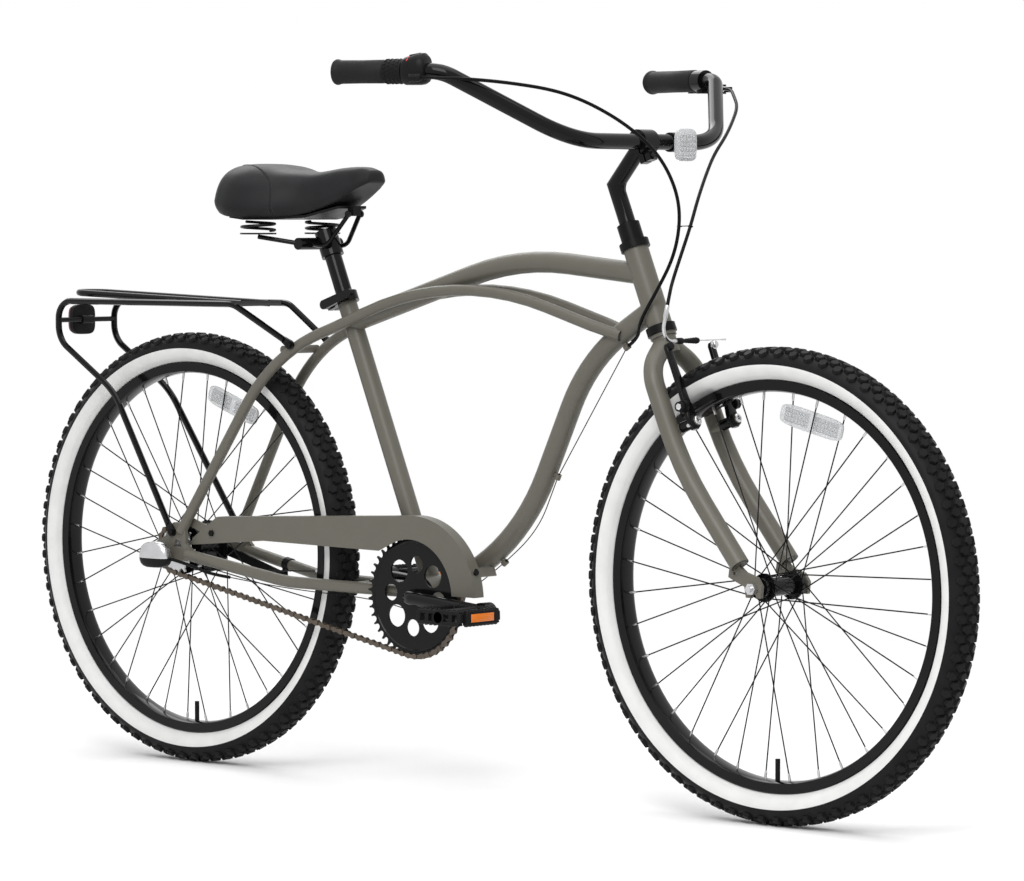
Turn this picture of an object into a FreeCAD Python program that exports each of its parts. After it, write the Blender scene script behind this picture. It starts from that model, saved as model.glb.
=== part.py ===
"""Beach cruiser bicycle: 26 inch wheels, three-speed coaster hub, front rim brake and rear rack.

Millimetres. +X points forward, +Y to the rider's left, +Z up. The pieces are drawn about the plane of
the wheels and moved at the end, so that the origin is on the ground, midway between the two axles and
midway across the whole width.
"""

import FreeCAD
import Part
import Sketcher
import math
import os
import re
from types import SimpleNamespace

V = FreeCAD.Vector
X_AXIS = V(1, 0, 0)
Y_AXIS = V(0, 1, 0)
Z_AXIS = V(0, 0, 1)
ORIGIN = V(0, 0, 0)

# Driving dimensions: lengths in millimetres, angles in degrees, and counts
SIZES = {
    # Layout of the bicycle
    "wheelbase": 1135.5,
    "tyre_radius": 332,
    "head_angle": 67.6,
    "fork_rake": 59.7,
    "fork_length": 398,
    "bottom_bracket_reach": 497,
    "bottom_bracket_height": 286,
    "seat_angle": 67.5,
    "seat_tube_length": 467,
    "running_clearance": 0.05,
    "seat_gap": 0.3,
    # Head tube and headset
    "head_tube_length": 117,
    "head_tube_radius": 18,
    "head_tube_bore": 15.5,
    "lower_cup_height": 12,
    "upper_cup_height": 11,
    "cup_radius": 21.5,
    "locknut_radius": 16.5,
    "locknut_height": 27,
    # Frame tubes
    "tube_wall": 1.6,
    "top_tube_radius": 15,
    "top_tube_head_drop": 38,
    "top_tube_front_angle": 5.65,
    "top_tube_seat_drop": 36,
    "top_tube_rear_angle": 16.9,
    "top_tube_bend": 480,
    "down_tube_radius": 15,
    "down_tube_crank_angle": 27.5,
    "down_tube_middle_angle": 64.6,
    "down_tube_middle_ahead": 128,
    "down_tube_head_angle": 31.5,
    "down_tube_head_rise": 27,
    "down_tube_lower_bend": 320,
    "down_tube_upper_bend": 255,
    "seat_tube_radius": 14.3,
    "seat_tube_bore": 12.75,
    "stay_radius": 8,
    "stay_offset": 22,
    "stay_front_offset": 13,
    "stay_front_drop": 40,
    "stay_front_angle": 16.5,
    "stay_front_setback": 80,
    "stay_front_taper": 52,
    "stay_seat_drop": 37,
    "stay_rear_angle": 20.5,
    "stay_main_bend": 560,
    "stay_small_bend": 80,
    "stay_seat_bend": 300,
    "stay_rear_bend": 280,
    "stay_corner_reach": 203,
    "stay_corner_offset": 40,
    "stay_end_reach": 33,
    "stay_end_rise": 28,
    "chainstay_radius": 8.5,
    "chainstay_end_reach": 46,
    "chainstay_end_drop": 6,
    "chainstay_bend_reach": 236,
    "chainstay_bend_offset": 45,
    "chainstay_bend_rise": 7.5,
    "chainstay_neck_reach": 322,
    "chainstay_neck_offset": 41.5,
    "chainstay_neck_rise": 6.5,
    "chainstay_crank_offset": 22,
    "chainstay_crank_setback": 7,
    "chainstay_crank_rise": 3,
    "chainstay_bend": 240,
    "bridge_radius": 6,
    "stay_bridge_share": 0.85,
    "chainstay_bridge_share": 0.18,
    # Bottom bracket
    "shell_length": 68,
    "shell_radius": 28.5,
    "shell_bore": 25.65,
    "crank_cup_length": 8,
    "crank_cup_lip": 2,
    # Rear dropouts
    "rear_hub_width": 127,
    "dropout_thickness": 6,
    "axle_radius": 5,
    "eyelet_bore": 2.5,
    "rear_eyelet_reach": 19,
    "rear_eyelet_rise": 28,
    # Fork
    "steerer_radius": 12.7,
    "steerer_bore": 11.15,
    "crown_radius": 17,
    "crown_height": 30,
    "leg_radius": 13.5,
    "leg_top_offset": 9,
    "leg_top_drop": 18,
    "leg_shoulder_drop": 52,
    "leg_shoulder_offset": 52,
    "leg_shoulder_bend": 58,
    "leg_knee_along": 200,
    "leg_knee_ahead": 3,
    "leg_knee_offset": 55,
    "leg_knee_bend": 480,
    "leg_end_along": 38,
    "leg_end_ahead": 50,
    "leg_end_offset": 56,
    "front_hub_width": 100,
    "front_dropout_thickness": 6,
    "front_eyelet_back": 33,
    "front_eyelet_rise": 20,
    "front_axle_radius": 4.5,
    # Stem and handlebar
    "stem_radius": 11.1,
    "stem_inside": 70,
    "stem_elbow_along": 625,
    "stem_reach": 51,
    "stem_rise": 61,
    "stem_arm_radius": 11.2,
    "stem_elbow_bend": 30,
    "clamp_radius": 17.5,
    "clamp_width": 30,
    "clamp_bolt_drop": 23,
    "clamp_bolt_radius": 4,
    "bar_radius": 11.1,
    "bar_low_forward": 4,
    "bar_low_offset": 160,
    "bar_high_back": 112,
    "bar_high_offset": 302,
    "bar_high_rise": 95,
    "bar_end_back": 265.87,
    "bar_end_offset": 345.305,
    "bar_low_bend": 125,
    "bar_high_bend": 48,
    "grip_radius": 16.5,
    "grip_end_wall": 4,
    "right_grip_length": 74,
    "left_grip_length": 112,
    "grip_flange_radius": 18,
    "grip_flange_width": 5,
    "twist_length": 29,
    "twist_radius": 17,
    "shifter_length": 30,
    "shifter_radius": 19,
    "shifter_window_radius": 15,
    "shifter_window_forward": 10,
    "shifter_cable_boss": 6,
    "shifter_cable_reach": 18,
    "shifter_cable_drop": 9,
    "shifter_cable_side": 17,
    # Brake lever
    "perch_width": 22,
    "perch_radius": 15.5,
    "perch_gap": 3,
    "perch_arm_width": 15,
    "perch_arm_height": 14,
    "lever_pivot_reach": 34,
    "lever_eye_radius": 9,
    "lever_thickness": 8,
    "lever_reach": 58,
    "lever_length": 100,
    "lever_width": 9,
    "lever_tip_radius": 7,
    "barrel_radius": 4.5,
    "barrel_length": 16,
    # Front reflector
    "front_lens_width": 40,
    "front_lens_height": 46,
    "front_lens_depth": 9,
    "front_lens_offset": 62,
    "front_lens_drop": 4,
    "front_lens_ahead": 15,
    "front_lens_corner": 9,
    "front_band_width": 12,
    "front_band_wall": 3,
    # Brake arms and pads
    "boss_along": 252,
    "boss_offset": 45,
    "boss_ahead": 34,
    "boss_radius": 7,
    "arm_eye_radius": 11,
    "arm_length": 112,
    "arm_top_offset": 49,
    "arm_tip_width": 11,
    "arm_thickness": 9,
    "pad_length": 60,
    "pad_height": 9.5,
    "pad_thickness": 11,
    "pad_gap": 1.5,
    "pad_radius_on_rim": 277,
    "pad_post_radius": 3.5,
    "pad_nut_radius": 7,
    "pad_nut_length": 6,
    # Wheels
    "rim_flange_radius": 286,
    "rim_seat_radius": 279.5,
    "rim_inner_radius": 269.5,
    "rim_half_width": 15,
    "rim_wall": 2.2,
    "rim_inner_half_width": 8,
    "rim_shoulder_radius": 272,
    "tyre_half_width": 27,
    "tyre_wall": 3,
    "tyre_belly_radius": 305,
    "tread_half_width": 12,
    "tread_shoulder_half_width": 21,
    "tread_shoulder_drop": 10,
    "tube_ring_wall": 1.2,
    "valve_radius": 3.5,
    "valve_length": 30,
    "spoke_count": 36,
    "spoke_radius": 1,
    "spoke_rim_spread": 2.5,
    "front_flange_radius": 20,
    "front_flange_offset": 31,
    "front_barrel_radius": 13,
    "front_cap_radius": 15,
    "front_hub_end": 44,
    "rear_flange_radius": 40,
    "rear_flange_offset": 28,
    "rear_barrel_radius": 31,
    "rear_hub_right_end": 35,
    "rear_hub_left_end": 42,
    "rear_cap_radius": 24,
    "flange_thickness": 3,
    "spoke_hole_inset": 3.5,
    "axle_overhang": 20,
    "nut_radius": 8.5,
    "nut_height": 8,
    "cone_radius": 9,
    "wheel_lens_width": 110,
    "wheel_lens_height": 30,
    "wheel_lens_depth": 4.4,
    "wheel_lens_radius": 236,
    # Drive
    "chain_pitch": 12.7,
    "chainring_teeth": 44,
    "sprocket_teeth": 18,
    "chain_line": 44,
    "roller_radius": 3.85,
    "tooth_height": 3.6,
    "tooth_tip_width": 2.2,
    "seat_clearance": 0.3,
    "chainring_thickness": 3,
    "chain_plate": 1,
    "chain_plate_height": 8,
    "chain_plate_end": 3.4,
    "disc_small_hole_radius": 12.5,
    "disc_wide_hole_radius": 16.5,
    "disc_hole_circle": 47,
    "disc_hole_count": 8,
    "driver_radius": 17,
    "spindle_radius": 11.5,
    "crank_length": 165,
    "crank_angle": -4.5,
    "crank_arm_radius": 10,
    "crank_turn_offset": 65,
    "crank_arm_offset": 72,
    "crank_lean": 8,
    "crank_turn_bend": 17,
    "crank_eye_radius": 15,
    "crank_eye_width": 21,
    "crank_nut_radius": 20,
    "crank_nut_width": 6,
    # Pedals
    "pedal_length": 94,
    "pedal_width": 88,
    "pedal_height": 28,
    "pedal_gap": 3,
    "pedal_spindle_radius": 6.5,
    "pedal_barrel_radius": 13,
    "pedal_rail": 11,
    "pedal_corner": 12,
    "pedal_lens_width": 52,
    "pedal_lens_height": 13,
    "pedal_lens_depth": 3,
    # Chain guard
    "guard_offset": 56.5,
    "guard_plate": 1.5,
    "guard_flange": 20,
    "guard_centre_ahead": 8,
    "guard_centre_drop": 2,
    "guard_outer_radius": 121,
    "guard_inner_radius": 84,
    "guard_tip_reach": 49,
    "guard_tip_rise": 19,
    "guard_tail_rise": 9,
    "guard_shoulder_reach": 102,
    "guard_shoulder_rise": 54,
    "guard_belly_reach": 200,
    "guard_belly_rise": 22,
    "guard_notch_reach": 436,
    "guard_notch_rise": 18.5,
    "guard_end_rise": 5,
    "guard_screw_reach": 91,
    "guard_screw_rise": 28.5,
    "screw_radius": 2.5,
    "screw_head_radius": 5,
    "screw_head_height": 3,
    # Rack
    "rack_rod_radius": 5,
    "rack_half_width": 60,
    "rack_foot_reach": 244,
    "rack_front_reach": 140,
    "rack_height": 710,
    "rack_rear_reach": 243,
    "rack_rear_drop": 60,
    "rack_rear_bend": 27,
    "rack_front_bend": 45,
    "rack_lower_bend": 40,
    "rack_top_half_width": 30,
    "rack_top_rise": 13,
    "rack_top_bend": 26,
    "rack_top_front_reach": 128,
    "rack_cross_radius": 4,
    "rack_cross_share": 0.36,
    "rack_tab_thickness": 4,
    "rack_tab_width": 14,
    "rear_lens_width": 46,
    "rear_lens_height": 44,
    "rear_lens_depth": 12,
    "rear_holder_wall": 3,
    "rear_lens_corner": 8,
    # Hub shifter box and coaster arm
    "click_length": 52,
    "click_height": 30,
    "click_depth": 22,
    "click_tail": 26,
    "click_lift": 2,
    "click_corner": 9,
    "coaster_length": 150,
    "coaster_width": 16,
    "coaster_thickness": 3.5,
    "coaster_end_width": 11,
    "coaster_hub_radius": 21,
    "strap_width": 12,
    "strap_wall": 1.5,
    # Seat
    "post_radius": 12.7,
    "post_inside": 90,
    "post_top_along": 578,
    "collar_radius": 19,
    "collar_height": 15,
    "collar_ear_reach": 30,
    "collar_ear_width": 12,
    "cam_lever_length": 54,
    "cam_lever_width": 11,
    "cam_lever_thickness": 6,
    "cam_radius": 7,
    "saddle_clamp_radius": 17,
    "saddle_clamp_height": 40,
    "saddle_bolt_radius": 9,
    "saddle_bolt_half_length": 45,
    "saddle_bolt_back": 22,
    "saddle_length": 268,
    "saddle_back_reach": 116,
    "saddle_half_width": 107,
    "saddle_floor": 846,
    "saddle_rise": 76,
    "saddle_base_thickness": 4,
    "rail_radius": 3.5,
    "rail_half_width": 22,
    "rail_nose_half_width": 12,
    "rail_nose_reach": 335,
    "rail_bend": 22,
    "spring_wire_radius": 2.5,
    "spring_radius": 25,
    "spring_turns": 1.5,
    "spring_half_spacing": 70,
    "spring_reach": 203,
    "spring_foot_height": 818,
    # Cables
    "housing_radius": 2.5,
    "cable_wire_radius": 1.2,
    "noodle_radius": 3.2,
    "boot_radius": 4.5,
    "guide_radius": 4.5,
    "guide_length": 8,
    # Small sizes of the frame and the fork
    "dropout_span": 58,
    "dropout_round": 5,
    "cup_skirt": 10,
    "race_radius": 19,
    "race_height": 5,
    "locknut_cap": 5,
    "front_dropout_span": 44,
    "boss_pin_radius": 4,
    "boss_bolt_head": 4,
    # Small sizes of the stem, the handlebar and its controls
    "stem_neck_gap": 8,
    "clamp_ear_angle": 70,
    "clamp_ear_length": 14,
    "clamp_ear_width": 20,
    "clamp_slit": 2.5,
    "bar_end_rise": 95.472,
    "bar_centre_bend": 150,
    "shifter_lean_share": 0.3,
    "shifter_window_height": 24,
    "lever_drop": 12,
    "lever_slot_gap": 1,
    "lever_pin_radius": 4,
    "barrel_reach": 20,
    "lever_neck": 10,
    "lever_flare": 4,
    # Cable guides, routes and the sides of bars with flats
    "guide_standoff": 6,
    "cable_sides": 6,
    "fixing_sides": 6,
    "tube_sides": 12,
    "housing_lead": 22,
    "wire_small_bend": 40,
    "wire_bend": 90,
    "click_offset": 22,
    "click_entry_drop": 12,
    "noodle_height": 36,
    "noodle_top_offset": 54,
    "noodle_lead": 24,
    "noodle_lean": 20,
    "noodle_offset": 60,
    "noodle_reach": 22,
    "noodle_bend": 22,
    # Lacing, reflectors and valves of the wheels
    "spoke_lacing_angle": 60,
    "spoke_outer_lift": 2.3,
    "spoke_inner_lift": 1.1,
    "wheel_lens_corner": 9,
    "front_lens_turn": 76,
    "rear_lens_turn": 70,
    "front_valve_turn": -90,
    "rear_valve_turn": -90,
    # Small sizes of the drive and the chain guard
    "driver_overhang": 4,
    "coaster_angle": 15.5,
    "chain_inner_half": 1.65,
    "guard_eye_angle": 116,
    "guard_tab_along": 19,
    "guard_tab_width": 14,
    "guard_tab_plate": 2.5,
    "guard_clip_angle": 21,
    # Bends of the rack and small sizes of the seat
    "rack_rod_sides": 8,
    "rack_knee_back": 119,
    "rack_knee_rise": 239,
    "rack_knee_bend": 120,
    "collar_slit": 2.5,
    "collar_overlap": 5,
    "collar_skewer_radius": 3,
    "nose_pin_drop": 14,
    "nose_rise": 14,
    "nose_pin_radius": 3,
    "nose_lug_length": 12,
    "rail_dip": 4,
    "spring_plate": 2.5,
}

doc = FreeCAD.newDocument("BeachCruiser")
sheet = doc.addObject("Spreadsheet::Sheet", "Sizes")
for row, (size_name, size_value) in enumerate(SIZES.items(), start=1):
    sheet.set(f"A{row}", size_name.replace("_", " "))
    sheet.set(f"B{row}", str(size_value))
    sheet.setAlias(f"B{row}", size_name)
doc.recompute()
S = SimpleNamespace(**{name: float(sheet.get(name)) for name in SIZES})
nodes = []


# Helpers


def bound(text):
    """The text of a formula in size names, as an expression on the sheet."""
    return re.sub(r"\b([a-z][a-z_]*)\b", r"Sizes.\1", str(text))


def value(text):
    """The value of a formula in size names."""
    return float(sheet.evalExpression(bound(text)))


def keep(item):
    """Mark a document object as one named piece of the bicycle."""
    nodes.append(item)
    return item


def feature(label, shape):
    """A piece whose shape is worked out here from the sheet's sizes."""
    item = doc.addObject("Part::Feature", label)
    item.Label = label
    item.Shape = shape
    return item


def group(label, items):
    """Several separate solids in one named piece."""
    item = doc.addObject("Part::Compound", label)
    item.Label = label
    item.Links = items
    return item


def mirrored(item, label):
    """The left-hand twin of a right-hand piece."""
    twin = doc.addObject("Part::Mirroring", label)
    twin.Label = label
    twin.Source = item
    twin.Normal = Y_AXIS
    twin.Base = ORIGIN
    return twin


def at(point, direction=Z_AXIS):
    """A placement at a point, with the piece's own Z along a direction."""
    return FreeCAD.Placement(point, FreeCAD.Rotation(Z_AXIS, direction))


def facing_side(point):
    """A placement that stands a piece's own XY drawing upright, seen from the right."""
    return FreeCAD.Placement(point, FreeCAD.Rotation(X_AXIS, 90))


def origin_plane(body, role):
    return next(item for item in body.Origin.OriginFeatures if item.Role == role)


def sketch_on(body, role, name):
    sketch = body.newObject("Sketcher::SketchObject", name)
    sketch.AttachmentSupport = [(origin_plane(body, role), "")]
    sketch.MapMode = "FlatFace"
    return sketch


def draw_polygon(sketch, corners):
    """Draw a closed polygon whose corners are formulas in size names, each bound to the sheet."""
    points = [V(value(x), value(y), 0) for x, y in corners]
    count = len(points)
    first = sketch.GeometryCount
    for i, point in enumerate(points):
        sketch.addGeometry(Part.LineSegment(point, points[(i + 1) % count]), False)
    for i in range(count):
        following = first + (i + 1) % count
        sketch.addConstraint(Sketcher.Constraint("Coincident", first + i, 2, following, 1))
    for i, (x, y) in enumerate(corners):
        for kind, formula, size in (("DistanceX", x, points[i].x), ("DistanceY", y, points[i].y)):
            number = sketch.addConstraint(Sketcher.Constraint(kind, -1, 1, first + i, 1, size))
            sketch.setExpression(f"Constraints[{number}]", bound(formula))


def draw_circle(sketch, x, y, radius):
    """Draw a circle whose centre and radius are bound to the sheet."""
    centre = V(value(x), value(y), 0)
    geometry = sketch.addGeometry(Part.Circle(centre, Z_AXIS, value(radius)), False)
    for kind, formula, size in (("DistanceX", x, centre.x), ("DistanceY", y, centre.y)):
        number = sketch.addConstraint(Sketcher.Constraint(kind, -1, 1, geometry, 3, size))
        sketch.setExpression(f"Constraints[{number}]", bound(formula))
    number = sketch.addConstraint(Sketcher.Constraint("Radius", geometry, value(radius)))
    sketch.setExpression(f"Constraints[{number}]", bound(radius))


def turned(label, profile, placement, inside=None):
    """A turned piece: a profile of (radius, height) formulas revolved about its own Z axis."""
    body = doc.addObject("PartDesign::Body", label)
    body.Label = label
    sketch = sketch_on(body, "XZ_Plane", f"{label}_profile")
    draw_polygon(sketch, profile)
    if inside:
        draw_polygon(sketch, inside)
    revolution = body.newObject("PartDesign::Revolution", f"{label}_turn")
    revolution.Profile = sketch
    revolution.ReferenceAxis = (sketch, ["V_Axis"])
    revolution.Angle = 360
    body.Placement = placement
    doc.recompute()
    return body


def ring_profile(bore, radius, low, high):
    return [(bore, low), (radius, low), (radius, high), (bore, high)]


def plate(label, corners, thickness, placement, holes=(), windows=(), rounds=None):
    """A flat piece cut from sheet, centred on its drawing plane, with holes and rounded corners."""
    body = doc.addObject("PartDesign::Body", label)
    body.Label = label
    sketch = sketch_on(body, "XY_Plane", f"{label}_outline")
    draw_polygon(sketch, corners)
    for window in windows:
        draw_polygon(sketch, window)
    for x, y, radius in holes:
        draw_circle(sketch, x, y, radius)
    pad = body.newObject("PartDesign::Pad", f"{label}_pad")
    pad.Profile = sketch
    pad.Midplane = True
    pad.setExpression("Length", bound(thickness))
    doc.recompute()
    for radius, picked in (rounds or {}).items():
        places = [V(value(corners[i][0]), value(corners[i][1]), 0) for i in picked]
        base = body.Tip
        edges = upright_edges(base.Shape, places)
        rounding = body.newObject("PartDesign::Fillet", f"{label}_round")
        rounding.Base = (base, edges)
        rounding.setExpression("Radius", bound(radius))
        doc.recompute()
    body.Placement = placement
    doc.recompute()
    return body


def upright_edges(shape, places):
    """Names of the edges along Z that stand on the given points."""
    found = []
    for number, edge in enumerate(shape.Edges, start=1):
        middle = edge.CenterOfMass
        flat = V(middle.x, middle.y, 0)
        ends = [vertex.Point for vertex in edge.Vertexes]
        upright = len(ends) == 2 and (ends[0] - ends[1]).cross(Z_AXIS).Length < S.running_clearance
        if upright and any((flat - place).Length < S.running_clearance for place in places):
            found.append(f"Edge{number}")
    return found


def rod(label, radius, length, placement):
    """A round bar along its own Z axis."""
    item = doc.addObject("Part::Cylinder", label)
    item.Label = label
    item.setExpression("Radius", bound(radius))
    item.setExpression("Height", bound(length))
    item.Placement = placement
    doc.recompute()
    return item


def bar_solid(start, end, radius):
    """A plain round bar between two points."""
    return Part.makeCylinder(radius, (end - start).Length, start, end - start)


def faceted_bar(start, end, radius, sides):
    """A bar with flat sides between two points, its corners on the given radius."""
    turn = FreeCAD.Rotation(Z_AXIS, end - start)
    corners = []
    for number in range(int(sides)):
        angle = 2 * math.pi * number / sides
        corners.append(start + turn.multVec(V(radius * math.cos(angle), radius * math.sin(angle), 0)))
    return extruded(corners, end - start)


def bent_path(points, radii):
    """Straight runs joined by tangent arcs, one radius for each inner point."""
    edges = []
    start = points[0]
    for before, corner, after, radius in zip(points, points[1:], points[2:], radii):
        into = (corner - before).normalize()
        out = (after - corner).normalize()
        half_turn = into.getAngle(out) / 2
        reach = radius * math.tan(half_turn)
        first = corner - into * reach
        last = corner + out * reach
        inward = (out - into).normalize()
        middle = corner + inward * (radius / math.cos(half_turn) - radius)
        if (first - start).Length > S.running_clearance:
            edges.append(Part.LineSegment(start, first).toShape())
        edges.append(Part.Arc(first, middle, last).toShape())
        start = last
    edges.append(Part.LineSegment(start, points[-1]).toShape())
    return Part.Wire(edges)


def section_on(wire, radius, sides):
    """A regular polygon square to the start of a path."""
    edge = wire.Edges[0]
    start = edge.valueAt(edge.FirstParameter)
    direction = edge.tangentAt(edge.FirstParameter)
    turn = FreeCAD.Rotation(Z_AXIS, direction)
    corners = []
    for i in range(sides + 1):
        angle = 2 * math.pi * (i % sides) / sides
        corners.append(start + turn.multVec(V(radius * math.cos(angle), radius * math.sin(angle), 0)))
    return Part.makePolygon(corners)


def swept(wire, radius, sides=S.tube_sides):
    """A solid bar with narrow flat sides along a path."""
    return wire.makePipeShell([section_on(wire, radius, int(sides))], True, False)


def largest(shape):
    """The main solid of a cut shape."""
    return max(shape.Solids, key=lambda solid: solid.Volume)


def flip(shape):
    return shape.mirror(ORIGIN, Y_AXIS)


def both_sides(shape):
    return Part.makeCompound([shape, flip(shape)])


def extruded(points, direction):
    """A flat face through the points, pushed along a direction."""
    return Part.Face(Part.makePolygon(points + points[:1])).extrude(direction)


def capsule(start, end, radius_start, radius_end, depth):
    """A flat bar with round ends of two sizes, drawn about two points and pushed along depth."""
    along = (end - start).normalize()
    side = depth.cross(along).normalize()
    lean = math.asin((radius_start - radius_end) / (end - start).Length)
    out = side * math.cos(lean) + along * math.sin(lean)
    back = along * math.sin(lean) - side * math.cos(lean)
    edges = [
        Part.LineSegment(start + out * radius_start, end + out * radius_end).toShape(),
        Part.Arc(end + out * radius_end, end + along * radius_end, end + back * radius_end).toShape(),
        Part.LineSegment(end + back * radius_end, start + back * radius_start).toShape(),
        Part.Arc(
            start + back * radius_start, start - along * radius_start, start + out * radius_start,
        ).toShape(),
    ]
    return Part.Face(Part.Wire(edges)).extrude(depth)


# Layout: axles, steering line, seat line and bottom bracket

rear = V(-S.wheelbase / 2, 0, S.tyre_radius)
front = V(S.wheelbase / 2, 0, S.tyre_radius)
head_angle = math.radians(S.head_angle)
steer_up = V(-math.cos(head_angle), 0, math.sin(head_angle))
steer_ahead = V(math.sin(head_angle), 0, math.cos(head_angle))
steer_foot = front - steer_ahead * S.fork_rake
seat_angle = math.radians(S.seat_angle)
seat_up = V(-math.cos(seat_angle), 0, math.sin(seat_angle))
crank_centre = V(rear.x + S.bottom_bracket_reach, 0, S.bottom_bracket_height)


def on_steering(along, ahead=0, offset=0):
    """A point of the fork: along the steering line, ahead of it, and to the left of it."""
    return steer_foot + steer_up * along + steer_ahead * ahead + Y_AXIS * offset


def on_seat_line(along):
    return crank_centre + seat_up * along


def from_rear(reach, offset, rise):
    """A point ahead of the rear axle, to the left of the wheel plane, and above the axle."""
    return rear + V(reach, offset, rise)


def slope(angle):
    """A direction in the wheel plane that climbs forward at an angle in degrees."""
    return V(math.cos(math.radians(angle)), 0, math.sin(math.radians(angle)))


def crossing(point_a, direction_a, point_b, direction_b):
    """Where two lines of the wheel plane cross."""
    gap = point_b - point_a
    turn = direction_a.x * direction_b.z - direction_a.z * direction_b.x
    share = (gap.x * direction_b.z - gap.z * direction_b.x) / turn
    return point_a + direction_a * share


head_low_along = S.fork_length + S.lower_cup_height
head_high_along = head_low_along + S.head_tube_length
locknut_along = head_high_along + S.upper_cup_height
head_low = on_steering(head_low_along)
head_solid = bar_solid(head_low, on_steering(head_high_along), S.head_tube_radius)
seat_top = on_seat_line(S.seat_tube_length)
seat_solid = bar_solid(crank_centre, seat_top, S.seat_tube_radius)
shell_side = V(0, S.shell_length / 2, 0)
shell_solid = bar_solid(crank_centre - shell_side, crank_centre + shell_side, S.shell_radius)
dropout_centre = S.rear_hub_width / 2 + S.dropout_thickness / 2

# Main frame tubes

keep(turned(
    "head_tube",
    ring_profile("head_tube_bore", "head_tube_radius", "0", "head_tube_length"),
    at(head_low, steer_up),
))
seat_tube_shape = seat_solid.cut(bar_solid(crank_centre, seat_top, S.seat_tube_bore)).cut(shell_solid)
keep(feature("seat_tube", largest(seat_tube_shape)))
keep(turned(
    "bottom_bracket_shell",
    ring_profile("shell_bore", "shell_radius", "-shell_length / 2", "shell_length / 2"),
    at(crank_centre, Y_AXIS),
))

top_front = on_steering(head_high_along - S.top_tube_head_drop)
top_rear = on_seat_line(S.seat_tube_length - S.top_tube_seat_drop)
top_corner = crossing(top_front, slope(-S.top_tube_front_angle), top_rear, slope(S.top_tube_rear_angle))
top_path = bent_path([top_front, top_corner, top_rear], [S.top_tube_bend])
top_solid = swept(top_path, S.top_tube_radius)
top_tube_shape = top_solid.cut(swept(top_path, S.top_tube_radius - S.tube_wall))
keep(feature("top_tube", largest(top_tube_shape.cut(head_solid).cut(seat_solid))))

down_head = on_steering(head_low_along + S.down_tube_head_rise)
down_middle = crank_centre + X_AXIS * S.down_tube_middle_ahead
down_way = slope(S.down_tube_middle_angle)
down_low = crossing(crank_centre, slope(S.down_tube_crank_angle), down_middle, down_way)
down_high = crossing(down_head, slope(S.down_tube_head_angle), down_middle, down_way)
down_path = bent_path(
    [down_head, down_high, down_low, crank_centre],
    [S.down_tube_upper_bend, S.down_tube_lower_bend],
)
down_solid = swept(down_path, S.down_tube_radius)
down_hollow = down_solid.cut(swept(down_path, S.down_tube_radius - S.tube_wall))
down_tube_shape = largest(down_hollow.cut(head_solid).cut(shell_solid).cut(seat_solid))

# Twin upper tubes that run on past the seat tube as the seat stays

stay_aim = on_steering(head_low_along - S.stay_front_drop)
stay_forward = slope(-S.stay_front_angle)
stay_tip = stay_aim - stay_forward * S.stay_front_setback
stay_knee = stay_tip - stay_forward * S.stay_front_taper
stay_seat = on_seat_line(S.seat_tube_length - S.stay_seat_drop)
stay_peak = crossing(stay_aim, stay_forward, stay_seat, slope(S.stay_rear_angle))
stay_fall = slope(S.stay_rear_angle)
stay_corner = stay_seat - stay_fall * ((stay_seat.x - rear.x - S.stay_corner_reach) / stay_fall.x)
right = -Y_AXIS
stay_points = [
    stay_tip + right * S.stay_front_offset,
    stay_knee + right * S.stay_offset,
    stay_peak + right * S.stay_offset,
    stay_seat + right * S.stay_offset,
    stay_corner + right * S.stay_corner_offset,
    from_rear(S.stay_end_reach, -dropout_centre, S.stay_end_rise),
]
stay_path = bent_path(
    stay_points,
    [S.stay_small_bend, S.stay_main_bend, S.stay_seat_bend, S.stay_rear_bend],
)
stay_solid = swept(stay_path, S.stay_radius)

chainstay_points = [
    from_rear(S.chainstay_end_reach, -dropout_centre, -S.chainstay_end_drop),
    V(rear.x + S.chainstay_bend_reach, -S.chainstay_bend_offset, crank_centre.z + S.chainstay_bend_rise),
    V(rear.x + S.chainstay_neck_reach, -S.chainstay_neck_offset, crank_centre.z + S.chainstay_neck_rise),
    crank_centre + V(-S.chainstay_crank_setback, -S.chainstay_crank_offset, S.chainstay_crank_rise),
]
chainstay_path = bent_path(chainstay_points, [S.chainstay_bend, S.chainstay_bend])
chainstay_solid = swept(chainstay_path, S.chainstay_radius)


def mirror_point(point):
    return V(point.x, -point.y, point.z)


# Rear dropouts: slotted plates with a window and a rack eyelet

dropout_outline_shares = [
    (-0.28, -0.21), (0.17, -0.31), (0.97, -0.25), (1.0, 0.02), (0.8, 0.2), (0.76, 0.69),
    (0.48, 0.74), (0.14, 0.66), (0.06, 0.38), (-0.28, 0.22),
]
dropout_window_shares = [(0.34, 0.1), (0.64, 0.07), (0.57, 0.29), (0.4, 0.28)]


def shared_points(shares, span):
    """Corner formulas for a table of shares of one named span."""
    return [(f"{span} * {x}", f"{span} * {z}") for x, z in shares]


slot_edge = "(axle_radius + running_clearance)"
slot_mouth = f"dropout_span * {dropout_outline_shares[0][0]}"
slot_corners = [
    (slot_mouth, slot_edge), (slot_edge, slot_edge),
    (slot_edge, f"-{slot_edge}"), (slot_mouth, f"-{slot_edge}"),
]
dropout_right = plate(
    "dropout_right",
    shared_points(dropout_outline_shares, "dropout_span") + slot_corners,
    "dropout_thickness",
    facing_side(rear + right * dropout_centre),
    holes=[("rear_eyelet_reach", "rear_eyelet_rise", "eyelet_bore")],
    windows=[shared_points(dropout_window_shares, "dropout_span")],
    rounds={"dropout_round": [1, 2, 3, 5, 6, 7]},
)
keep(group("rear_dropouts", [dropout_right, mirrored(dropout_right, "dropout_left")]))
dropout_shape = dropout_right.Shape

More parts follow.
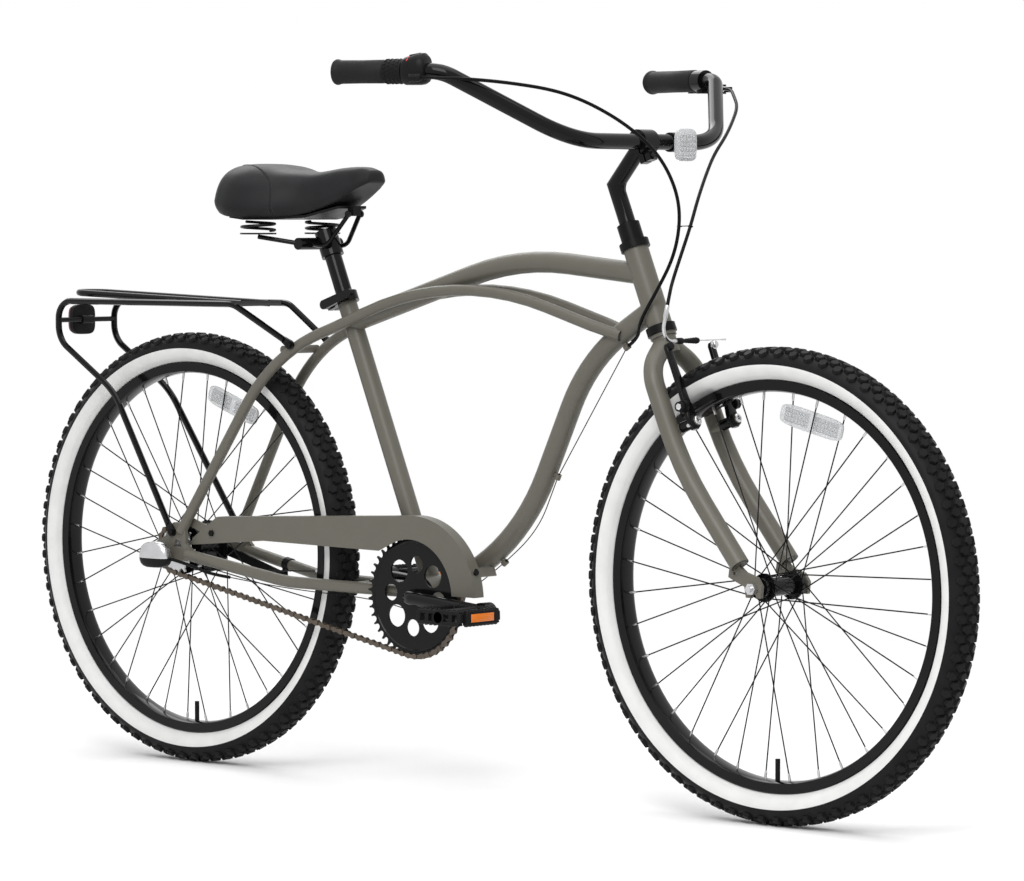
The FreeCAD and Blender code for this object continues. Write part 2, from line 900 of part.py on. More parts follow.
stay_right = largest(stay_solid.cut(seat_solid).cut(top_solid).cut(down_solid).cut(dropout_shape))
stay_joint = stay_points[3] + (stay_points[4] - stay_points[3]) * S.stay_bridge_share
stay_bridge = bar_solid(stay_joint, mirror_point(stay_joint), S.bridge_radius)
stay_bridge = largest(stay_bridge.cut(stay_solid).cut(flip(stay_solid)))
keep(feature("stay_tubes", Part.makeCompound([stay_right, flip(stay_right), stay_bridge])))

chainstay_right = largest(chainstay_solid.cut(shell_solid).cut(dropout_shape))
chainstay_joint = chainstay_points[2] + (chainstay_points[3] - chainstay_points[2]) * S.chainstay_bridge_share
chainstay_bridge = bar_solid(chainstay_joint, mirror_point(chainstay_joint), S.bridge_radius)
chainstay_bridge = largest(chainstay_bridge.cut(chainstay_solid).cut(flip(chainstay_solid)))
keep(feature("chainstays", Part.makeCompound([chainstay_right, flip(chainstay_right), chainstay_bridge])))

# Cable guides that stand off the underside of the down tube

guide_post_share = 0.7
guide_bore_share = 2.2


def cable_guide(edge, share):
    """A bored stop on a short post, with the point and direction of its bore."""
    parameter = edge.FirstParameter + (edge.LastParameter - edge.FirstParameter) * share
    centre = edge.valueAt(parameter)
    along = edge.tangentAt(parameter)
    out = V(-along.z, 0, along.x)
    seat = centre + out * (S.down_tube_radius + S.guide_standoff)
    half = along * (S.guide_length / 2)
    post_foot = centre + out * (S.down_tube_radius - S.tube_wall / 2)
    post = bar_solid(post_foot, seat, S.guide_radius * guide_post_share)
    barrel = bar_solid(seat - half, seat + half, S.guide_radius)
    bore = bar_solid(seat - half * 2, seat + half * 2, S.cable_wire_radius * guide_bore_share)
    return post.fuse(barrel).cut(bore), seat, along


guide_shares = {"upper": 0.04, "middle": 0.94, "lower": 0.72}
upper_guide, upper_seat, upper_along = cable_guide(down_path.Edges[1], guide_shares["upper"])
middle_guide, middle_seat, middle_along = cable_guide(down_path.Edges[2], guide_shares["middle"])
lower_guide, lower_seat, lower_along = cable_guide(down_path.Edges[3], guide_shares["lower"])
down_tube_shape = down_tube_shape.fuse([upper_guide, middle_guide, lower_guide]).removeSplitter()
keep(feature("down_tube", largest(down_tube_shape)))

# Headset cups in the head tube and bearing cups in the bottom bracket

steerer_fit = "steerer_radius + running_clearance"
lower_cup = turned("lower_cup", [
    (steerer_fit, "seat_gap"), ("cup_radius", "seat_gap"), ("cup_radius", "lower_cup_height"),
    ("head_tube_bore", "lower_cup_height"), ("head_tube_bore", "lower_cup_height + cup_skirt"),
    (steerer_fit, "lower_cup_height + cup_skirt"),
], at(on_steering(S.fork_length), steer_up))
upper_cup = turned("upper_cup", [
    (steerer_fit, "0"), ("cup_radius", "0"), ("cup_radius", "upper_cup_height"),
    ("head_tube_bore", "upper_cup_height"), ("head_tube_bore", "upper_cup_height + cup_skirt"),
    (steerer_fit, "upper_cup_height + cup_skirt"),
], at(on_steering(locknut_along), -steer_up))
spindle_fit = "spindle_radius + running_clearance"
crank_cup_right = turned("crank_cup_right", [
    (spindle_fit, "-crank_cup_lip"), ("shell_radius", "-crank_cup_lip"), ("shell_radius", "0"),
    ("shell_bore", "0"), ("shell_bore", "crank_cup_length"), (spindle_fit, "crank_cup_length"),
], at(crank_centre - shell_side, Y_AXIS))
crank_cup_left = mirrored(crank_cup_right, "crank_cup_left")
keep(group("bearing_cups", [lower_cup, upper_cup, crank_cup_right, crank_cup_left]))

# Fork: steerer with its crown, curved legs with dropouts, brake bosses and mudguard eyelets

steerer_top = "lower_cup_height + head_tube_length + upper_cup_height + locknut_height - locknut_cap"
keep(turned("fork_steerer", [
    ("steerer_bore", "-crown_height"), ("crown_radius", "-crown_height"), ("crown_radius", "-race_height"),
    ("race_radius", "-race_height"), ("race_radius", "0"), ("steerer_radius", "0"),
    ("steerer_radius", steerer_top), ("steerer_bore", steerer_top),
], at(on_steering(S.fork_length), steer_up)))
crown_foot = on_steering(S.fork_length - S.crown_height)
crown_solid = bar_solid(crown_foot, on_steering(S.fork_length), S.crown_radius)
leg_points = [
    on_steering(S.fork_length - S.leg_top_drop, 0, -S.leg_top_offset),
    on_steering(S.fork_length - S.leg_shoulder_drop, 0, -S.leg_shoulder_offset),
    on_steering(S.leg_knee_along, S.leg_knee_ahead, -S.leg_knee_offset),
    on_steering(S.leg_end_along, S.leg_end_ahead, -S.leg_end_offset),
]
leg_path = bent_path(leg_points, [S.leg_shoulder_bend, S.leg_knee_bend])
front_dropout_shares = [
    (-1.0, 0.32), (-0.95, 0.64), (-0.64, 0.75), (-0.32, 0.5), (0.14, 0.36), (0.32, 0.1), (0.28, -0.29),
]
front_slot = S.front_axle_radius + S.running_clearance
front_dropout_back_shares = [(-0.3, -0.29), (-0.36, 0.05), (-0.68, 0.18)]
front_dropout_face = S.front_hub_width / 2


def on_front_dropout(x_share, z_share):
    return front + V(x_share * S.front_dropout_span, -front_dropout_face, z_share * S.front_dropout_span)


front_slot_top = front + V(0, -front_dropout_face, front_slot)
slot_foot_share = front_dropout_shares[-1][1]
slot_depth = V(0, 0, slot_foot_share * S.front_dropout_span - front_slot)
fork_outline = [on_front_dropout(x, z) for x, z in front_dropout_shares]
fork_outline += [front_slot_top + X_AXIS * front_slot + slot_depth, front_slot_top + X_AXIS * front_slot]
fork_outline += [front_slot_top - X_AXIS * front_slot, front_slot_top - X_AXIS * front_slot + slot_depth]
fork_outline += [on_front_dropout(x, z) for x, z in front_dropout_back_shares]
fork_dropout = extruded(fork_outline, right * S.front_dropout_thickness)
front_eyelet = front + V(-S.front_eyelet_back, -front_dropout_face, S.front_eyelet_rise)
eyelet_through = right * (S.front_dropout_thickness + S.leg_radius * 2)
fork_eyelet = bar_solid(front_eyelet + eyelet_through, front_eyelet - eyelet_through, S.eyelet_bore)
boss_start = on_steering(S.boss_along, 0, -S.boss_offset)
boss_end = on_steering(S.boss_along, S.boss_ahead, -S.boss_offset)
arm_stack = S.arm_thickness + S.seat_gap * 2
pin_end = on_steering(S.boss_along, S.boss_ahead + arm_stack, -S.boss_offset)
bolt_end = on_steering(S.boss_along, S.boss_ahead + arm_stack + S.boss_bolt_head, -S.boss_offset)
leg_right = swept(leg_path, S.leg_radius).cut(crown_solid)
leg_right = leg_right.fuse([fork_dropout, bar_solid(boss_start, boss_end, S.boss_radius)]).cut(fork_eyelet)
boss_pin = bar_solid(boss_end, pin_end, S.boss_pin_radius)
boss_bolt = bar_solid(pin_end, bolt_end, S.boss_radius)
leg_right = leg_right.fuse([boss_pin, boss_bolt])
leg_right = largest(leg_right)
keep(feature("fork_legs", both_sides(leg_right)))

# Headset locknut, stem and handlebar

keep(turned("headset_locknut", [
    ("steerer_radius", "seat_gap"), ("locknut_radius", "seat_gap"), ("locknut_radius", "locknut_height"),
    ("stem_radius", "locknut_height"), ("stem_radius", "locknut_height - locknut_cap"),
    ("steerer_radius", "locknut_height - locknut_cap"),
], at(on_steering(locknut_along), steer_up)))

bar_centre = on_steering(S.stem_elbow_along) + V(S.stem_reach, 0, S.stem_rise)


def on_bar(ahead, offset, rise):
    return bar_centre + V(ahead, offset, rise)


bar_points = [
    on_bar(-S.bar_end_back, -S.bar_end_offset, S.bar_end_rise),
    on_bar(-S.bar_high_back, -S.bar_high_offset, S.bar_high_rise),
    on_bar(S.bar_low_forward, -S.bar_low_offset, 0),
    bar_centre,
]
bar_points += [mirror_point(point) for point in reversed(bar_points[:-1])]
bar_path = bent_path(
    bar_points,
    [S.bar_high_bend, S.bar_low_bend, S.bar_centre_bend, S.bar_low_bend, S.bar_high_bend],
)
bar_solid_shape = swept(bar_path, S.bar_radius)
keep(feature("handlebar", bar_solid_shape))

stem_foot = on_steering(locknut_along - S.stem_inside)
stem_neck = on_steering(locknut_along + S.locknut_height + S.stem_neck_gap)
stem_elbow = on_steering(S.stem_elbow_along)
stem_arm_path = bent_path([stem_neck, stem_elbow, bar_centre], [S.stem_elbow_bend])
stem_arm = swept(stem_arm_path, S.stem_arm_radius)
clamp_side = Y_AXIS * (S.clamp_width / 2)
bolt_head_share = 1.6
clamp_ring = bar_solid(bar_centre - clamp_side, bar_centre + clamp_side, S.clamp_radius)
ear_down = slope(-S.clamp_ear_angle)
ear_across = ear_down.cross(Y_AXIS)


def oriented_box(centre, direction, length, width, height):
    """A box about a centre: length along a direction in the wheel plane, width across it, height along Y."""
    across = direction.cross(Y_AXIS)
    corner = centre - direction * (length / 2) - across * (width / 2) - Y_AXIS * (height / 2)
    outline = [corner, corner + direction * length, corner + direction * length + across * width]
    outline.append(corner + across * width)
    return extruded(outline, Y_AXIS * height)


ear_centre = bar_centre + ear_down * S.clamp_bolt_drop
ears = oriented_box(ear_centre, ear_down, S.clamp_ear_length, S.clamp_ear_width, S.clamp_width / 2)
slit = oriented_box(ear_centre, ear_down, S.clamp_radius * 2, S.clamp_slit, S.clamp_width * 2)
bolt_half = ear_across * (S.clamp_ear_width / 2)
bolt_head = ear_across * S.clamp_bolt_radius
clamp_bolt = bar_solid(ear_centre - bolt_half, ear_centre + bolt_half, S.clamp_bolt_radius)
clamp_head_radius = S.clamp_bolt_radius * bolt_head_share
clamp_head = bar_solid(ear_centre + bolt_half, ear_centre + bolt_half + bolt_head, clamp_head_radius)
stem_shape = bar_solid(stem_foot, stem_neck, S.stem_radius).fuse([stem_arm, clamp_ring, ears])
stem_shape = largest(stem_shape.cut(slit).cut(bar_solid_shape).cut(clamp_bolt))
keep(feature("stem", Part.makeCompound([stem_shape, clamp_bolt.fuse(clamp_head)])))

# Grips, twist shifter and brake lever on the straight ends of the handlebar

right_end = bar_points[0]
right_inward = (bar_points[1] - bar_points[0]).normalize()
left_end = bar_points[-1]
left_inward = (bar_points[-2] - bar_points[-1]).normalize()


def grip_profile(length):
    return [
        ("0", "-grip_end_wall"), ("grip_flange_radius", "-grip_end_wall"),
        ("grip_flange_radius", "grip_flange_width - grip_end_wall"),
        ("grip_radius", "grip_flange_width * 2 - grip_end_wall"), ("grip_radius", length),
        ("bar_radius", length), ("bar_radius", "0"), ("0", "0"),
    ]


grip_right = turned("grip_right", grip_profile("right_grip_length"), at(right_end, right_inward))
grip_left = turned("grip_left", grip_profile("left_grip_length"), at(left_end, left_inward))
keep(group("grips", [grip_right, grip_left]))

twist_low = "right_grip_length + seat_gap"
twist_high = f"{twist_low} + twist_length"
twist_fit = "bar_radius + running_clearance"
keep(turned("shifter_twist", [
    (twist_fit, twist_low), ("grip_radius", twist_low), ("twist_radius", f"{twist_low} + twist_length / 2"),
    ("twist_radius", twist_high), (twist_fit, twist_high),
], at(right_end, right_inward)))
shifter_low = value(twist_high) + S.seat_gap
shifter_foot = right_end + right_inward * shifter_low
shifter_top = shifter_foot + right_inward * S.shifter_length
shifter_middle = (shifter_foot + shifter_top) * 0.5
shifter_side = V(-right_inward.y, right_inward.x, 0).normalize()
window_foot = shifter_middle + shifter_side * S.shifter_window_forward
window_axis = (Z_AXIS + shifter_side * S.shifter_lean_share).normalize()
shifter_shape = bar_solid(shifter_foot, shifter_top, S.shifter_radius)
window_top = window_foot + window_axis * S.shifter_window_height
shifter_window = bar_solid(window_foot, window_top, S.shifter_window_radius)
cable_boss_start = shifter_middle - shifter_side * S.shifter_cable_side - Z_AXIS * S.shifter_cable_drop
cable_boss_end = cable_boss_start + right_inward * S.shifter_cable_reach
cable_boss = bar_solid(cable_boss_start, cable_boss_end, S.shifter_cable_boss)
shifter_shape = shifter_shape.fuse([shifter_window, cable_boss]).cut(bar_solid_shape)
keep(feature("shifter_body", largest(shifter_shape)))

perch_middle = left_end + left_inward * (S.left_grip_length + S.perch_gap + S.perch_width / 2)
perch_side = V(left_inward.y, -left_inward.x, 0).normalize()
if perch_side.y < 0:
    perch_side = -perch_side
perch_half = left_inward * (S.perch_width / 2)
lever_pivot = perch_middle + perch_side * S.lever_pivot_reach - Z_AXIS * S.lever_drop
bracket_floor = Z_AXIS * (S.lever_drop + S.perch_arm_height / 2)
bracket_arm = capsule(
    perch_middle - bracket_floor,
    lever_pivot - Z_AXIS * (S.perch_arm_height / 2),
    S.perch_arm_width / 2 + S.running_clearance,
    S.lever_eye_radius,
    Z_AXIS * S.perch_arm_height,
)
perch_ring = bar_solid(perch_middle - perch_half, perch_middle + perch_half, S.perch_radius)
lever_slot_half = Z_AXIS * (S.lever_thickness / 2 + S.seat_gap)
lever_slot_radius = S.lever_eye_radius + S.lever_slot_gap
lever_slot = bar_solid(lever_pivot - lever_slot_half, lever_pivot + lever_slot_half, lever_slot_radius)
lever_pin_half = Z_AXIS * (S.perch_arm_height / 2)
lever_pin = bar_solid(lever_pivot - lever_pin_half, lever_pivot + lever_pin_half, S.lever_pin_radius)
barrel_start = perch_middle + perch_side * S.barrel_reach - Z_AXIS * S.lever_drop
barrel_end = barrel_start + left_inward * (S.perch_arm_width / 2 + S.barrel_length)
barrel = bar_solid(barrel_start, barrel_end, S.barrel_radius)
bracket_shape = perch_ring.fuse([bracket_arm, barrel]).cut(bar_solid_shape).cut(lever_slot).fuse(lever_pin)
keep(feature("brake_lever_bracket", largest(bracket_shape)))

lever_floor = Z_AXIS * (S.lever_thickness / 2)
lever_depth = Z_AXIS * S.lever_thickness
lever_knee = lever_pivot + perch_side * (S.lever_reach - S.lever_pivot_reach) - left_inward * S.lever_neck
lever_tip = lever_knee - left_inward * S.lever_length + perch_side * S.lever_flare
lever_eye = bar_solid(lever_pivot - lever_floor, lever_pivot + lever_floor, S.lever_eye_radius)
lever_bore_radius = S.lever_pin_radius + S.running_clearance
lever_bore = bar_solid(lever_pivot - lever_depth, lever_pivot + lever_depth, lever_bore_radius)
lever_root_share = 0.7
lever_end_share = 0.4
lever_neck = capsule(
    lever_pivot - lever_floor, lever_knee - lever_floor, S.lever_width * lever_root_share, S.lever_width / 2,
    lever_depth,
)
lever_blade = capsule(
    lever_knee - lever_floor, lever_tip - lever_floor, S.lever_width / 2, S.lever_width * lever_end_share,
    lever_depth,
)
lever_ball = bar_solid(lever_tip - lever_floor, lever_tip + lever_floor, S.lever_tip_radius)
lever_shape = lever_eye.fuse([lever_neck, lever_blade, lever_ball]).removeSplitter().cut(lever_bore)
keep(feature("brake_lever", largest(lever_shape)))


def rounded_slab(centre, across, up, width, height, depth, corner):
    """A slab with rounded corners about a centre; depth runs along across x up."""
    edges = []
    reach_across = width / 2
    reach_up = height / 2
    turn = corner * (1 - math.sqrt(0.5))
    quarters = [(1, 1), (-1, 1), (-1, -1), (1, -1)]
    starts = []
    for side, level in quarters:
        tip = centre + across * (side * reach_across) + up * (level * reach_up)
        flat = tip - across * (side * corner)
        tall = tip - up * (level * corner)
        middle = tip - across * (side * turn) - up * (level * turn)
        starts.append((tall, middle, flat) if side == level else (flat, middle, tall))
    for (first, middle, last), following in zip(starts, starts[1:] + starts[:1]):
        edges.append(Part.Arc(first, middle, last).toShape())
        edges.append(Part.LineSegment(last, following[0]).toShape())
    thickness = across.cross(up).normalize() * depth
    slab = Part.Face(Part.Wire(edges)).extrude(thickness)
    slab.translate(thickness * -0.5)
    return slab


band_along = (bar_points[4] - bar_centre).normalize()
band_centre = bar_centre + band_along * S.front_lens_offset
band_half = band_along * (S.front_band_width / 2)
lens_centre = band_centre + X_AXIS * (S.bar_radius + S.front_lens_ahead) - Z_AXIS * S.front_lens_drop
lens_back = lens_centre - X_AXIS * (S.front_lens_depth / 2)
front_lens = rounded_slab(
    lens_centre, Y_AXIS, Z_AXIS, S.front_lens_width, S.front_lens_height, S.front_lens_depth,
    S.front_lens_corner,
)
band = bar_solid(band_centre - band_half, band_centre + band_half, S.bar_radius + S.front_band_wall)
lens_arm_share = 1.5
lens_arm = bar_solid(band_centre - Z_AXIS * S.front_lens_drop, lens_back, S.front_band_wall * lens_arm_share)
band = largest(band.fuse(lens_arm).cut(bar_solid_shape))
keep(feature("front_reflector", Part.makeCompound([band, front_lens])))

# Front brake: long arms on the fork bosses, pads beside the rim

arm_ahead = S.boss_ahead + S.seat_gap
pad_ahead = arm_ahead + S.arm_thickness / 2
pad_along = math.sqrt(S.pad_radius_on_rim ** 2 - (S.fork_rake - pad_ahead) ** 2)
pad_back = S.rim_half_width + S.pad_gap + S.pad_thickness
arm_depth = steer_ahead * S.arm_thickness
arm_eye = on_steering(S.boss_along, arm_ahead, -S.boss_offset)
arm_tip = on_steering(S.boss_along + S.arm_length, arm_ahead, -S.arm_top_offset)
arm_shape = capsule(arm_eye, arm_tip, S.arm_eye_radius, S.arm_tip_width / 2, arm_depth)
anchor_share = 0.4
anchor_foot = arm_tip + arm_depth
anchor = bar_solid(anchor_foot, anchor_foot + steer_ahead * S.boss_bolt_head, S.arm_tip_width * anchor_share)
pin_bore = bar_solid(boss_start, bolt_end, S.boss_pin_radius + S.running_clearance)
pad_nut_end = S.arm_top_offset + S.arm_eye_radius + S.pad_nut_length
post_start = on_steering(pad_along, pad_ahead, -pad_back)
post = bar_solid(post_start, on_steering(pad_along, pad_ahead, -pad_nut_end), S.pad_post_radius)
arm_shape = largest(arm_shape.fuse(anchor).cut(pin_bore).cut(post))
keep(feature("brake_arm_right", arm_shape))
keep(feature("brake_arm_left", flip(arm_shape)))
pad_centre = on_steering(pad_along, pad_ahead, -pad_back + S.pad_thickness / 2)
pad_out = (pad_centre - V(front.x, pad_centre.y, front.z)).normalize()
pad_along_rim = Y_AXIS.cross(pad_out)
pad_block = oriented_box(pad_centre, pad_along_rim, S.pad_length, S.pad_height, S.pad_thickness)
pad_nut_start = pad_nut_end - S.pad_nut_length
pad_nut = bar_solid(
    on_steering(pad_along, pad_ahead, -pad_nut_start),
    on_steering(pad_along, pad_ahead, -pad_nut_end),
    S.pad_nut_radius,
)
pad_shape = Part.makeCompound([pad_block, post.fuse(pad_nut)])
keep(feature("brake_pad_right", pad_shape))
keep(feature("brake_pad_left", flip(pad_shape)))

# Cables: housings with points set by hand, as shares of the wheelbase from the rear axle and the ground

cord_arc_share = 0.45


def cord_path(name, points):
    """Straight runs with the widest even arcs between them."""
    radii = []
    for before, corner, after in zip(points, points[1:], points[2:]):
        half_turn = (corner - before).getAngle(after - corner) / 2
        run = min((corner - before).Length, (after - corner).Length)
        radii.append(run * cord_arc_share / math.tan(half_turn))
    print(name, "bend radii", [round(radius) for radius in radii])
    return bent_path(points, radii)


def cord(name, points, radius):
    """A faceted cable along its points, checked against section times length."""
    path = cord_path(name, points)
    shape = swept(path, radius, S.cable_sides)
    area = S.cable_sides / 2 * radius ** 2 * math.sin(2 * math.pi / S.cable_sides)
    print(name, "length", round(path.Length), "volume share", round(shape.Volume / (area * path.Length), 4))
    return shape


def routed(shares):
    return [V(rear.x + x * S.wheelbase, y * S.wheelbase, z * S.wheelbase) for x, y, z in shares]


shift_route_shares = [
    (0.7254, -0.2448, 0.9080), (0.7450, -0.2060, 0.9045), (0.7680, -0.1568, 0.8974),
    (0.7873, -0.1233, 0.8860), (0.8090, -0.0925, 0.8675), (0.8260, -0.0660, 0.8470),
    (0.8395, -0.0425, 0.8235), (0.8470, -0.0220, 0.7940), (0.8490, -0.0070, 0.7610),
    (0.8480, -0.0045, 0.7270), (0.8420, -0.0100, 0.6900), (0.8250, -0.0190, 0.6520),
    (0.7980, -0.0215, 0.6120),
]
shift_end = upper_seat - upper_along * (S.guide_length / 2)
shift_lead = shift_end - upper_along * S.housing_lead
shift_start = cable_boss_end + right_inward * S.housing_lead
shift_points = [cable_boss_end, shift_start] + routed(shift_route_shares) + [shift_lead, shift_end]
shift_housing = cord("shift housing", shift_points, S.housing_radius)
keep(feature("shift_cable_front", shift_housing))

guide_corner = crossing(middle_seat, middle_along, lower_seat, lower_along)
lower_run_end = lower_seat + lower_along * S.guide_length * 2
under_crank = crank_centre + V(
    S.cable_wire_radius, -S.chainstay_crank_setback, -S.shell_radius - S.guide_standoff,
)
wire_route_shares = [
    (0.3550, -0.0290, 0.2440), (0.2080, -0.0395, 0.2485), (0.1150, -0.0520, 0.2600),
]
click_entry = rear + V(
    S.click_length - S.click_tail, -(S.rear_hub_width / 2 + S.click_offset), -S.click_entry_drop,
)
wire_points = [upper_seat, middle_seat, guide_corner, lower_run_end, under_crank] + routed(wire_route_shares)
wire_bends = [
    S.wire_small_bend, S.down_tube_lower_bend + S.down_tube_radius + S.guide_standoff,
    S.wire_small_bend, S.wire_small_bend, S.wire_bend, S.wire_bend,
]
wire_path = bent_path(wire_points, wire_bends)
shift_wire = swept(wire_path, S.cable_wire_radius, S.cable_sides)
tail_shares = [(0.0850, -0.0630, 0.2640), (0.0640, -0.0710, 0.2740)]
tail_points = wire_points[-1:] + routed(tail_shares) + [click_entry]
shift_tail = cord("hub housing", tail_points, S.housing_radius)
keep(feature("shift_cable_rear", Part.makeCompound([shift_wire, shift_tail])))

brake_route_shares = [
    (0.7240, 0.2600, 0.8975), (0.7530, 0.2310, 0.8830), (0.7730, 0.1960, 0.8640),
    (0.7920, 0.1570, 0.8430), (0.8060, 0.1160, 0.8200), (0.8240, 0.0760, 0.7920),
    (0.8420, 0.0380, 0.7620), (0.8520, 0.0120, 0.7300), (0.8545, -0.0095, 0.6950),
    (0.8540, -0.0260, 0.6620),
]
cable_along = S.boss_along + S.arm_length + S.arm_tip_width / 2 + S.noodle_radius + S.seat_gap
noodle_top = on_steering(cable_along + S.noodle_height, pad_ahead + S.noodle_lean, -S.noodle_top_offset)
noodle_corner = on_steering(cable_along, pad_ahead, -S.noodle_offset)
noodle_end = on_steering(cable_along, pad_ahead, -S.noodle_reach)
boot_end = on_steering(cable_along, pad_ahead, S.noodle_reach)
wire_end = on_steering(cable_along, pad_ahead, S.arm_top_offset + S.arm_tip_width)
brake_start = barrel_end + left_inward * S.housing_lead
noodle_lead = noodle_top + (noodle_top - noodle_corner).normalize() * S.noodle_lead
brake_points = [barrel_end, brake_start] + routed(brake_route_shares) + [noodle_lead, noodle_top]
brake_housing = cord("brake housing", brake_points, S.housing_radius)
noodle_path = bent_path([noodle_top, noodle_corner, noodle_end], [S.noodle_bend])
noodle = swept(noodle_path, S.noodle_radius, S.cable_sides)
boot = Part.makeCone(S.boot_radius, S.noodle_radius, S.noodle_reach * 2, noodle_end, Y_AXIS)
brake_wire_path = Part.Wire(Part.LineSegment(boot_end, wire_end).toShape())
brake_wire = swept(brake_wire_path, S.cable_wire_radius, S.cable_sides)
keep(feature("brake_cable", Part.makeCompound([brake_housing, noodle, boot, brake_wire])))

# Wheels: rim, tyre, inner tube, laced spokes, hub shell and a clip-on reflector

rim_inside = "(rim_half_width - rim_wall)"
bead_width = f"({rim_inside} - seat_gap)"
bead_low = "rim_seat_radius + seat_gap"


def both_edges(points):
    """A closed profile from its half on one side of the wheel plane."""
    return points + [(radius, f"-({height})") for radius, height in reversed(points)]


rim_profile = both_edges([
    ("rim_seat_radius", rim_inside), ("rim_flange_radius", rim_inside),
    ("rim_flange_radius", "rim_half_width"), ("rim_shoulder_radius", "rim_half_width"),
    ("rim_inner_radius", "rim_inner_half_width"),
])
tyre_profile = both_edges([
    ("tyre_radius - tyre_wall", "tread_half_width / 2"), ("tyre_belly_radius", "tyre_half_width - tyre_wall"),
    ("rim_flange_radius + tyre_wall", f"{bead_width} - tyre_wall"),
    (bead_low, f"{bead_width} - tyre_wall"), (bead_low, bead_width),
    ("rim_flange_radius + tyre_wall / 2", bead_width), ("tyre_belly_radius", "tyre_half_width"),
    ("tyre_radius - tread_shoulder_drop", "tread_shoulder_half_width"),
    ("tyre_radius", "tread_half_width / 2"),
])
tube_outer = both_edges([
    ("rim_seat_radius + seat_gap", f"{bead_width} - tyre_wall - seat_gap * 2"),
    ("rim_flange_radius + tyre_wall", f"{bead_width} - tyre_wall - seat_gap * 2"),
    ("tyre_belly_radius", "tyre_half_width - tyre_wall - seat_gap * 2"),
    ("tyre_radius - tyre_wall - seat_gap * 2", "tread_half_width / 2 - seat_gap"),
])
tube_air = [
    ("rim_seat_radius + seat_gap + tube_ring_wall * 2", "0"),
    ("tyre_belly_radius", "tyre_half_width - tyre_wall - tube_ring_wall * 2"),
    ("tyre_radius - tyre_wall - tube_ring_wall * 2", "0"),
    ("tyre_belly_radius", "-(tyre_half_width - tyre_wall - tube_ring_wall * 2)"),
]


def around(centre, angle, radius, offset=0):
    """A point on a circle in the wheel plane, at an angle from straight ahead."""
    return centre + V(radius * math.cos(angle), offset, radius * math.sin(angle))


def square_rod(start, end, radius):
    """A thin square rod between two points, for parts that repeat many times."""
    turn = FreeCAD.Rotation(Z_AXIS, end - start)
    corners = [V(radius, 0, 0), V(0, radius, 0), V(-radius, 0, 0), V(0, -radius, 0)]
    return extruded([start + turn.multVec(corner) for corner in corners], end - start)


def laced_spokes(centre, hole_radius, flange_offset):
    """All spokes of a wheel: heads in pairs outside and inside each flange, crossing three others."""
    rods = []
    count = int(S.spoke_count)
    for number in range(count):
        side = 1 if number % 2 == 0 else -1
        outside = number // 2 % 2 == 0
        rim_angle = 2 * math.pi * (number + 0.5) / count
        lean = math.radians(S.spoke_lacing_angle) * (1 if outside else -1)
        lift = S.flange_thickness / 2 + (S.spoke_outer_lift if outside else S.spoke_inner_lift)
        head_offset = flange_offset + (lift if outside else -lift)
        head = around(centre, rim_angle + lean, hole_radius, side * head_offset)
        tip = around(centre, rim_angle, S.rim_inner_radius - S.seat_gap, side * S.spoke_rim_spread)
        rods.append(square_rod(head, tip, S.spoke_radius))
    return Part.makeCompound(rods)


def hub_profile(bore, cap, flange, barrel, flange_offset, right_end, left_end):
    """A hub shell's profile along its axle, from its right end to its left end."""
    outer = f"({flange_offset} + flange_thickness / 2)"
    inner = f"({flange_offset} - flange_thickness / 2)"
    return [
        (bore, f"-{right_end}"), (cap, f"-{right_end}"), (cap, f"-{outer}"), (flange, f"-{outer}"),
        (flange, f"-{inner}"), (barrel, f"-{inner}"), (barrel, inner), (flange, inner),
        (flange, outer), (cap, outer), (cap, left_end), (bore, left_end),
    ]


def wheel(name, centre, hub, hole_radius, flange_offset, lens_turn, valve_turn):
    """The six pieces of one wheel about its axle."""
    placement = at(centre, Y_AXIS)
    keep(turned(f"{name}_tyre", tyre_profile, placement))
    tube = turned(f"{name}_tube_ring", tube_outer, placement, tube_air)
    valve_angle = math.radians(valve_turn)
    valve_start = around(centre, valve_angle, S.rim_inner_radius - S.seat_gap)
    valve_end = around(centre, valve_angle, S.rim_inner_radius - S.valve_length)
    valve_place = at(valve_start, valve_end - valve_start)
    valve = rod(f"{name}_valve", "valve_radius", "valve_length - seat_gap", valve_place)
    keep(group(f"{name}_inner_tube", [tube, valve]))
    keep(turned(f"{name}_rim", rim_profile, placement))
    keep(feature(f"{name}_spokes", laced_spokes(centre, hole_radius, flange_offset)))
    keep(turned(f"{name}_hub_shell", hub, placement))
    lens_angle = math.radians(lens_turn)
    lens_place = around(centre, lens_angle, S.wheel_lens_radius)
    out = (lens_place - centre).normalize()
    lens = rounded_slab(
        lens_place, Y_AXIS.cross(out), out, S.wheel_lens_width, S.wheel_lens_height, S.wheel_lens_depth,
        S.wheel_lens_corner,
    )
    keep(feature(f"{name}_wheel_reflector", lens))


wheel(
    "front", front,
    hub_profile(
        "front_axle_radius + running_clearance", "front_cap_radius", "front_flange_radius",
        "front_barrel_radius", "front_flange_offset", "front_hub_end", "front_hub_end",
    ),
    S.front_flange_radius - S.spoke_hole_inset, S.front_flange_offset, S.front_lens_turn, S.front_valve_turn,
)
wheel(
    "rear", rear,
    hub_profile(
        "axle_radius + running_clearance", "rear_cap_radius", "rear_flange_radius", "rear_barrel_radius",
        "rear_flange_offset", "rear_hub_right_end", "rear_hub_left_end",
    ),
    S.rear_flange_radius - S.spoke_hole_inset, S.rear_flange_offset, S.rear_lens_turn, S.rear_valve_turn,
)


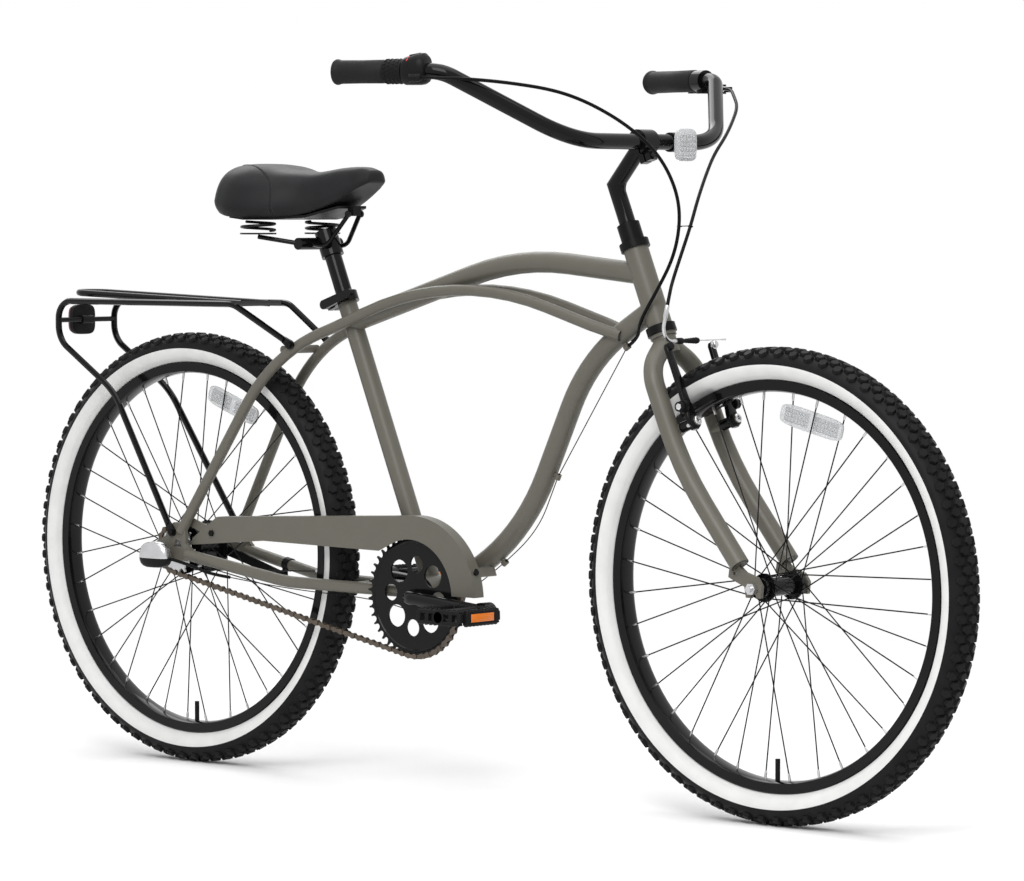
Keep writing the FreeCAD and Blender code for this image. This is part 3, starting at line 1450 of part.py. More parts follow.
def hex_nut(start, direction, radius, bore):
    """A hexagon nut on an axle, from a start point along a direction."""
    turn = FreeCAD.Rotation(Z_AXIS, direction)
    corners = []
    for step in range(6):
        angle = math.pi / 3 * step
        corners.append(start + turn.multVec(V(radius * math.cos(angle), radius * math.sin(angle), 0)))
    return extruded(corners, direction).cut(bar_solid(start - direction, start + direction * 2, bore))


def ring_solid(start, end, radius, bore):
    return bar_solid(start, end, radius).cut(bar_solid(start, end, bore))


# Axles with their nuts and cones

front_side = Y_AXIS * (S.front_hub_width / 2)
front_nut_face = Y_AXIS * (S.front_hub_width / 2 + S.front_dropout_thickness)
front_axle_half = front_nut_face + Y_AXIS * (S.nut_height + S.axle_overhang / 4)
front_axle = bar_solid(front - front_axle_half, front + front_axle_half, S.front_axle_radius)
front_cone_foot = Y_AXIS * (S.front_hub_end + S.seat_gap)
front_cone = ring_solid(front - front_cone_foot, front - front_side, S.cone_radius, S.front_axle_radius)
front_nut = hex_nut(front - front_nut_face, right * S.nut_height, S.nut_radius, S.front_axle_radius)
keep(feature("front_axle", Part.makeCompound([
    front_axle, front_cone, flip(front_cone), front_nut, flip(front_nut),
])))

dropout_face = S.rear_hub_width / 2
rear_nut_face = dropout_face + S.dropout_thickness
axle_end = rear_nut_face + S.nut_height
driver_end = S.chain_line + S.driver_overhang
arm_face = S.rear_hub_left_end + S.seat_gap
arm_back = arm_face + S.coaster_thickness
rear_axle_left = rear + Y_AXIS * (axle_end + S.axle_overhang / 4)
rear_axle = bar_solid(rear + right * axle_end, rear_axle_left, S.axle_radius)
right_cone_foot = rear + right * (driver_end + S.seat_gap)
right_cone = ring_solid(right_cone_foot, rear + right * dropout_face, S.cone_radius, S.axle_radius)
left_cone = ring_solid(rear + Y_AXIS * arm_back, rear + Y_AXIS * dropout_face, S.cone_radius, S.axle_radius)
rear_nut = hex_nut(rear + right * rear_nut_face, right * S.nut_height, S.nut_radius, S.axle_radius)
keep(feature("rear_axle", Part.makeCompound([rear_axle, right_cone, left_cone, rear_nut, flip(rear_nut)])))

# Coaster arm on the left end of the hub, strapped to the chainstay

arm_slope = slope(-S.coaster_angle)
coaster_eye = rear + Y_AXIS * arm_face
coaster_tip = coaster_eye + arm_slope * S.coaster_length
coaster_depth = Y_AXIS * S.coaster_thickness
coaster = capsule(coaster_eye, coaster_tip, S.coaster_width / 2, S.coaster_end_width / 2, coaster_depth)
coaster = coaster.fuse(bar_solid(coaster_eye, coaster_eye + coaster_depth, S.coaster_hub_radius))
coaster = coaster.cut(bar_solid(rear, coaster_eye + coaster_depth * 2, S.axle_radius))
stay_start = mirror_point(chainstay_points[0])
stay_along = (mirror_point(chainstay_points[1]) - stay_start).normalize()
strap_centre = stay_start + stay_along * ((coaster_tip.x - stay_start.x) / stay_along.x)
strap_half = stay_along * (S.strap_width / 2)
strap_radius = S.chainstay_radius + S.seat_gap
strap_outside = strap_radius + S.strap_wall
strap_band = ring_solid(strap_centre - strap_half, strap_centre + strap_half, strap_outside, strap_radius)
strap_face = Y_AXIS * (arm_back + S.seat_gap - coaster_tip.y)
tongue_top = V(coaster_tip.x, arm_back + S.seat_gap, strap_centre.z - S.chainstay_radius)
strap_tongue = capsule(
    coaster_tip + strap_face, tongue_top, S.coaster_end_width / 2 + S.running_clearance,
    S.coaster_end_width / 2, Y_AXIS * S.strap_wall,
)
strap_hollow = bar_solid(strap_centre - strap_half * 4, strap_centre + strap_half * 4, strap_radius)
strap = largest(strap_band.fuse(strap_tongue).cut(strap_hollow))
keep(feature("coaster_arm", Part.makeCompound([largest(coaster), strap])))

click_centre = rear + V(
    S.click_length / 2 - S.click_tail, -(axle_end + S.seat_gap + S.click_depth / 2), -S.click_lift,
)
click_box = rounded_slab(
    click_centre, X_AXIS, Z_AXIS, S.click_length, S.click_height, S.click_depth, S.click_corner,
)
keep(feature("gear_click_box", click_box))

# Drive: toothed chainring and sprocket, and a roller chain laid round them by pitch


def pitch_circle(teeth):
    return S.chain_pitch / 2 / math.sin(math.pi / teeth)


ring_circle = pitch_circle(S.chainring_teeth)
sprocket_circle = pitch_circle(S.sprocket_teeth)
ring_step = 2 * math.pi / S.chainring_teeth
sprocket_step = 2 * math.pi / S.sprocket_teeth
span = rear - crank_centre
chain_lean = math.asin((ring_circle - sprocket_circle) / span.Length)
span_angle = math.atan2(span.z, span.x)
upper_angle = span_angle - math.pi / 2 + chain_lean
lower_angle = upper_angle + math.pi - 2 * chain_lean
run_count = span.Length * math.cos(chain_lean) / S.chain_pitch
sprocket_count = (math.pi - 2 * chain_lean) / sprocket_step
ring_count = (math.pi + 2 * chain_lean) / ring_step
total_count = run_count * 2 + sprocket_count + ring_count
link_count = round(total_count / 2) * 2


def between(start, end, share):
    return start + (end - start) * share


def chain_place(count):
    """The chain's centre line, counted in pitches from where the chain leaves the top of the chainring."""
    upper_start = around(crank_centre, upper_angle, ring_circle)
    upper_end = around(rear, upper_angle, sprocket_circle)
    lower_start = around(rear, lower_angle, sprocket_circle)
    lower_end = around(crank_centre, lower_angle, ring_circle)
    if count < run_count:
        return between(upper_start, upper_end, count / run_count)
    count -= run_count
    if count < sprocket_count:
        return around(rear, upper_angle + count * sprocket_step, sprocket_circle)
    count -= sprocket_count
    if count < run_count:
        return between(lower_start, lower_end, count / run_count)
    return around(crank_centre, lower_angle + (count - run_count) * ring_step, ring_circle)


pin_places = [chain_place(number * total_count / link_count) for number in range(link_count)]
chain_side = right * S.chain_line
inner_plate_offset = S.chain_inner_half + S.chain_plate / 2
outer_plate_offset = inner_plate_offset + S.chain_plate + S.running_clearance
roller_half = Y_AXIS * (S.chain_inner_half - S.running_clearance)
chain_solids = []
for number, pin in enumerate(pin_places):
    following = pin_places[(number + 1) % link_count]
    along = (following - pin).normalize()
    offset = inner_plate_offset if number % 2 == 0 else outer_plate_offset
    for side in (-1, 1):
        middle = (pin + following) * 0.5 + chain_side + Y_AXIS * (side * offset)
        length = (following - pin).Length + S.chain_plate_end * 2
        chain_solids.append(oriented_box(middle, along, length, S.chain_plate_height, S.chain_plate))
    roller = pin + chain_side
    chain_solids.append(square_rod(roller - roller_half, roller + roller_half, S.roller_radius))
keep(feature("chain", Part.makeCompound(chain_solids)))
seat_corner_shares = [-0.875, -0.625, -0.375, -0.125]


def toothed(centre, teeth, circle, phase):
    """A sprocket's outline: four flats round each roller and a flat tip between rollers."""
    points = []
    seat = (S.roller_radius + S.seat_clearance) / math.cos(math.pi / 8)
    for number in range(int(teeth)):
        angle = phase + 2 * math.pi * number / teeth
        out = V(math.cos(angle), 0, math.sin(angle))
        along = V(-math.sin(angle), 0, math.cos(angle))
        pin = centre + out * circle
        for share in seat_corner_shares:
            turn = share * math.pi
            points.append(pin + along * (seat * math.cos(turn)) + out * (seat * math.sin(turn)))
        tip_angle = angle + math.pi / teeth
        tip = around(centre, tip_angle, circle + S.tooth_height)
        tip_along = V(-math.sin(tip_angle), 0, math.cos(tip_angle)) * (S.tooth_tip_width / 2)
        points += [tip - tip_along, tip + tip_along]
    return points


def phase_of(centre, first_count, counted):
    """The angle of the roller nearest the middle of a stretch of chain on a wheel."""
    number = round((first_count + counted / 2) * link_count / total_count) % link_count
    place = pin_places[number] - centre
    return math.atan2(place.z, place.x)


tooth_face = chain_side - Y_AXIS * (S.chainring_thickness / 2)
tooth_depth = Y_AXIS * S.chainring_thickness
ring_phase = phase_of(crank_centre, run_count * 2 + sprocket_count, ring_count)
ring_outline = toothed(crank_centre + tooth_face, S.chainring_teeth, ring_circle, ring_phase)
chainring = extruded(ring_outline, tooth_depth)
ring_holes = [bar_solid(crank_centre + tooth_face * 2, crank_centre, S.spindle_radius)]
for number in range(int(S.disc_hole_count)):
    hole_angle = math.radians(S.crank_angle) + 2 * math.pi * number / S.disc_hole_count
    hole = around(crank_centre, hole_angle, S.disc_hole_circle)
    hole_radius = S.disc_wide_hole_radius if number % 2 else S.disc_small_hole_radius
    ring_holes.append(bar_solid(hole + tooth_face * 2, hole, hole_radius))
keep(feature("chainring", largest(chainring.cut(ring_holes))))

sprocket_phase = phase_of(rear, run_count, sprocket_count)
sprocket_outline = toothed(rear + tooth_face, S.sprocket_teeth, sprocket_circle, sprocket_phase)
driver_start = rear + right * (S.rear_hub_right_end + S.seat_gap)
driver_finish = rear + right * driver_end
driver = bar_solid(driver_start, driver_finish, S.driver_radius)
driver_bore = bar_solid(rear, driver_finish + right, S.axle_radius + S.running_clearance)
sprocket = extruded(sprocket_outline, tooth_depth).fuse(driver).cut(driver_bore)
keep(feature("rear_sprocket", largest(sprocket)))

# One-piece crank with its cone nut and the pedal spindles

crank_arm = slope(S.crank_angle)
crank_corner = crank_centre + right * S.crank_turn_offset
crank_eye = crank_centre + crank_arm * S.crank_length + right * (S.crank_arm_offset + S.crank_lean / 2)


def half_turned(point):
    """The matching point of the other crank arm."""
    return crank_centre - (point - crank_centre)


def across_axle(shape):
    """A right-hand crank piece carried to the left arm."""
    left = flip(shape)
    left.translate(crank_arm * (-2 * S.crank_length))
    return left


left_eye = half_turned(crank_eye)
crank_path = bent_path(
    [crank_eye, crank_corner, half_turned(crank_corner), left_eye],
    [S.crank_turn_bend, S.crank_turn_bend],
)
eye_half = Y_AXIS * (S.crank_eye_width / 2)
spindle_half = Y_AXIS * (S.chain_line + S.chainring_thickness)
crank_body = swept(crank_path, S.crank_arm_radius).fuse([
    bar_solid(crank_eye - eye_half, crank_eye + eye_half, S.crank_eye_radius),
    bar_solid(left_eye - eye_half, left_eye + eye_half, S.crank_eye_radius),
    bar_solid(crank_centre - spindle_half, crank_centre + spindle_half, S.spindle_radius),
])
cone_face = crank_centre + Y_AXIS * (S.shell_length / 2 + S.crank_cup_lip + S.seat_gap)
crank_nut_face = cone_face + Y_AXIS * S.crank_nut_width
crank_nut = ring_solid(cone_face, crank_nut_face, S.crank_nut_radius, S.spindle_radius)
eye_face = crank_eye - eye_half
pedal_inside = eye_face + right * S.pedal_gap
pedal_outside = pedal_inside + right * S.pedal_width
spindle_end = pedal_outside - right * S.pedal_rail
pedal_spindle = bar_solid(eye_face, spindle_end, S.pedal_spindle_radius)
keep(feature("crank", Part.makeCompound([
    largest(crank_body), crank_nut, pedal_spindle, across_axle(pedal_spindle),
])))

pedal_middle = (pedal_inside + pedal_outside) * 0.5
pedal_frame = rounded_slab(
    pedal_middle, X_AXIS, Y_AXIS, S.pedal_length, S.pedal_width, S.pedal_height, S.pedal_corner,
)
pedal_opening = rounded_slab(
    pedal_middle, X_AXIS, Y_AXIS, S.pedal_length - S.pedal_rail * 2, S.pedal_width - S.pedal_rail * 2,
    S.pedal_height * 2, S.pedal_corner / 2,
)
pedal_barrel = bar_solid(pedal_inside, pedal_outside, S.pedal_barrel_radius)
pedal_bore_radius = S.pedal_spindle_radius + S.running_clearance
pedal_bore = bar_solid(eye_face, spindle_end + right * S.seat_gap, pedal_bore_radius)
lens_step = X_AXIS * (S.pedal_length / 2 - S.pedal_lens_depth / 2)
pedal_lenses = [
    rounded_slab(
        pedal_middle + lens_step * side, Y_AXIS, Z_AXIS, S.pedal_lens_width, S.pedal_lens_height,
        S.pedal_lens_depth, S.pedal_lens_depth / 2,
    )
    for side in (-1, 1)
]
pedal_body = largest(pedal_frame.cut(pedal_opening).fuse(pedal_barrel).cut(pedal_bore).cut(pedal_lenses))
pedal_shape = Part.makeCompound([pedal_body] + pedal_lenses)
keep(feature("pedal_right", pedal_shape))
keep(feature("pedal_left", across_axle(pedal_shape)))

# Chain guard: a pressed side with a flange turned in along the top and the front

guard_face = -(S.guard_offset + S.guard_plate)


def on_guard(reach, rise):
    """A point on the guard's outer face, from the rear axle."""
    return from_rear(reach, guard_face, rise)


guard_centre = crank_centre + V(S.guard_centre_ahead, guard_face, -S.guard_centre_drop)
eye_centre = crank_centre + Y_AXIS * guard_face
shoulder = on_guard(S.guard_shoulder_reach, S.guard_shoulder_rise)
half_turn_share = 0.5


def guard_rim(radius, inset):
    """Top line and front arc of the guard, drawn in by an inset, from the shoulder to the front end."""
    spoke = shoulder - guard_centre
    half_view = math.acos(S.guard_outer_radius / math.hypot(spoke.x, spoke.z))
    touch_angle = math.atan2(spoke.z, spoke.x) - half_view
    top_out = V(math.cos(touch_angle), 0, math.sin(touch_angle))
    end_angle = math.asin((S.guard_end_rise + S.guard_centre_drop) / S.guard_outer_radius)
    first = shoulder - top_out * inset
    touch = guard_centre + top_out * radius
    middle = around(guard_centre, (touch_angle + end_angle) * half_turn_share, radius)
    last = around(guard_centre, end_angle, radius)
    return first, touch, middle, last


def rim_edges(points):
    first, touch, middle, last = points
    return [Part.LineSegment(first, touch).toShape(), Part.Arc(touch, middle, last).toShape()]


outer_rim = guard_rim(S.guard_outer_radius, 0)
inner_rim = guard_rim(S.guard_outer_radius - S.guard_plate, S.guard_plate)
eye_start = around(eye_centre, math.asin(S.guard_end_rise / S.guard_inner_radius), S.guard_inner_radius)
eye_finish = around(eye_centre, math.radians(S.guard_eye_angle), S.guard_inner_radius)
eye_middle = around(eye_centre, math.radians(S.guard_eye_angle) * half_turn_share, S.guard_inner_radius)
guard_back = [
    eye_finish,
    on_guard(S.guard_notch_reach, S.guard_notch_rise),
    on_guard(S.guard_belly_reach, S.guard_belly_rise),
    on_guard(S.guard_tip_reach, S.guard_tail_rise),
    on_guard(S.guard_tip_reach, S.guard_tip_rise),
    shoulder,
]
guard_edges = rim_edges(outer_rim)
guard_edges.append(Part.LineSegment(outer_rim[3], eye_start).toShape())
guard_edges.append(Part.Arc(eye_start, eye_middle, eye_finish).toShape())
for start, end in zip(guard_back, guard_back[1:]):
    guard_edges.append(Part.LineSegment(start, end).toShape())
guard_side = Part.Face(Part.Wire(guard_edges)).extrude(Y_AXIS * S.guard_plate)
flange_edges = rim_edges(outer_rim) + [Part.LineSegment(outer_rim[3], inner_rim[3]).toShape()]
flange_edges += [Part.Arc(inner_rim[3], inner_rim[2], inner_rim[1]).toShape()]
flange_edges += [Part.LineSegment(inner_rim[1], inner_rim[0]).toShape()]
flange_edges += [Part.LineSegment(inner_rim[0], outer_rim[0]).toShape()]
guard_flange = Part.Face(Part.Wire(flange_edges)).extrude(Y_AXIS * S.guard_flange)
screw_spot = on_guard(S.guard_screw_reach, S.guard_screw_rise)
screw_way = Y_AXIS * S.guard_flange
screw_hole = bar_solid(screw_spot - screw_way, screw_spot + screw_way, S.screw_radius)
guard_shape = guard_side.fuse(guard_flange).cut(screw_hole)
keep(feature("chain_guard", largest(guard_shape)))

# Rack: two side rails with feet, an upper loop and cross rods

rod_sides = S.rack_rod_sides


def on_rack(reach, offset, height):
    return V(rear.x + reach, offset, height)


rack_eyelet = from_rear(S.rear_eyelet_reach, -(rear_nut_face + S.seat_gap), S.rear_eyelet_rise)
rail_top = S.rack_height
tab_depth = right * S.rack_tab_thickness
foot_share = (stay_points[3].x - rear.x - S.rack_foot_reach) / (stay_points[3].x - stay_points[4].x)
foot_on_stay = between(stay_points[3], stay_points[4], foot_share)
foot_spot = foot_on_stay + right * (S.stay_radius + S.seat_gap)
rail_front = on_rack(S.rack_front_reach, foot_spot.y, rail_top)
foot_tail = (rail_front - foot_spot).normalize()
rail_knee = on_rack(-S.rack_knee_back, rack_eyelet.y, S.tyre_radius + S.rack_knee_rise)
tab_rise = (rail_knee - rack_eyelet).normalize() * S.rack_tab_width
rail_points = [
    foot_spot + foot_tail * S.rack_tab_width + tab_depth * half_turn_share,
    on_rack(S.rack_front_reach, -S.rack_half_width, rail_top),
    on_rack(-S.rack_rear_reach, -S.rack_half_width, rail_top),
    on_rack(-S.rack_rear_reach, -S.rack_half_width, rail_top - S.rack_rear_drop),
    on_rack(-S.rack_knee_back, -S.rack_half_width, S.tyre_radius + S.rack_knee_rise),
    rack_eyelet + tab_rise + tab_depth * half_turn_share,
]
rail_path = bent_path(
    rail_points,
    [S.rack_front_bend, S.rack_rear_bend, S.rack_lower_bend, S.rack_knee_bend],
)
rail = swept(rail_path, S.rack_rod_radius, rod_sides)
lower_tab = capsule(
    rack_eyelet, rack_eyelet + tab_rise, S.rack_tab_width / 2, S.rack_rod_radius, tab_depth,
)
upper_tab = capsule(
    foot_spot, foot_spot + foot_tail * S.rack_tab_width, S.rack_tab_width / 2, S.rack_rod_radius, tab_depth,
)
tab_slot = bar_solid(rack_eyelet - tab_depth * 2, rack_eyelet + tab_depth * 3, S.screw_radius)
foot_slot = bar_solid(foot_spot - tab_depth * 2, foot_spot + tab_depth * 3, S.screw_radius)
rail = rail.fuse([lower_tab, upper_tab]).cut([tab_slot, foot_slot, dropout_shape, stay_solid])
rail_right = largest(rail)
loop_height = rail_top + S.rack_top_rise
loop_points = [
    on_rack(S.rack_top_front_reach, -S.rack_top_half_width, rail_top),
    on_rack(-S.rack_rear_reach, -S.rack_top_half_width, loop_height),
    on_rack(-S.rack_rear_reach, S.rack_top_half_width, loop_height),
    on_rack(S.rack_top_front_reach, S.rack_top_half_width, rail_top),
]
loop = swept(bent_path(loop_points, [S.rack_top_bend, S.rack_top_bend]), S.rack_rod_radius, rod_sides)
cross_rods = []
cross_lift = S.rack_cross_radius / 2
for reach, rise in (
    (S.rack_top_front_reach, 0),
    (S.rack_top_front_reach - (S.rack_top_front_reach + S.rack_rear_reach) * S.rack_cross_share, cross_lift),
):
    cross_end = on_rack(reach, -S.rack_half_width, rail_top + rise)
    cross_rods.append(square_rod(cross_end, mirror_point(cross_end), S.rack_cross_radius))
tail_end = on_rack(-S.rack_rear_reach, -S.rack_half_width, rail_top - S.rack_rear_drop / 2)
tail_rod = bar_solid(tail_end, mirror_point(tail_end), S.rack_cross_radius)
rack_shape = rail_right.fuse([flip(rail_right), loop, tail_rod] + cross_rods)
keep(feature("rack", largest(rack_shape)))

tail_middle = on_rack(-S.rack_rear_reach, 0, rail_top - S.rack_rear_drop / 2)
holder_face = tail_middle - X_AXIS * (S.rack_cross_radius + S.rear_holder_wall / 2)
holder_plate = rounded_slab(
    holder_face - X_AXIS * (S.rear_holder_wall / 2), Y_AXIS, Z_AXIS, S.rear_lens_width + S.rear_holder_wall,
    S.rear_lens_height + S.rear_holder_wall, S.rear_holder_wall, S.rear_lens_corner,
)
holder_side = Y_AXIS * (S.rear_lens_width / 4)
clip_radius = S.rack_cross_radius + S.rear_holder_wall
holder_clip = bar_solid(tail_middle - holder_side, tail_middle + holder_side, clip_radius)
holder = largest(holder_plate.fuse(holder_clip).cut(tail_rod))
rear_lens = rounded_slab(
    holder_face - X_AXIS * (S.rear_holder_wall + S.rear_lens_depth / 2), Y_AXIS, Z_AXIS, S.rear_lens_width,
    S.rear_lens_height, S.rear_lens_depth, S.rear_lens_corner,
)
keep(feature("rear_reflector", Part.makeCompound([holder, rear_lens])))

# Small brackets and screws of the frame

tab_face = -S.guard_offset + S.running_clearance
stay_low = stay_points[5]
stay_climb = (stay_points[4] - stay_points[5]).normalize()
tab_on_stay = stay_low + stay_climb * S.guard_tab_along
guard_tab = capsule(
    V(screw_spot.x, tab_face, screw_spot.z), V(tab_on_stay.x, tab_face, tab_on_stay.z),
    S.guard_tab_width / 2 + S.running_clearance, S.guard_tab_width / 2, Y_AXIS * S.guard_tab_plate,
)
guard_tab = largest(guard_tab.cut(stay_solid).cut(screw_hole).cut(dropout_shape))


def screw(head_face, direction, grip):
    """A round-headed screw: its head stands on a face and its shank goes through to a length."""
    shank_radius = S.screw_radius - S.running_clearance
    shank = faceted_bar(head_face, head_face + direction * grip, shank_radius, S.fixing_sides)
    head_top = head_face - direction * S.screw_head_height
    head = faceted_bar(head_top, head_face, S.screw_head_radius, S.fixing_sides)
    return shank.fuse(head)


guard_screw = screw(screw_spot, Y_AXIS, S.guard_plate + S.guard_tab_plate)
eyelet_screw = screw(rack_eyelet + tab_depth, Y_AXIS, S.rack_tab_thickness + S.dropout_thickness)
foot_screw = screw(foot_spot + tab_depth, Y_AXIS, S.rack_tab_thickness)
clip_angle = math.radians(S.guard_clip_angle)
clip_out = V(math.cos(clip_angle), 0, math.sin(clip_angle))
clip_centre = around(guard_centre, clip_angle, S.guard_outer_radius - S.guard_plate - S.guard_tab_plate / 2)
clip_inside = S.guard_offset - S.guard_plate
clip_middle = V(clip_centre.x, -clip_inside / 2 - S.guard_plate, clip_centre.z)
clip_middle -= clip_out * S.running_clearance
guard_clip = oriented_box(clip_middle, clip_out, S.guard_tab_plate, S.guard_tab_width, clip_inside)
down_end = V(clip_centre.x, -S.guard_tab_plate * 2, clip_centre.z) - clip_out * S.guard_tab_plate
clip_post = oriented_box(
    down_end - clip_out * (S.guard_tab_width / 2), clip_out, S.guard_tab_width, S.guard_tab_width,
    S.guard_tab_plate,
)
guard_clip = largest(guard_clip.fuse(clip_post).cut(down_solid).cut(guard_flange))
clip_spot = around(guard_centre, clip_angle, S.guard_outer_radius) + Y_AXIS * (S.guard_flange / 2)
clip_screw = bar_solid(clip_spot, clip_spot + clip_out * S.screw_head_height, S.screw_head_radius)
keep(feature("small_fixings", Part.makeCompound([
    guard_tab, guard_screw, guard_clip, clip_screw,
    eyelet_screw, flip(eyelet_screw), foot_screw, flip(foot_screw),
])))

# Seat post, collar with its cam lever, and the sprung saddle

collar_foot = on_seat_line(S.seat_tube_length - S.collar_overlap)
seat_out = V(-seat_up.z, 0, seat_up.x)
collar_top = collar_foot + seat_up * S.collar_height
collar_shape = bar_solid(collar_foot, collar_top, S.collar_radius)
ear_middle = collar_foot + seat_up * (S.collar_height / 2)
collar_ears = oriented_box(
    ear_middle + seat_out * (S.collar_ear_reach / 2), seat_out, S.collar_ear_reach, S.collar_height,
    S.collar_ear_width * 2,
)
collar_slit = oriented_box(
    ear_middle + seat_out * S.collar_ear_reach, seat_out, S.collar_ear_reach * 2 - S.collar_radius,
    S.collar_height * 2, S.collar_slit,
)
skewer_middle = ear_middle + seat_out * (S.collar_ear_reach - S.collar_ear_width / 2)
skewer_half = Y_AXIS * (S.collar_ear_width + S.cam_radius * 2 + S.seat_gap)
skewer = bar_solid(skewer_middle - skewer_half, skewer_middle + skewer_half, S.collar_skewer_radius)
post_way = bar_solid(collar_foot, collar_top, S.post_radius + S.running_clearance)
collar_shape = collar_shape.fuse(collar_ears).cut([seat_solid, post_way])
collar_shape = largest(collar_shape.cut(collar_slit).cut(skewer))
skewer_nut = bar_solid(
    skewer_middle + Y_AXIS * S.collar_ear_width, skewer_middle + skewer_half, S.cam_radius,
).fuse(skewer)
keep(feature("seat_collar", Part.makeCompound([collar_shape, skewer_nut])))

cam_centre = skewer_middle + right * (S.collar_ear_width + S.seat_gap + S.cam_radius)
cam_half = right * S.cam_radius
cam = bar_solid(cam_centre - cam_half, cam_centre + cam_half, S.cam_radius)
lever_face = cam_centre + right * (S.cam_radius - S.cam_lever_thickness)
lever_way = slope(S.stay_rear_angle)
cam_lever = capsule(
    lever_face, lever_face + lever_way * S.cam_lever_length, S.cam_radius + S.running_clearance,
    S.cam_lever_width / 2, right * S.cam_lever_thickness,
)
cam_bore_radius = S.collar_skewer_radius + S.running_clearance
cam_bore = bar_solid(skewer_middle - skewer_half * 2, skewer_middle, cam_bore_radius)
keep(feature("seat_clamp_lever", largest(cam.fuse(cam_lever).cut(cam_bore))))

post_foot = on_seat_line(S.seat_tube_length - S.post_inside)
post_top = on_seat_line(S.post_top_along)
clamp_foot = post_top - seat_up * S.saddle_clamp_height
rail_bolt = post_top - seat_up * (S.saddle_clamp_height / 2) - X_AXIS * S.saddle_bolt_back
bolt_side = Y_AXIS * S.saddle_bolt_half_length
saddle_bolt = bar_solid(rail_bolt - bolt_side, rail_bolt + bolt_side, S.saddle_bolt_radius)
post_shape = bar_solid(post_foot, post_top, S.post_radius)
post_collar = bar_solid(clamp_foot, post_top, S.saddle_clamp_radius)
keep(feature("seat_post", largest(post_shape.fuse([post_collar, saddle_bolt]))))

saddle_back = rear.x + S.saddle_back_reach
# Shares along the saddle: place, half width, floor and crown
saddle_shares = [
    (0.0, 0.42, 0.32, 0.76), (0.05, 0.80, 0.12, 0.92), (0.14, 0.95, -0.02, 0.98), (0.26, 1.0, -0.06, 1.0),
    (0.42, 0.86, -0.06, 0.84), (0.60, 0.55, -0.02, 0.82), (0.80, 0.36, 0.16, 0.92), (0.94, 0.29, 0.40, 0.91),
    (1.0, 0.14, 0.56, 0.80),
]
side_share = 0.90
shoulder_share = 0.72
crown_drop_share = 0.30


def saddle_section(place, half_width, floor, crown):
    """One cross-section of the saddle: flat floor, full sides and a crowned top."""
    x = saddle_back + place * S.saddle_length
    width = half_width * S.saddle_half_width
    low = S.saddle_floor + floor * S.saddle_rise
    high = S.saddle_floor + crown * S.saddle_rise
    drop = (high - low) * crown_drop_share
    foot = width * side_share
    brow = width * shoulder_share
    waist = (low + high - drop) * half_turn_share
    corners = [V(x, -foot, low), V(x, -brow, high - drop), V(x, brow, high - drop), V(x, foot, low)]
    return Part.Wire([
        Part.Arc(corners[0], V(x, -width, waist), corners[1]).toShape(),
        Part.Arc(corners[1], V(x, 0, high), corners[2]).toShape(),
        Part.Arc(corners[2], V(x, width, waist), corners[3]).toShape(),
        Part.LineSegment(corners[3], corners[0]).toShape(),
    ])


saddle_cover = Part.makeLoft([saddle_section(*shares) for shares in saddle_shares], True, True)
keep(feature("saddle_cover", saddle_cover))

base_share = 0.80


def base_section(place, half_width, floor):
    """One cross-section of the pan under the saddle."""
    x = saddle_back + place * S.saddle_length
    width = half_width * S.saddle_half_width * base_share
    high = S.saddle_floor + floor * S.saddle_rise - S.running_clearance
    low = high - S.saddle_base_thickness
    corners = [V(x, -width, low), V(x, width, low), V(x, width, high), V(x, -width, high)]
    return Part.makePolygon(corners + corners[:1])


base_rows = saddle_shares[2:7]
base_shape = Part.makeLoft([base_section(*shares[:3]) for shares in base_rows], True, True)
nose_pin = V(rear.x + S.rail_nose_reach, 0, S.saddle_floor + S.nose_rise - S.nose_pin_drop)
nose_half = Y_AXIS * (S.rail_nose_half_width - S.rail_radius - S.seat_gap)
nose_lug = oriented_box(
    nose_pin + Z_AXIS * (S.nose_pin_drop / 2 - S.nose_pin_radius), X_AXIS, S.nose_lug_length, S.nose_pin_drop,
    nose_half.Length * 2,
)
pin_side = Y_AXIS * S.rail_nose_half_width
nose_bore_radius = S.nose_pin_radius + S.running_clearance
nose_bore = bar_solid(nose_pin - pin_side * 2, nose_pin + pin_side * 2, nose_bore_radius)
base_shape = largest(base_shape.fuse(nose_lug).cut(nose_bore).cut(saddle_cover))
keep(feature("saddle_base", base_shape))

# Wire rails to the nose and arms to the spring seats

spring_foot = V(rear.x + S.spring_reach, -S.spring_half_spacing, S.spring_foot_height)
rail_start = rail_bolt + right * S.rail_half_width
rail_nose = nose_pin + right * S.rail_nose_half_width
rail_dip = V((rail_start.x + rail_nose.x) / 2, -S.rail_half_width, rail_start.z - S.rail_dip)
nose_rail = swept(bent_path([rail_start, rail_dip, rail_nose], [S.rail_bend]), S.rail_radius, rod_sides)
seat_disc_low = spring_foot - Z_AXIS * S.spring_plate
spring_seat = bar_solid(seat_disc_low, spring_foot, S.spring_radius + S.spring_wire_radius)
arm_start = rail_bolt + right * (S.saddle_bolt_half_length - S.rail_radius * 2)
arm_end = seat_disc_low - Z_AXIS * (S.rail_radius - S.running_clearance * 2)
spring_arm = bar_solid(arm_start, arm_end, S.rail_radius)
nose_bar = bar_solid(nose_pin - pin_side, nose_pin + pin_side, S.nose_pin_radius)
rail_tip_share = 1.5
rail_tip = bar_solid(rail_nose, rail_nose + right * S.rail_radius, S.rail_radius * rail_tip_share)
rails_right = nose_rail.fuse([spring_arm, spring_seat, rail_tip])
rails = rails_right.fuse([flip(rails_right), nose_bar]).cut(saddle_bolt)
keep(feature("saddle_rails", Part.makeCompound(rails.Solids)))

near_spring = S.saddle_length / 4
above_spring = [corner for corner in base_shape.Vertexes if abs(corner.X - spring_foot.x) < near_spring]
spring_top = min(corner.Z for corner in above_spring)


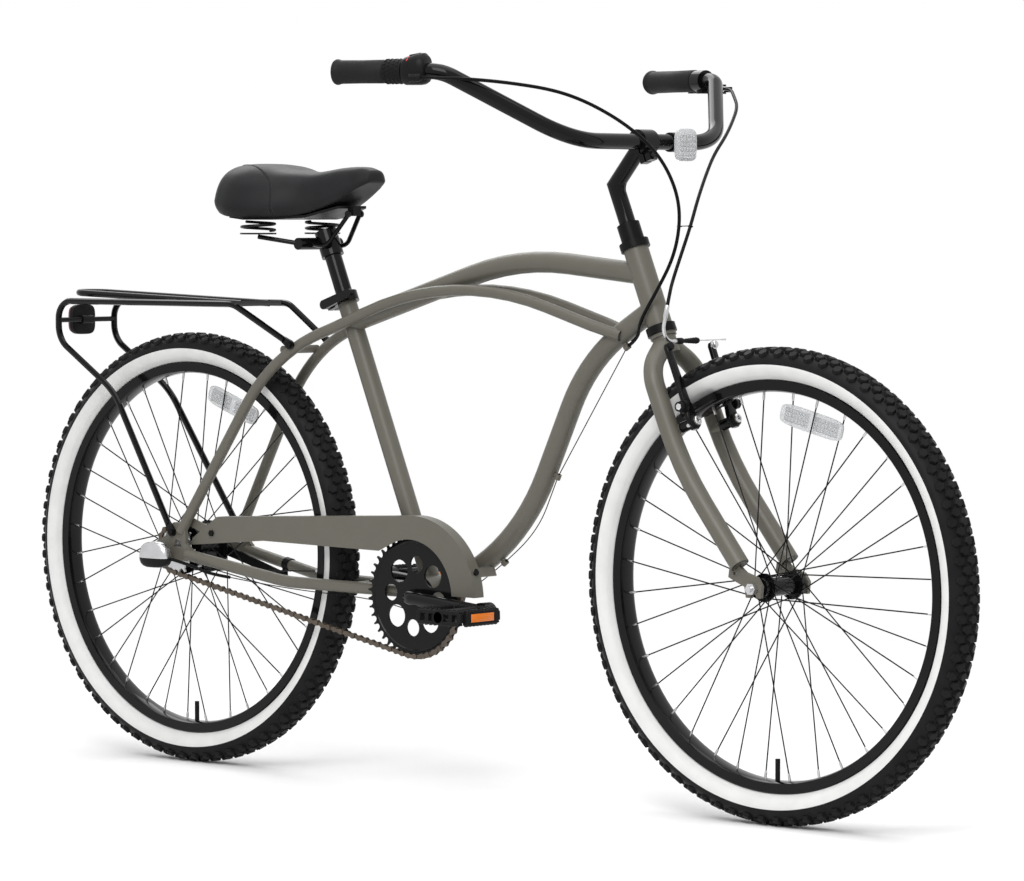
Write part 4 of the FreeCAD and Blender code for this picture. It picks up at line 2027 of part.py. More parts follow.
def helix_point(foot, height, share, turns):
    """A point of the spring's centre line and the direction in which the wire climbs there."""
    angle = 2 * math.pi * turns * share
    rise = S.spring_wire_radius + (height - S.spring_wire_radius * 2) * share
    point = foot + V(S.spring_radius * math.cos(angle), S.spring_radius * math.sin(angle), rise)
    climb = (height - S.spring_wire_radius * 2) / (2 * math.pi * turns)
    ahead = V(-S.spring_radius * math.sin(angle), S.spring_radius * math.cos(angle), climb).normalize()
    return point, ahead


def tangent_arc(start, along, end):
    """The arc that leaves a point along a direction and ends at another point."""
    chord = end - start
    half = along.getAngle(chord)
    side = chord.cross(along.cross(chord)).normalize()
    sagitta = chord.Length / 2 * math.tan(half / 2)
    return Part.Arc(start, (start + end) * 0.5 + side * sagitta, end).toShape()


def coil(foot, height, turns):
    """A coil spring's wire: each quarter turn is two arcs that share a tangent."""
    edges = []
    quarters = int(turns * 4)
    for number in range(quarters):
        start, along = helix_point(foot, height, number / quarters, turns)
        end, onward = helix_point(foot, height, (number + 1) / quarters, turns)
        chord = end - start
        both = along + onward
        spread = 2 * (1 - along.dot(onward))
        reach = (math.sqrt(chord.dot(both) ** 2 + spread * chord.dot(chord)) - chord.dot(both)) / spread
        joint = (start + end + (along - onward) * reach) * 0.5
        edges.append(tangent_arc(start, along, joint))
        edges.append(tangent_arc(joint, joint - start - along * reach, end))
    return Part.Wire(edges)


spring_height = spring_top - spring_foot.z - S.seat_gap * 2
spring_path = coil(spring_foot + Z_AXIS * S.seat_gap, spring_height, S.spring_turns)
spring = swept(spring_path, S.spring_wire_radius, S.cable_sides)
spring_pitch = (spring_top - spring_foot.z - S.spring_wire_radius * 2) / S.spring_turns
print("spring gap between turns", round(spring_pitch - S.spring_wire_radius * 2, 2))
keep(feature("saddle_springs", both_sides(spring)))

# Every piece is checked, moved so that the origin lies under the middle of the whole, and written out

doc.recompute()
for item in doc.Objects:
    if "Invalid" in item.State or "Error" in item.State:
        raise RuntimeError(f"{item.Label} failed: {item.State}")
low_side = min(item.Shape.BoundBox.YMin for item in nodes)
high_side = max(item.Shape.BoundBox.YMax for item in nodes)
side_shift = V(0, -(low_side + high_side) / 2, 0)
print("moved sideways by", round(side_shift.y, 4))
os.makedirs("parts", exist_ok=True)
for item in nodes:
    item.Placement = FreeCAD.Placement(side_shift, FreeCAD.Rotation()).multiply(item.Placement)
doc.recompute()
for item in nodes:
    if item.Shape.isNull() or not item.Shape.isValid() or not item.Shape.Solids:
        raise RuntimeError(f"{item.Label} has no valid solid")
    item.Shape.exportStep(f"parts/{item.Label}.step")
print(len(nodes), "pieces written")
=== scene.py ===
"""Dressed scene of a beach cruiser bicycle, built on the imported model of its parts.

Metres. +X points forward, +Y to the rider's left, +Z up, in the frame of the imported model.
"""

import logging
import math
from dataclasses import dataclass
from enum import Enum
from typing import Sequence

import bmesh
import bpy
from mathutils import Matrix, Vector


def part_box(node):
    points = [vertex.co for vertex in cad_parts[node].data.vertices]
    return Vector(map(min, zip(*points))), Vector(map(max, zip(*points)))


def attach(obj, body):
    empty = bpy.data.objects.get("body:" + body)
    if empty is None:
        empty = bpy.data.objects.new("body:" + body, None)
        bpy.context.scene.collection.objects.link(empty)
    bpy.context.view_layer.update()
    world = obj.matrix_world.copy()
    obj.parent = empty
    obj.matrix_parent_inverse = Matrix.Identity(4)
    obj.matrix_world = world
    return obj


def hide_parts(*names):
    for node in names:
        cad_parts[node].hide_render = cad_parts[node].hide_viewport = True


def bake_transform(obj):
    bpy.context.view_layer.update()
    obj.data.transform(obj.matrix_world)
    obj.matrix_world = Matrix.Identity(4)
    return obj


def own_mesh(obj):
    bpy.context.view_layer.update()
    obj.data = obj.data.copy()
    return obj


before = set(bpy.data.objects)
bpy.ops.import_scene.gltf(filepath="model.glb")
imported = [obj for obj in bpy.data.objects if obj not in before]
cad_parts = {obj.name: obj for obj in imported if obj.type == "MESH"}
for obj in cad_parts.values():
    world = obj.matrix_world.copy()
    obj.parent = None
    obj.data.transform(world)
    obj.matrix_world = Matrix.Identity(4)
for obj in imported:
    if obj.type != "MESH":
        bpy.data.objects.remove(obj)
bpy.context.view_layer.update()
log = logging.getLogger("cruiser")

Line = list[Vector]
Color = tuple[float, float, float]
X_AXIS = Vector((1, 0, 0))
Y_AXIS = Vector((0, 1, 0))
Z_AXIS = Vector((0, 0, 1))


def set_inputs(node: bpy.types.Node, values: dict[str, object]) -> None:
    """Set a node's inputs by name."""
    for label, given in values.items():
        node.inputs[label].default_value = given


def link_rows(tree: bpy.types.NodeTree, rows: Sequence[tuple]) -> None:
    """Link sockets; a row has a node and its output, then a node and its input."""
    for source, output, target, socket in rows:
        tree.links.new(source.outputs[output], target.inputs[socket])


class Grain(Enum):
    """Kinds of surface relief."""

    FINE = "fine"
    HIDE = "hide"
    PRISM = "prism"
    BRUSHED = "brushed"


@dataclass(frozen=True)
class Finish:
    """One surface finish with its colour, gloss and relief."""

    name: str
    color: Color
    roughness: float
    metallic: float = 0.0
    coat: float = 0.0
    variation: float = 0.08
    grain: Grain = Grain.FINE
    grain_size: float = 900.0
    relief: float = 0.05
    transmission: float = 0.0
    specular: float = 0.3
    slot: str = "black_metal"

    COAT_ROUGHNESS = 0.12
    CLOUD = {"Scale": 38.0, "Detail": 5.0}
    TINT_SPAN = (0.3, 0.7)
    GLOSS_SPAN = 0.06
    LEAST_ROUGHNESS = 0.02
    RELIEF_DEPTH = 0.0004
    SPECKLE_DETAIL = 3.0
    BRUSH_STRETCH = (1.0, 0.05, 1.0)

    def material(self) -> bpy.types.Material:
        """Build the finish once and hand it out again afterwards.

        Returns:
            The finish as a material.
        """
        known = bpy.data.materials.get(self.name)
        if known:
            return known
        material = bpy.data.materials.new(self.name)
        material.use_nodes = True
        tree = material.node_tree
        shader = tree.nodes["Principled BSDF"]
        set_inputs(shader, {
            "Metallic": self.metallic, "Coat Weight": self.coat, "Coat Roughness": self.COAT_ROUGHNESS,
            "Transmission Weight": self.transmission, "Specular IOR Level": self.specular,
        })
        place, cloud, tint, gloss, bump = (tree.nodes.new(f"ShaderNode{kind}") for kind in (
            "TexCoord", "TexNoise", "ValToRGB", "MapRange", "Bump"))
        set_inputs(cloud, self.CLOUD)
        shares = (1 - self.variation, 1 + self.variation)
        for element, position, share in zip(tint.color_ramp.elements, self.TINT_SPAN, shares):
            element.position = position
            element.color = (*[min(1, part * share) for part in self.color], 1)
        set_inputs(gloss, {
            "To Min": max(self.LEAST_ROUGHNESS, self.roughness - self.GLOSS_SPAN),
            "To Max": min(1.0, self.roughness + self.GLOSS_SPAN),
        })
        set_inputs(bump, {"Strength": self.relief, "Distance": self.RELIEF_DEPTH})
        height = self.relief_height(tree, place)
        tree.links.new(height, bump.inputs["Height"])
        tree.links.new(height if self.grain is Grain.PRISM else cloud.outputs["Fac"], tint.inputs["Fac"])
        link_rows(tree, [
            (place, "Object", cloud, "Vector"), (tint, "Color", shader, "Base Color"),
            (cloud, "Fac", gloss, "Value"), (gloss, "Result", shader, "Roughness"),
            (bump, "Normal", shader, "Normal"),
        ])
        return material

    def relief_height(self, tree: bpy.types.NodeTree, place: bpy.types.Node) -> bpy.types.NodeSocket:
        """Add the height pattern of the relief.

        Args:
            tree: The material's node tree.
            place: The texture coordinate node.

        Returns:
            The socket that carries the height.
        """
        source = place.outputs["Object"]
        if self.grain in (Grain.HIDE, Grain.PRISM):
            cells = tree.nodes.new("ShaderNodeTexVoronoi")
            uneven = 1.0 if self.grain is Grain.HIDE else 0.0
            set_inputs(cells, {"Scale": self.grain_size, "Randomness": uneven})
            tree.links.new(source, cells.inputs["Vector"])
            return cells.outputs["Distance"]
        speckle = tree.nodes.new("ShaderNodeTexNoise")
        set_inputs(speckle, {"Scale": self.grain_size, "Detail": self.SPECKLE_DETAIL})
        if self.grain is Grain.BRUSHED:
            stretch = tree.nodes.new("ShaderNodeMapping")
            set_inputs(stretch, {"Scale": self.BRUSH_STRETCH})
            tree.links.new(source, stretch.inputs["Vector"])
            source = stretch.outputs["Vector"]
        tree.links.new(source, speckle.inputs["Vector"])
        return speckle.outputs["Fac"]


PAINT = Finish("olive_grey_paint", (0.112, 0.106, 0.086), 0.4, coat=0.05, variation=0.03, relief=0.03,
               slot="frame_paint")
GLOSS_BLACK = Finish("gloss_black_paint", (0.004, 0.004, 0.0043), 0.12, variation=0.05, relief=0.01,
                     specular=0.16)
SATIN_BLACK = Finish("satin_black_metal", (0.007, 0.007, 0.0074), 0.32, relief=0.03, specular=0.07)
PLASTIC = Finish("moulded_plastic", (0.010, 0.010, 0.0105), 0.36, relief=0.05, grain_size=1500,
                 specular=0.08,
                 slot="black_plastic")
RUBBER = Finish("soft_rubber", (0.010, 0.010, 0.0105), 0.5, relief=0.06, grain_size=700, variation=0.15,
                specular=0.06, slot="black_rubber")
TYRE = Finish("tread_rubber", (0.010, 0.010, 0.0108), 0.45, relief=0.08, grain_size=600, variation=0.2,
              specular=0.08, slot="tyre_rubber")
WHITE_RUBBER = Finish("white_rubber", (0.70, 0.70, 0.69), 0.55, relief=0.06, grain_size=500, variation=0.04,
                      slot="tyre_rubber")
VINYL = Finish("black_vinyl", (0.019, 0.0193, 0.0202), 0.36, grain=Grain.HIDE, grain_size=620, relief=0.12,
               specular=0.05, slot="saddle_skin")
WRAP = Finish("grip_wrap", (0.017, 0.017, 0.0177), 0.46, grain=Grain.HIDE, grain_size=520, relief=0.3,
              specular=0.06, slot="black_rubber")
THREAD = Finish("black_thread", (0.03, 0.03, 0.032), 0.75, grain_size=2500, relief=0.3, slot="saddle_skin")
STEEL = Finish("plain_steel", (0.55, 0.55, 0.56), 0.28, metallic=1.0, grain=Grain.BRUSHED, grain_size=1400,
               slot="bare_steel")
BRONZE = Finish("brown_chain_steel", (0.105, 0.087, 0.07), 0.3, metallic=0.85, variation=0.18,
                slot="bronze_steel")
CLEAR = Finish("clear_prisms", (0.74, 0.75, 0.76), 0.12, grain=Grain.PRISM, grain_size=420, relief=0.05,
               variation=0.03, transmission=0.45, specular=0.5, slot="clear_lens")
AMBER = Finish("amber_prisms", (0.80, 0.20, 0.015), 0.16, grain=Grain.PRISM, grain_size=420, relief=0.5,
               variation=0.25, specular=0.5, slot="clear_lens")
DARK_RED = Finish("dark_red_prisms", (0.10, 0.008, 0.01), 0.14, grain=Grain.PRISM, grain_size=380,
                  relief=0.5,
                  variation=0.3, specular=0.5, slot="clear_lens")
CABLE = Finish("cable_jacket", (0.005, 0.005, 0.0053), 0.25, relief=0.02, specular=0.07, slot="cable_skin")
RED_MARK = Finish("red_mark", (0.45, 0.02, 0.02), 0.4, slot="black_plastic")


def mesh_piece(name: str, points: Sequence[Vector], faces: Sequence[Sequence[int]], finish: Finish,
               edge_angle: float = 40.0) -> bpy.types.Object:
    """Make one piece from points and faces, smooth but for its sharp edges.

    Args:
        name: The piece's name.
        points: Corner points in the model's frame.
        faces: Corner numbers of each face.
        finish: The surface finish.
        edge_angle: Edges that turn by more than this stay sharp, in degrees.

    Returns:
        The new object.
    """
    mesh = bpy.data.meshes.new(name)
    mesh.from_pydata([tuple(point) for point in points], [], faces)
    shape = bmesh.new()
    shape.from_mesh(mesh)
    bmesh.ops.recalc_face_normals(shape, faces=shape.faces)
    shape.to_mesh(mesh)
    shape.free()
    mesh.polygons.foreach_set("use_smooth", [True] * len(mesh.polygons))
    mesh.set_sharp_from_angle(angle=math.radians(edge_angle))
    mesh.materials.append(finish.material())
    piece = bpy.data.objects.new(name, mesh)
    bpy.context.scene.collection.objects.link(piece)
    return piece


def joined(name: str, pieces: Sequence[bpy.types.Object]) -> bpy.types.Object:
    """Join pieces into one object, with all their finishes.

    Args:
        name: The joined piece's name.
        pieces: The objects to join; the first one stays.

    Returns:
        The joined object.
    """
    bpy.ops.object.select_all(action="DESELECT")
    for piece in pieces:
        piece.select_set(True)
    bpy.context.view_layer.objects.active = pieces[0]
    bpy.ops.object.join()
    pieces[0].name = name
    pieces[0].data.name = name
    return pieces[0]


def tube_mesh(line: Line, radii: Sequence[float], sides: int = 28) -> tuple[Line, list[tuple[int, ...]]]:
    """Points and faces of a round tube along a line, closed at both ends.

    Args:
        line: Centre line points.
        radii: The tube's radius at each point.
        sides: Points round the tube.

    Returns:
        The points and the faces.
    """
    points: Line = []
    faces: list[tuple[int, ...]] = []
    along = (line[1] - line[0]).normalized()
    side = along.orthogonal().normalized()
    for number, centre in enumerate(line):
        ahead = line[min(number + 1, len(line) - 1)] - line[max(number - 1, 0)]
        turn = along.rotation_difference(ahead.normalized())
        side = turn @ side
        along = ahead.normalized()
        across = along.cross(side)
        for step in range(sides):
            angle = 2 * math.pi * step / sides
            points.append(centre + (side * math.cos(angle) + across * math.sin(angle)) * radii[number])
    for number in range(len(line) - 1):
        for step in range(sides):
            low = number * sides + step
            near = number * sides + (step + 1) % sides
            faces.append((low, near, near + sides, low + sides))
    faces.append(tuple(range(sides - 1, -1, -1)))
    last = (len(line) - 1) * sides
    faces.append(tuple(range(last, last + sides)))
    return points, faces


def tube(name: str, line: Line, radius: float, finish: Finish, sides: int = 28) -> bpy.types.Object:
    """A round tube of one radius along a line."""
    points, faces = tube_mesh(line, [radius] * len(line), sides)
    return mesh_piece(name, points, faces, finish)


def bent_line(points: Line, bends: Sequence[float], step: float = 0.07) -> Line:
    """A bent tube's centre line: straight runs joined by tangent arcs.

    Args:
        points: Corner points.
        bends: Bend radius at each inner point.
        step: Turn between points of an arc, in radians.

    Returns:
        Points along the line.
    """
    line = [points[0]]
    for before, corner, after, radius in zip(points, points[1:], points[2:], bends):
        into = (corner - before).normalized()
        out = (after - corner).normalized()
        turn = into.angle(out)
        reach = radius * math.tan(turn / 2)
        start = corner - into * reach
        toward = (out - into * out.dot(into)).normalized()
        centre = start + toward * radius
        count = max(2, math.ceil(turn / step))
        for number in range(count + 1):
            angle = turn * number / count
            line.append(centre - toward * (radius * math.cos(angle)) + into * (radius * math.sin(angle)))
    line.append(points[-1])
    return line


def lathe(name: str, profile: Sequence[tuple[float, float]], centre: Vector, axis: Vector, finish: Finish,
          segments: int = 64, closed: bool = True) -> bpy.types.Object:
    """Turn a profile of (radius, height) pairs about an axis.

    Args:
        name: The piece's name.
        profile: Radius and height of each corner.
        centre: Where height is zero.
        axis: Direction of the turning axis.
        finish: The surface finish.
        segments: Steps round the axis.
        closed: Whether the profile closes on itself, as a ring's does.

    Returns:
        The turned piece.
    """
    up = axis.normalized()
    side = up.orthogonal().normalized()
    across = up.cross(side)
    points: Line = []
    faces: list[tuple[int, ...]] = []
    count = len(profile)
    for step in range(segments):
        angle = 2 * math.pi * step / segments
        out = side * math.cos(angle) + across * math.sin(angle)
        points += [centre + out * radius + up * height for radius, height in profile]
    for step in range(segments):
        here = step * count
        there = (step + 1) % segments * count
        for number in range(count if closed else count - 1):
            following = (number + 1) % count
            faces.append((here + number, here + following, there + following, there + number))
    return mesh_piece(name, points, faces, finish)


def ring(centre: Vector, side: Vector, up: Vector, half_width: float, half_height: float,
         square: float = 1.0, count: int = 24) -> Line:
    """A closed ring of points between an ellipse and a box.

    Args:
        centre: The ring's middle.
        side: Direction of its width.
        up: Direction of its height.
        half_width: Reach along side.
        half_height: Reach along up.
        square: One for an ellipse, towards zero for a box.
        count: Points on the ring.

    Returns:
        The points.
    """
    points = []
    for step in range(count):
        angle = 2 * math.pi * (step + 0.5) / count
        across, over = math.cos(angle), math.sin(angle)
        points.append(centre + side * (half_width * math.copysign(abs(across) ** square, across))
                      + up * (half_height * math.copysign(abs(over) ** square, over)))
    return points


def loft(name: str, rings: Sequence[Line], finish: Finish, edge_angle: float = 40.0) -> bpy.types.Object:
    """A closed skin through rings of equally many points.

    Args:
        name: The piece's name.
        rings: The rings in order.
        finish: The surface finish.
        edge_angle: Edges that turn by more than this stay sharp, in degrees.

    Returns:
        The skinned piece.
    """
    count = len(rings[0])
    faces: list[tuple[int, ...]] = []
    for number in range(len(rings) - 1):
        for step in range(count):
            here, following = number * count + step, number * count + (step + 1) % count
            faces.append((here, following, following + count, here + count))
    faces.append(tuple(range(count)))
    last = (len(rings) - 1) * count
    faces.append(tuple(range(last + count - 1, last - 1, -1)))
    return mesh_piece(name, [point for points in rings for point in points], faces, finish, edge_angle)


class Patterns:
    """Geometry Nodes trees for what repeats, and their results as plain meshes."""

    WIRE_SIDES = 8

    def __init__(self) -> None:
        """Build the two trees."""
        self.copies = self.copies_tree()
        self.wires = self.wires_tree()

    @staticmethod
    def new_tree(name: str, inputs: Sequence[tuple[str, str]]) -> tuple[bpy.types.NodeTree, dict[str, str]]:
        """Start a tree with named inputs.

        Args:
            name: The tree's name.
            inputs: Name and socket type of each input after the geometry.

        Returns:
            The tree and the identifier of each input.
        """
        tree = bpy.data.node_groups.new(name, "GeometryNodeTree")
        tree.interface.new_socket("Geometry", in_out="INPUT", socket_type="NodeSocketGeometry")
        known = {}
        for label, kind in inputs:
            known[label] = tree.interface.new_socket(label, in_out="INPUT", socket_type=kind).identifier
        tree.interface.new_socket("Geometry", in_out="OUTPUT", socket_type="NodeSocketGeometry")
        return tree, known

    def copies_tree(self) -> tuple[bpy.types.NodeTree, dict[str, str]]:
        """A tree that puts a turned copy of one shape on every point."""
        tree, known = self.new_tree(
            "copies_on_points", [("Shape", "NodeSocketObject"), ("Finish", "NodeSocketMaterial")])
        start, end, shape, turn, rotation, place, real, dress = (tree.nodes.new(kind) for kind in (
            "NodeGroupInput", "NodeGroupOutput", "GeometryNodeObjectInfo", "GeometryNodeInputNamedAttribute",
            "FunctionNodeEulerToRotation", "GeometryNodeInstanceOnPoints", "GeometryNodeRealizeInstances",
            "GeometryNodeSetMaterial"))
        turn.data_type = "FLOAT_VECTOR"
        set_inputs(turn, {"Name": "turn"})
        link_rows(tree, [
            (start, "Geometry", place, "Points"), (start, "Shape", shape, "Object"),
            (shape, "Geometry", place, "Instance"), (turn, "Attribute", rotation, "Euler"),
            (rotation, "Rotation", place, "Rotation"), (place, "Instances", real, "Geometry"),
            (real, "Geometry", dress, "Geometry"), (start, "Finish", dress, "Material"),
            (dress, "Geometry", end, "Geometry"),
        ])
        return tree, known

    def wires_tree(self) -> tuple[bpy.types.NodeTree, dict[str, str]]:
        """A tree that gives every drawn line a round section."""
        tree, known = self.new_tree(
            "wires_on_lines", [("Radius", "NodeSocketFloat"), ("Finish", "NodeSocketMaterial")])
        start, end, curve, circle, skin, smooth, real, dress = (tree.nodes.new(kind) for kind in (
            "NodeGroupInput", "NodeGroupOutput", "GeometryNodeMeshToCurve", "GeometryNodeCurvePrimitiveCircle",
            "GeometryNodeCurveToMesh", "GeometryNodeSetShadeSmooth", "GeometryNodeRealizeInstances",
            "GeometryNodeSetMaterial"))
        set_inputs(circle, {"Resolution": self.WIRE_SIDES})
        set_inputs(skin, {"Fill Caps": True})
        link_rows(tree, [
            (start, "Geometry", curve, "Mesh"), (start, "Radius", circle, "Radius"),
            (curve, "Curve", skin, "Curve"), (circle, "Curve", skin, "Profile Curve"),
            (skin, "Mesh", smooth, "Geometry"), (smooth, "Geometry", real, "Geometry"),
            (real, "Geometry", dress, "Geometry"), (start, "Finish", dress, "Material"),
            (dress, "Geometry", end, "Geometry"),
        ])
        return tree, known

    @staticmethod
    def baked(name: str, mesh: bpy.types.Mesh, tree: bpy.types.NodeTree,
              values: dict[str, object]) -> bpy.types.Object:
        """Run a tree on a mesh and keep the result as a plain mesh.

        Args:
            name: The piece's name.
            mesh: The points or lines to start from.
            tree: The tree to run.
            values: Values by input identifier.

        Returns:
            The finished piece.
        """
        maker = bpy.data.objects.new(f"{name}_maker", mesh)
        bpy.context.scene.collection.objects.link(maker)
        modifier = maker.modifiers.new("pattern", "NODES")
        modifier.node_group = tree
        for identifier, given in values.items():
            modifier[identifier] = given
        graph = bpy.context.evaluated_depsgraph_get()
        result = bpy.data.meshes.new_from_object(maker.evaluated_get(graph), depsgraph=graph)
        result.name = name
        piece = bpy.data.objects.new(name, result)
        bpy.context.scene.collection.objects.link(piece)
        maker.modifiers.remove(modifier)
        bpy.data.objects.remove(maker)
        return piece

    def place_copies(self, name: str, shape: bpy.types.Object, places: Sequence[Matrix],
                     finish: Finish) -> bpy.types.Object:
        """Copy a shape to many places, as one piece; the shape itself is removed.

        Args:
            name: The piece's name.
            shape: The shape at the origin.
            places: Position and turn of each copy.
            finish: The finish of the copies.

        Returns:
            The finished piece.
        """
        mesh = bpy.data.meshes.new(f"{name}_points")
        mesh.from_pydata([tuple(place.translation) for place in places], [], [])
        turns = mesh.attributes.new("turn", "FLOAT_VECTOR", "POINT")
        for number, place in enumerate(places):
            turns.data[number].vector = place.to_euler("XYZ")
        tree, known = self.copies
        values = {known["Shape"]: shape, known["Finish"]: finish.material()}
        piece = self.baked(name, mesh, tree, values)
        bpy.data.objects.remove(shape)
        return piece

    def draw_wires(self, name: str, lines: Sequence[Line], radius: float, finish: Finish) -> bpy.types.Object:
        """Draw round wires along many lines, as one piece.

        Args:
            name: The piece's name.
            lines: The centre line of each wire.
            radius: Radius of the wires.
            finish: The finish of the wires.

        Returns:
            The finished piece.
        """
        points: list[tuple[float, ...]] = []
        edges: list[tuple[int, int]] = []
        for line in lines:
            first = len(points)
            points += [tuple(point) for point in line]
            edges += [(first + number, first + number + 1) for number in range(len(line) - 1)]
        mesh = bpy.data.meshes.new(f"{name}_lines")
        mesh.from_pydata(points, edges, [])
        tree, known = self.wires
        return self.baked(name, mesh, tree, {known["Radius"]: radius, known["Finish"]: finish.material()})


def facing(place: Vector, out: Vector, along: Vector) -> Matrix:
    """A place whose Z points out and whose X points along.

    Args:
        place: The position.
        out: Direction of the place's own Z.
        along: Direction near the place's own X.

    Returns:
        The place as a matrix.
    """
    up = out.normalized()
    across = up.cross(along).normalized()
    ahead = across.cross(up)
    turn = Matrix((ahead, across, up)).transposed().to_4x4()
    return Matrix.Translation(place) @ turn


def block_shape(name: str, size: tuple[float, float, float], taper: float, finish: Finish,
                bevel: float) -> bpy.types.Object:
    """A bevelled block on its own base, narrower at the top.

    Args:
        name: The shape's name.
        size: Length, width and height.
        taper: Share of the base's length and width left at the top.
        finish: The surface finish.
        bevel: Width of the bevelled edges.

    Returns:
        The block at the origin.
    """
    length, width, height = (part / 2 for part in size)
    corners = [(-1, -1), (1, -1), (1, 1), (-1, 1)]
    points = [Vector((x * length, y * width, 0)) for x, y in corners]
    points += [Vector((x * length * taper, y * width * taper, height * 2)) for x, y in corners]
    faces = [(3, 2, 1, 0), (4, 5, 6, 7)]
    faces += [(step, (step + 1) % 4, (step + 1) % 4 + 4, step + 4) for step in range(4)]
    block = mesh_piece(name, points, faces, finish)
    shape = bmesh.new()
    shape.from_mesh(block.data)
    bmesh.ops.bevel(shape, geom=list(shape.edges), offset=bevel, segments=1, affect="EDGES")
    shape.to_mesh(block.data)
    shape.free()
    return block


@dataclass(frozen=True)
class Layout:
    """Main lines of the bicycle, from which every class takes its places."""

    wheelbase: float = 1.1355
    tyre_radius: float = 0.332
    head_angle: float = 67.6
    fork_rake: float = 0.0597
    fork_length: float = 0.398
    crank_reach: float = 0.497
    crank_height: float = 0.286
    seat_angle: float = 67.5
    seat_tube_length: float = 0.467
    head_low: float = 0.410
    head_high: float = 0.527

    @property
    def middle(self) -> float:
        """The wheel plane's place across the bicycle."""
        low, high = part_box("front_hub_shell")
        return (low[1] + high[1]) / 2

    @property
    def rear(self) -> Vector:
        """Middle of the rear axle."""
        return Vector((-self.wheelbase / 2, self.middle, self.tyre_radius))

    @property
    def front(self) -> Vector:
        """Middle of the front axle."""
        return Vector((self.wheelbase / 2, self.middle, self.tyre_radius))

    @property
    def crank(self) -> Vector:
        """Middle of the bottom bracket."""
        return Vector((self.rear.x + self.crank_reach, self.middle, self.crank_height))

    @property
    def steer_up(self) -> Vector:
        """Direction of the steering line, upwards."""
        angle = math.radians(self.head_angle)
        return Vector((-math.cos(angle), 0, math.sin(angle)))

    @property
    def steer_ahead(self) -> Vector:
        """Direction square to the steering line, forwards."""
        angle = math.radians(self.head_angle)
        return Vector((math.sin(angle), 0, math.cos(angle)))

    @property
    def seat_up(self) -> Vector:
        """Direction of the seat tube, upwards."""
        angle = math.radians(self.seat_angle)
        return Vector((-math.cos(angle), 0, math.sin(angle)))

    def on_steering(self, along: float, ahead: float = 0.0, offset: float = 0.0) -> Vector:
        """A point along the steering line, ahead of it and to the left of it."""
        foot = self.front - self.steer_ahead * self.fork_rake
        return foot + self.steer_up * along + self.steer_ahead * ahead + Y_AXIS * offset

    def on_seat_line(self, along: float) -> Vector:
        """A point along the seat tube's line."""
        return self.crank + self.seat_up * along

    def from_rear(self, reach: float, offset: float, rise: float) -> Vector:
        """A point ahead of the rear axle, left of the wheel plane and above the axle."""
        return self.rear + Vector((reach, offset, rise))

    def plane_point(self, x: float, offset: float, z: float) -> Vector:
        """A point of the model's frame, given its place left of the wheel plane."""
        return Vector((x, self.middle + offset, z))

    def left_of(self, point: Vector) -> Vector:
        """The mirror of a point in the wheel plane."""
        return Vector((point.x, 2 * self.middle - point.y, point.z))


def slope(angle: float) -> Vector:
    """A direction in the wheel plane that climbs forward at an angle in degrees."""
    return Vector((math.cos(math.radians(angle)), 0, math.sin(math.radians(angle))))


def crossing(point_a: Vector, way_a: Vector, point_b: Vector, way_b: Vector) -> Vector:
    """Where two lines of the wheel plane cross."""
    gap = point_b - point_a
    turn = way_a.x * way_b.z - way_a.z * way_b.x
    return point_a + way_a * ((gap.x * way_b.z - gap.z * way_b.x) / turn)


def dress(node: str, finish: Finish) -> None:
    """Give a carried-over node its finish."""
    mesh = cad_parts[node].data
    mesh.materials.clear()
    mesh.materials.append(finish.material())


def report(piece: bpy.types.Object, body: str, *nodes: str) -> bpy.types.Object:
    """Let a piece ride on a body, in place of the nodes that it stands for.

    Args:
        piece: The finished piece.
        body: The body that carries it.
        nodes: Nodes that the piece replaces.

    Returns:
        The piece.
    """
    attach(piece, body)
    if nodes:
        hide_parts(*nodes)
    log.info("%s rides on %s, %d faces", piece.name, body, len(getattr(piece.data, "polygons", [])))
    return piece


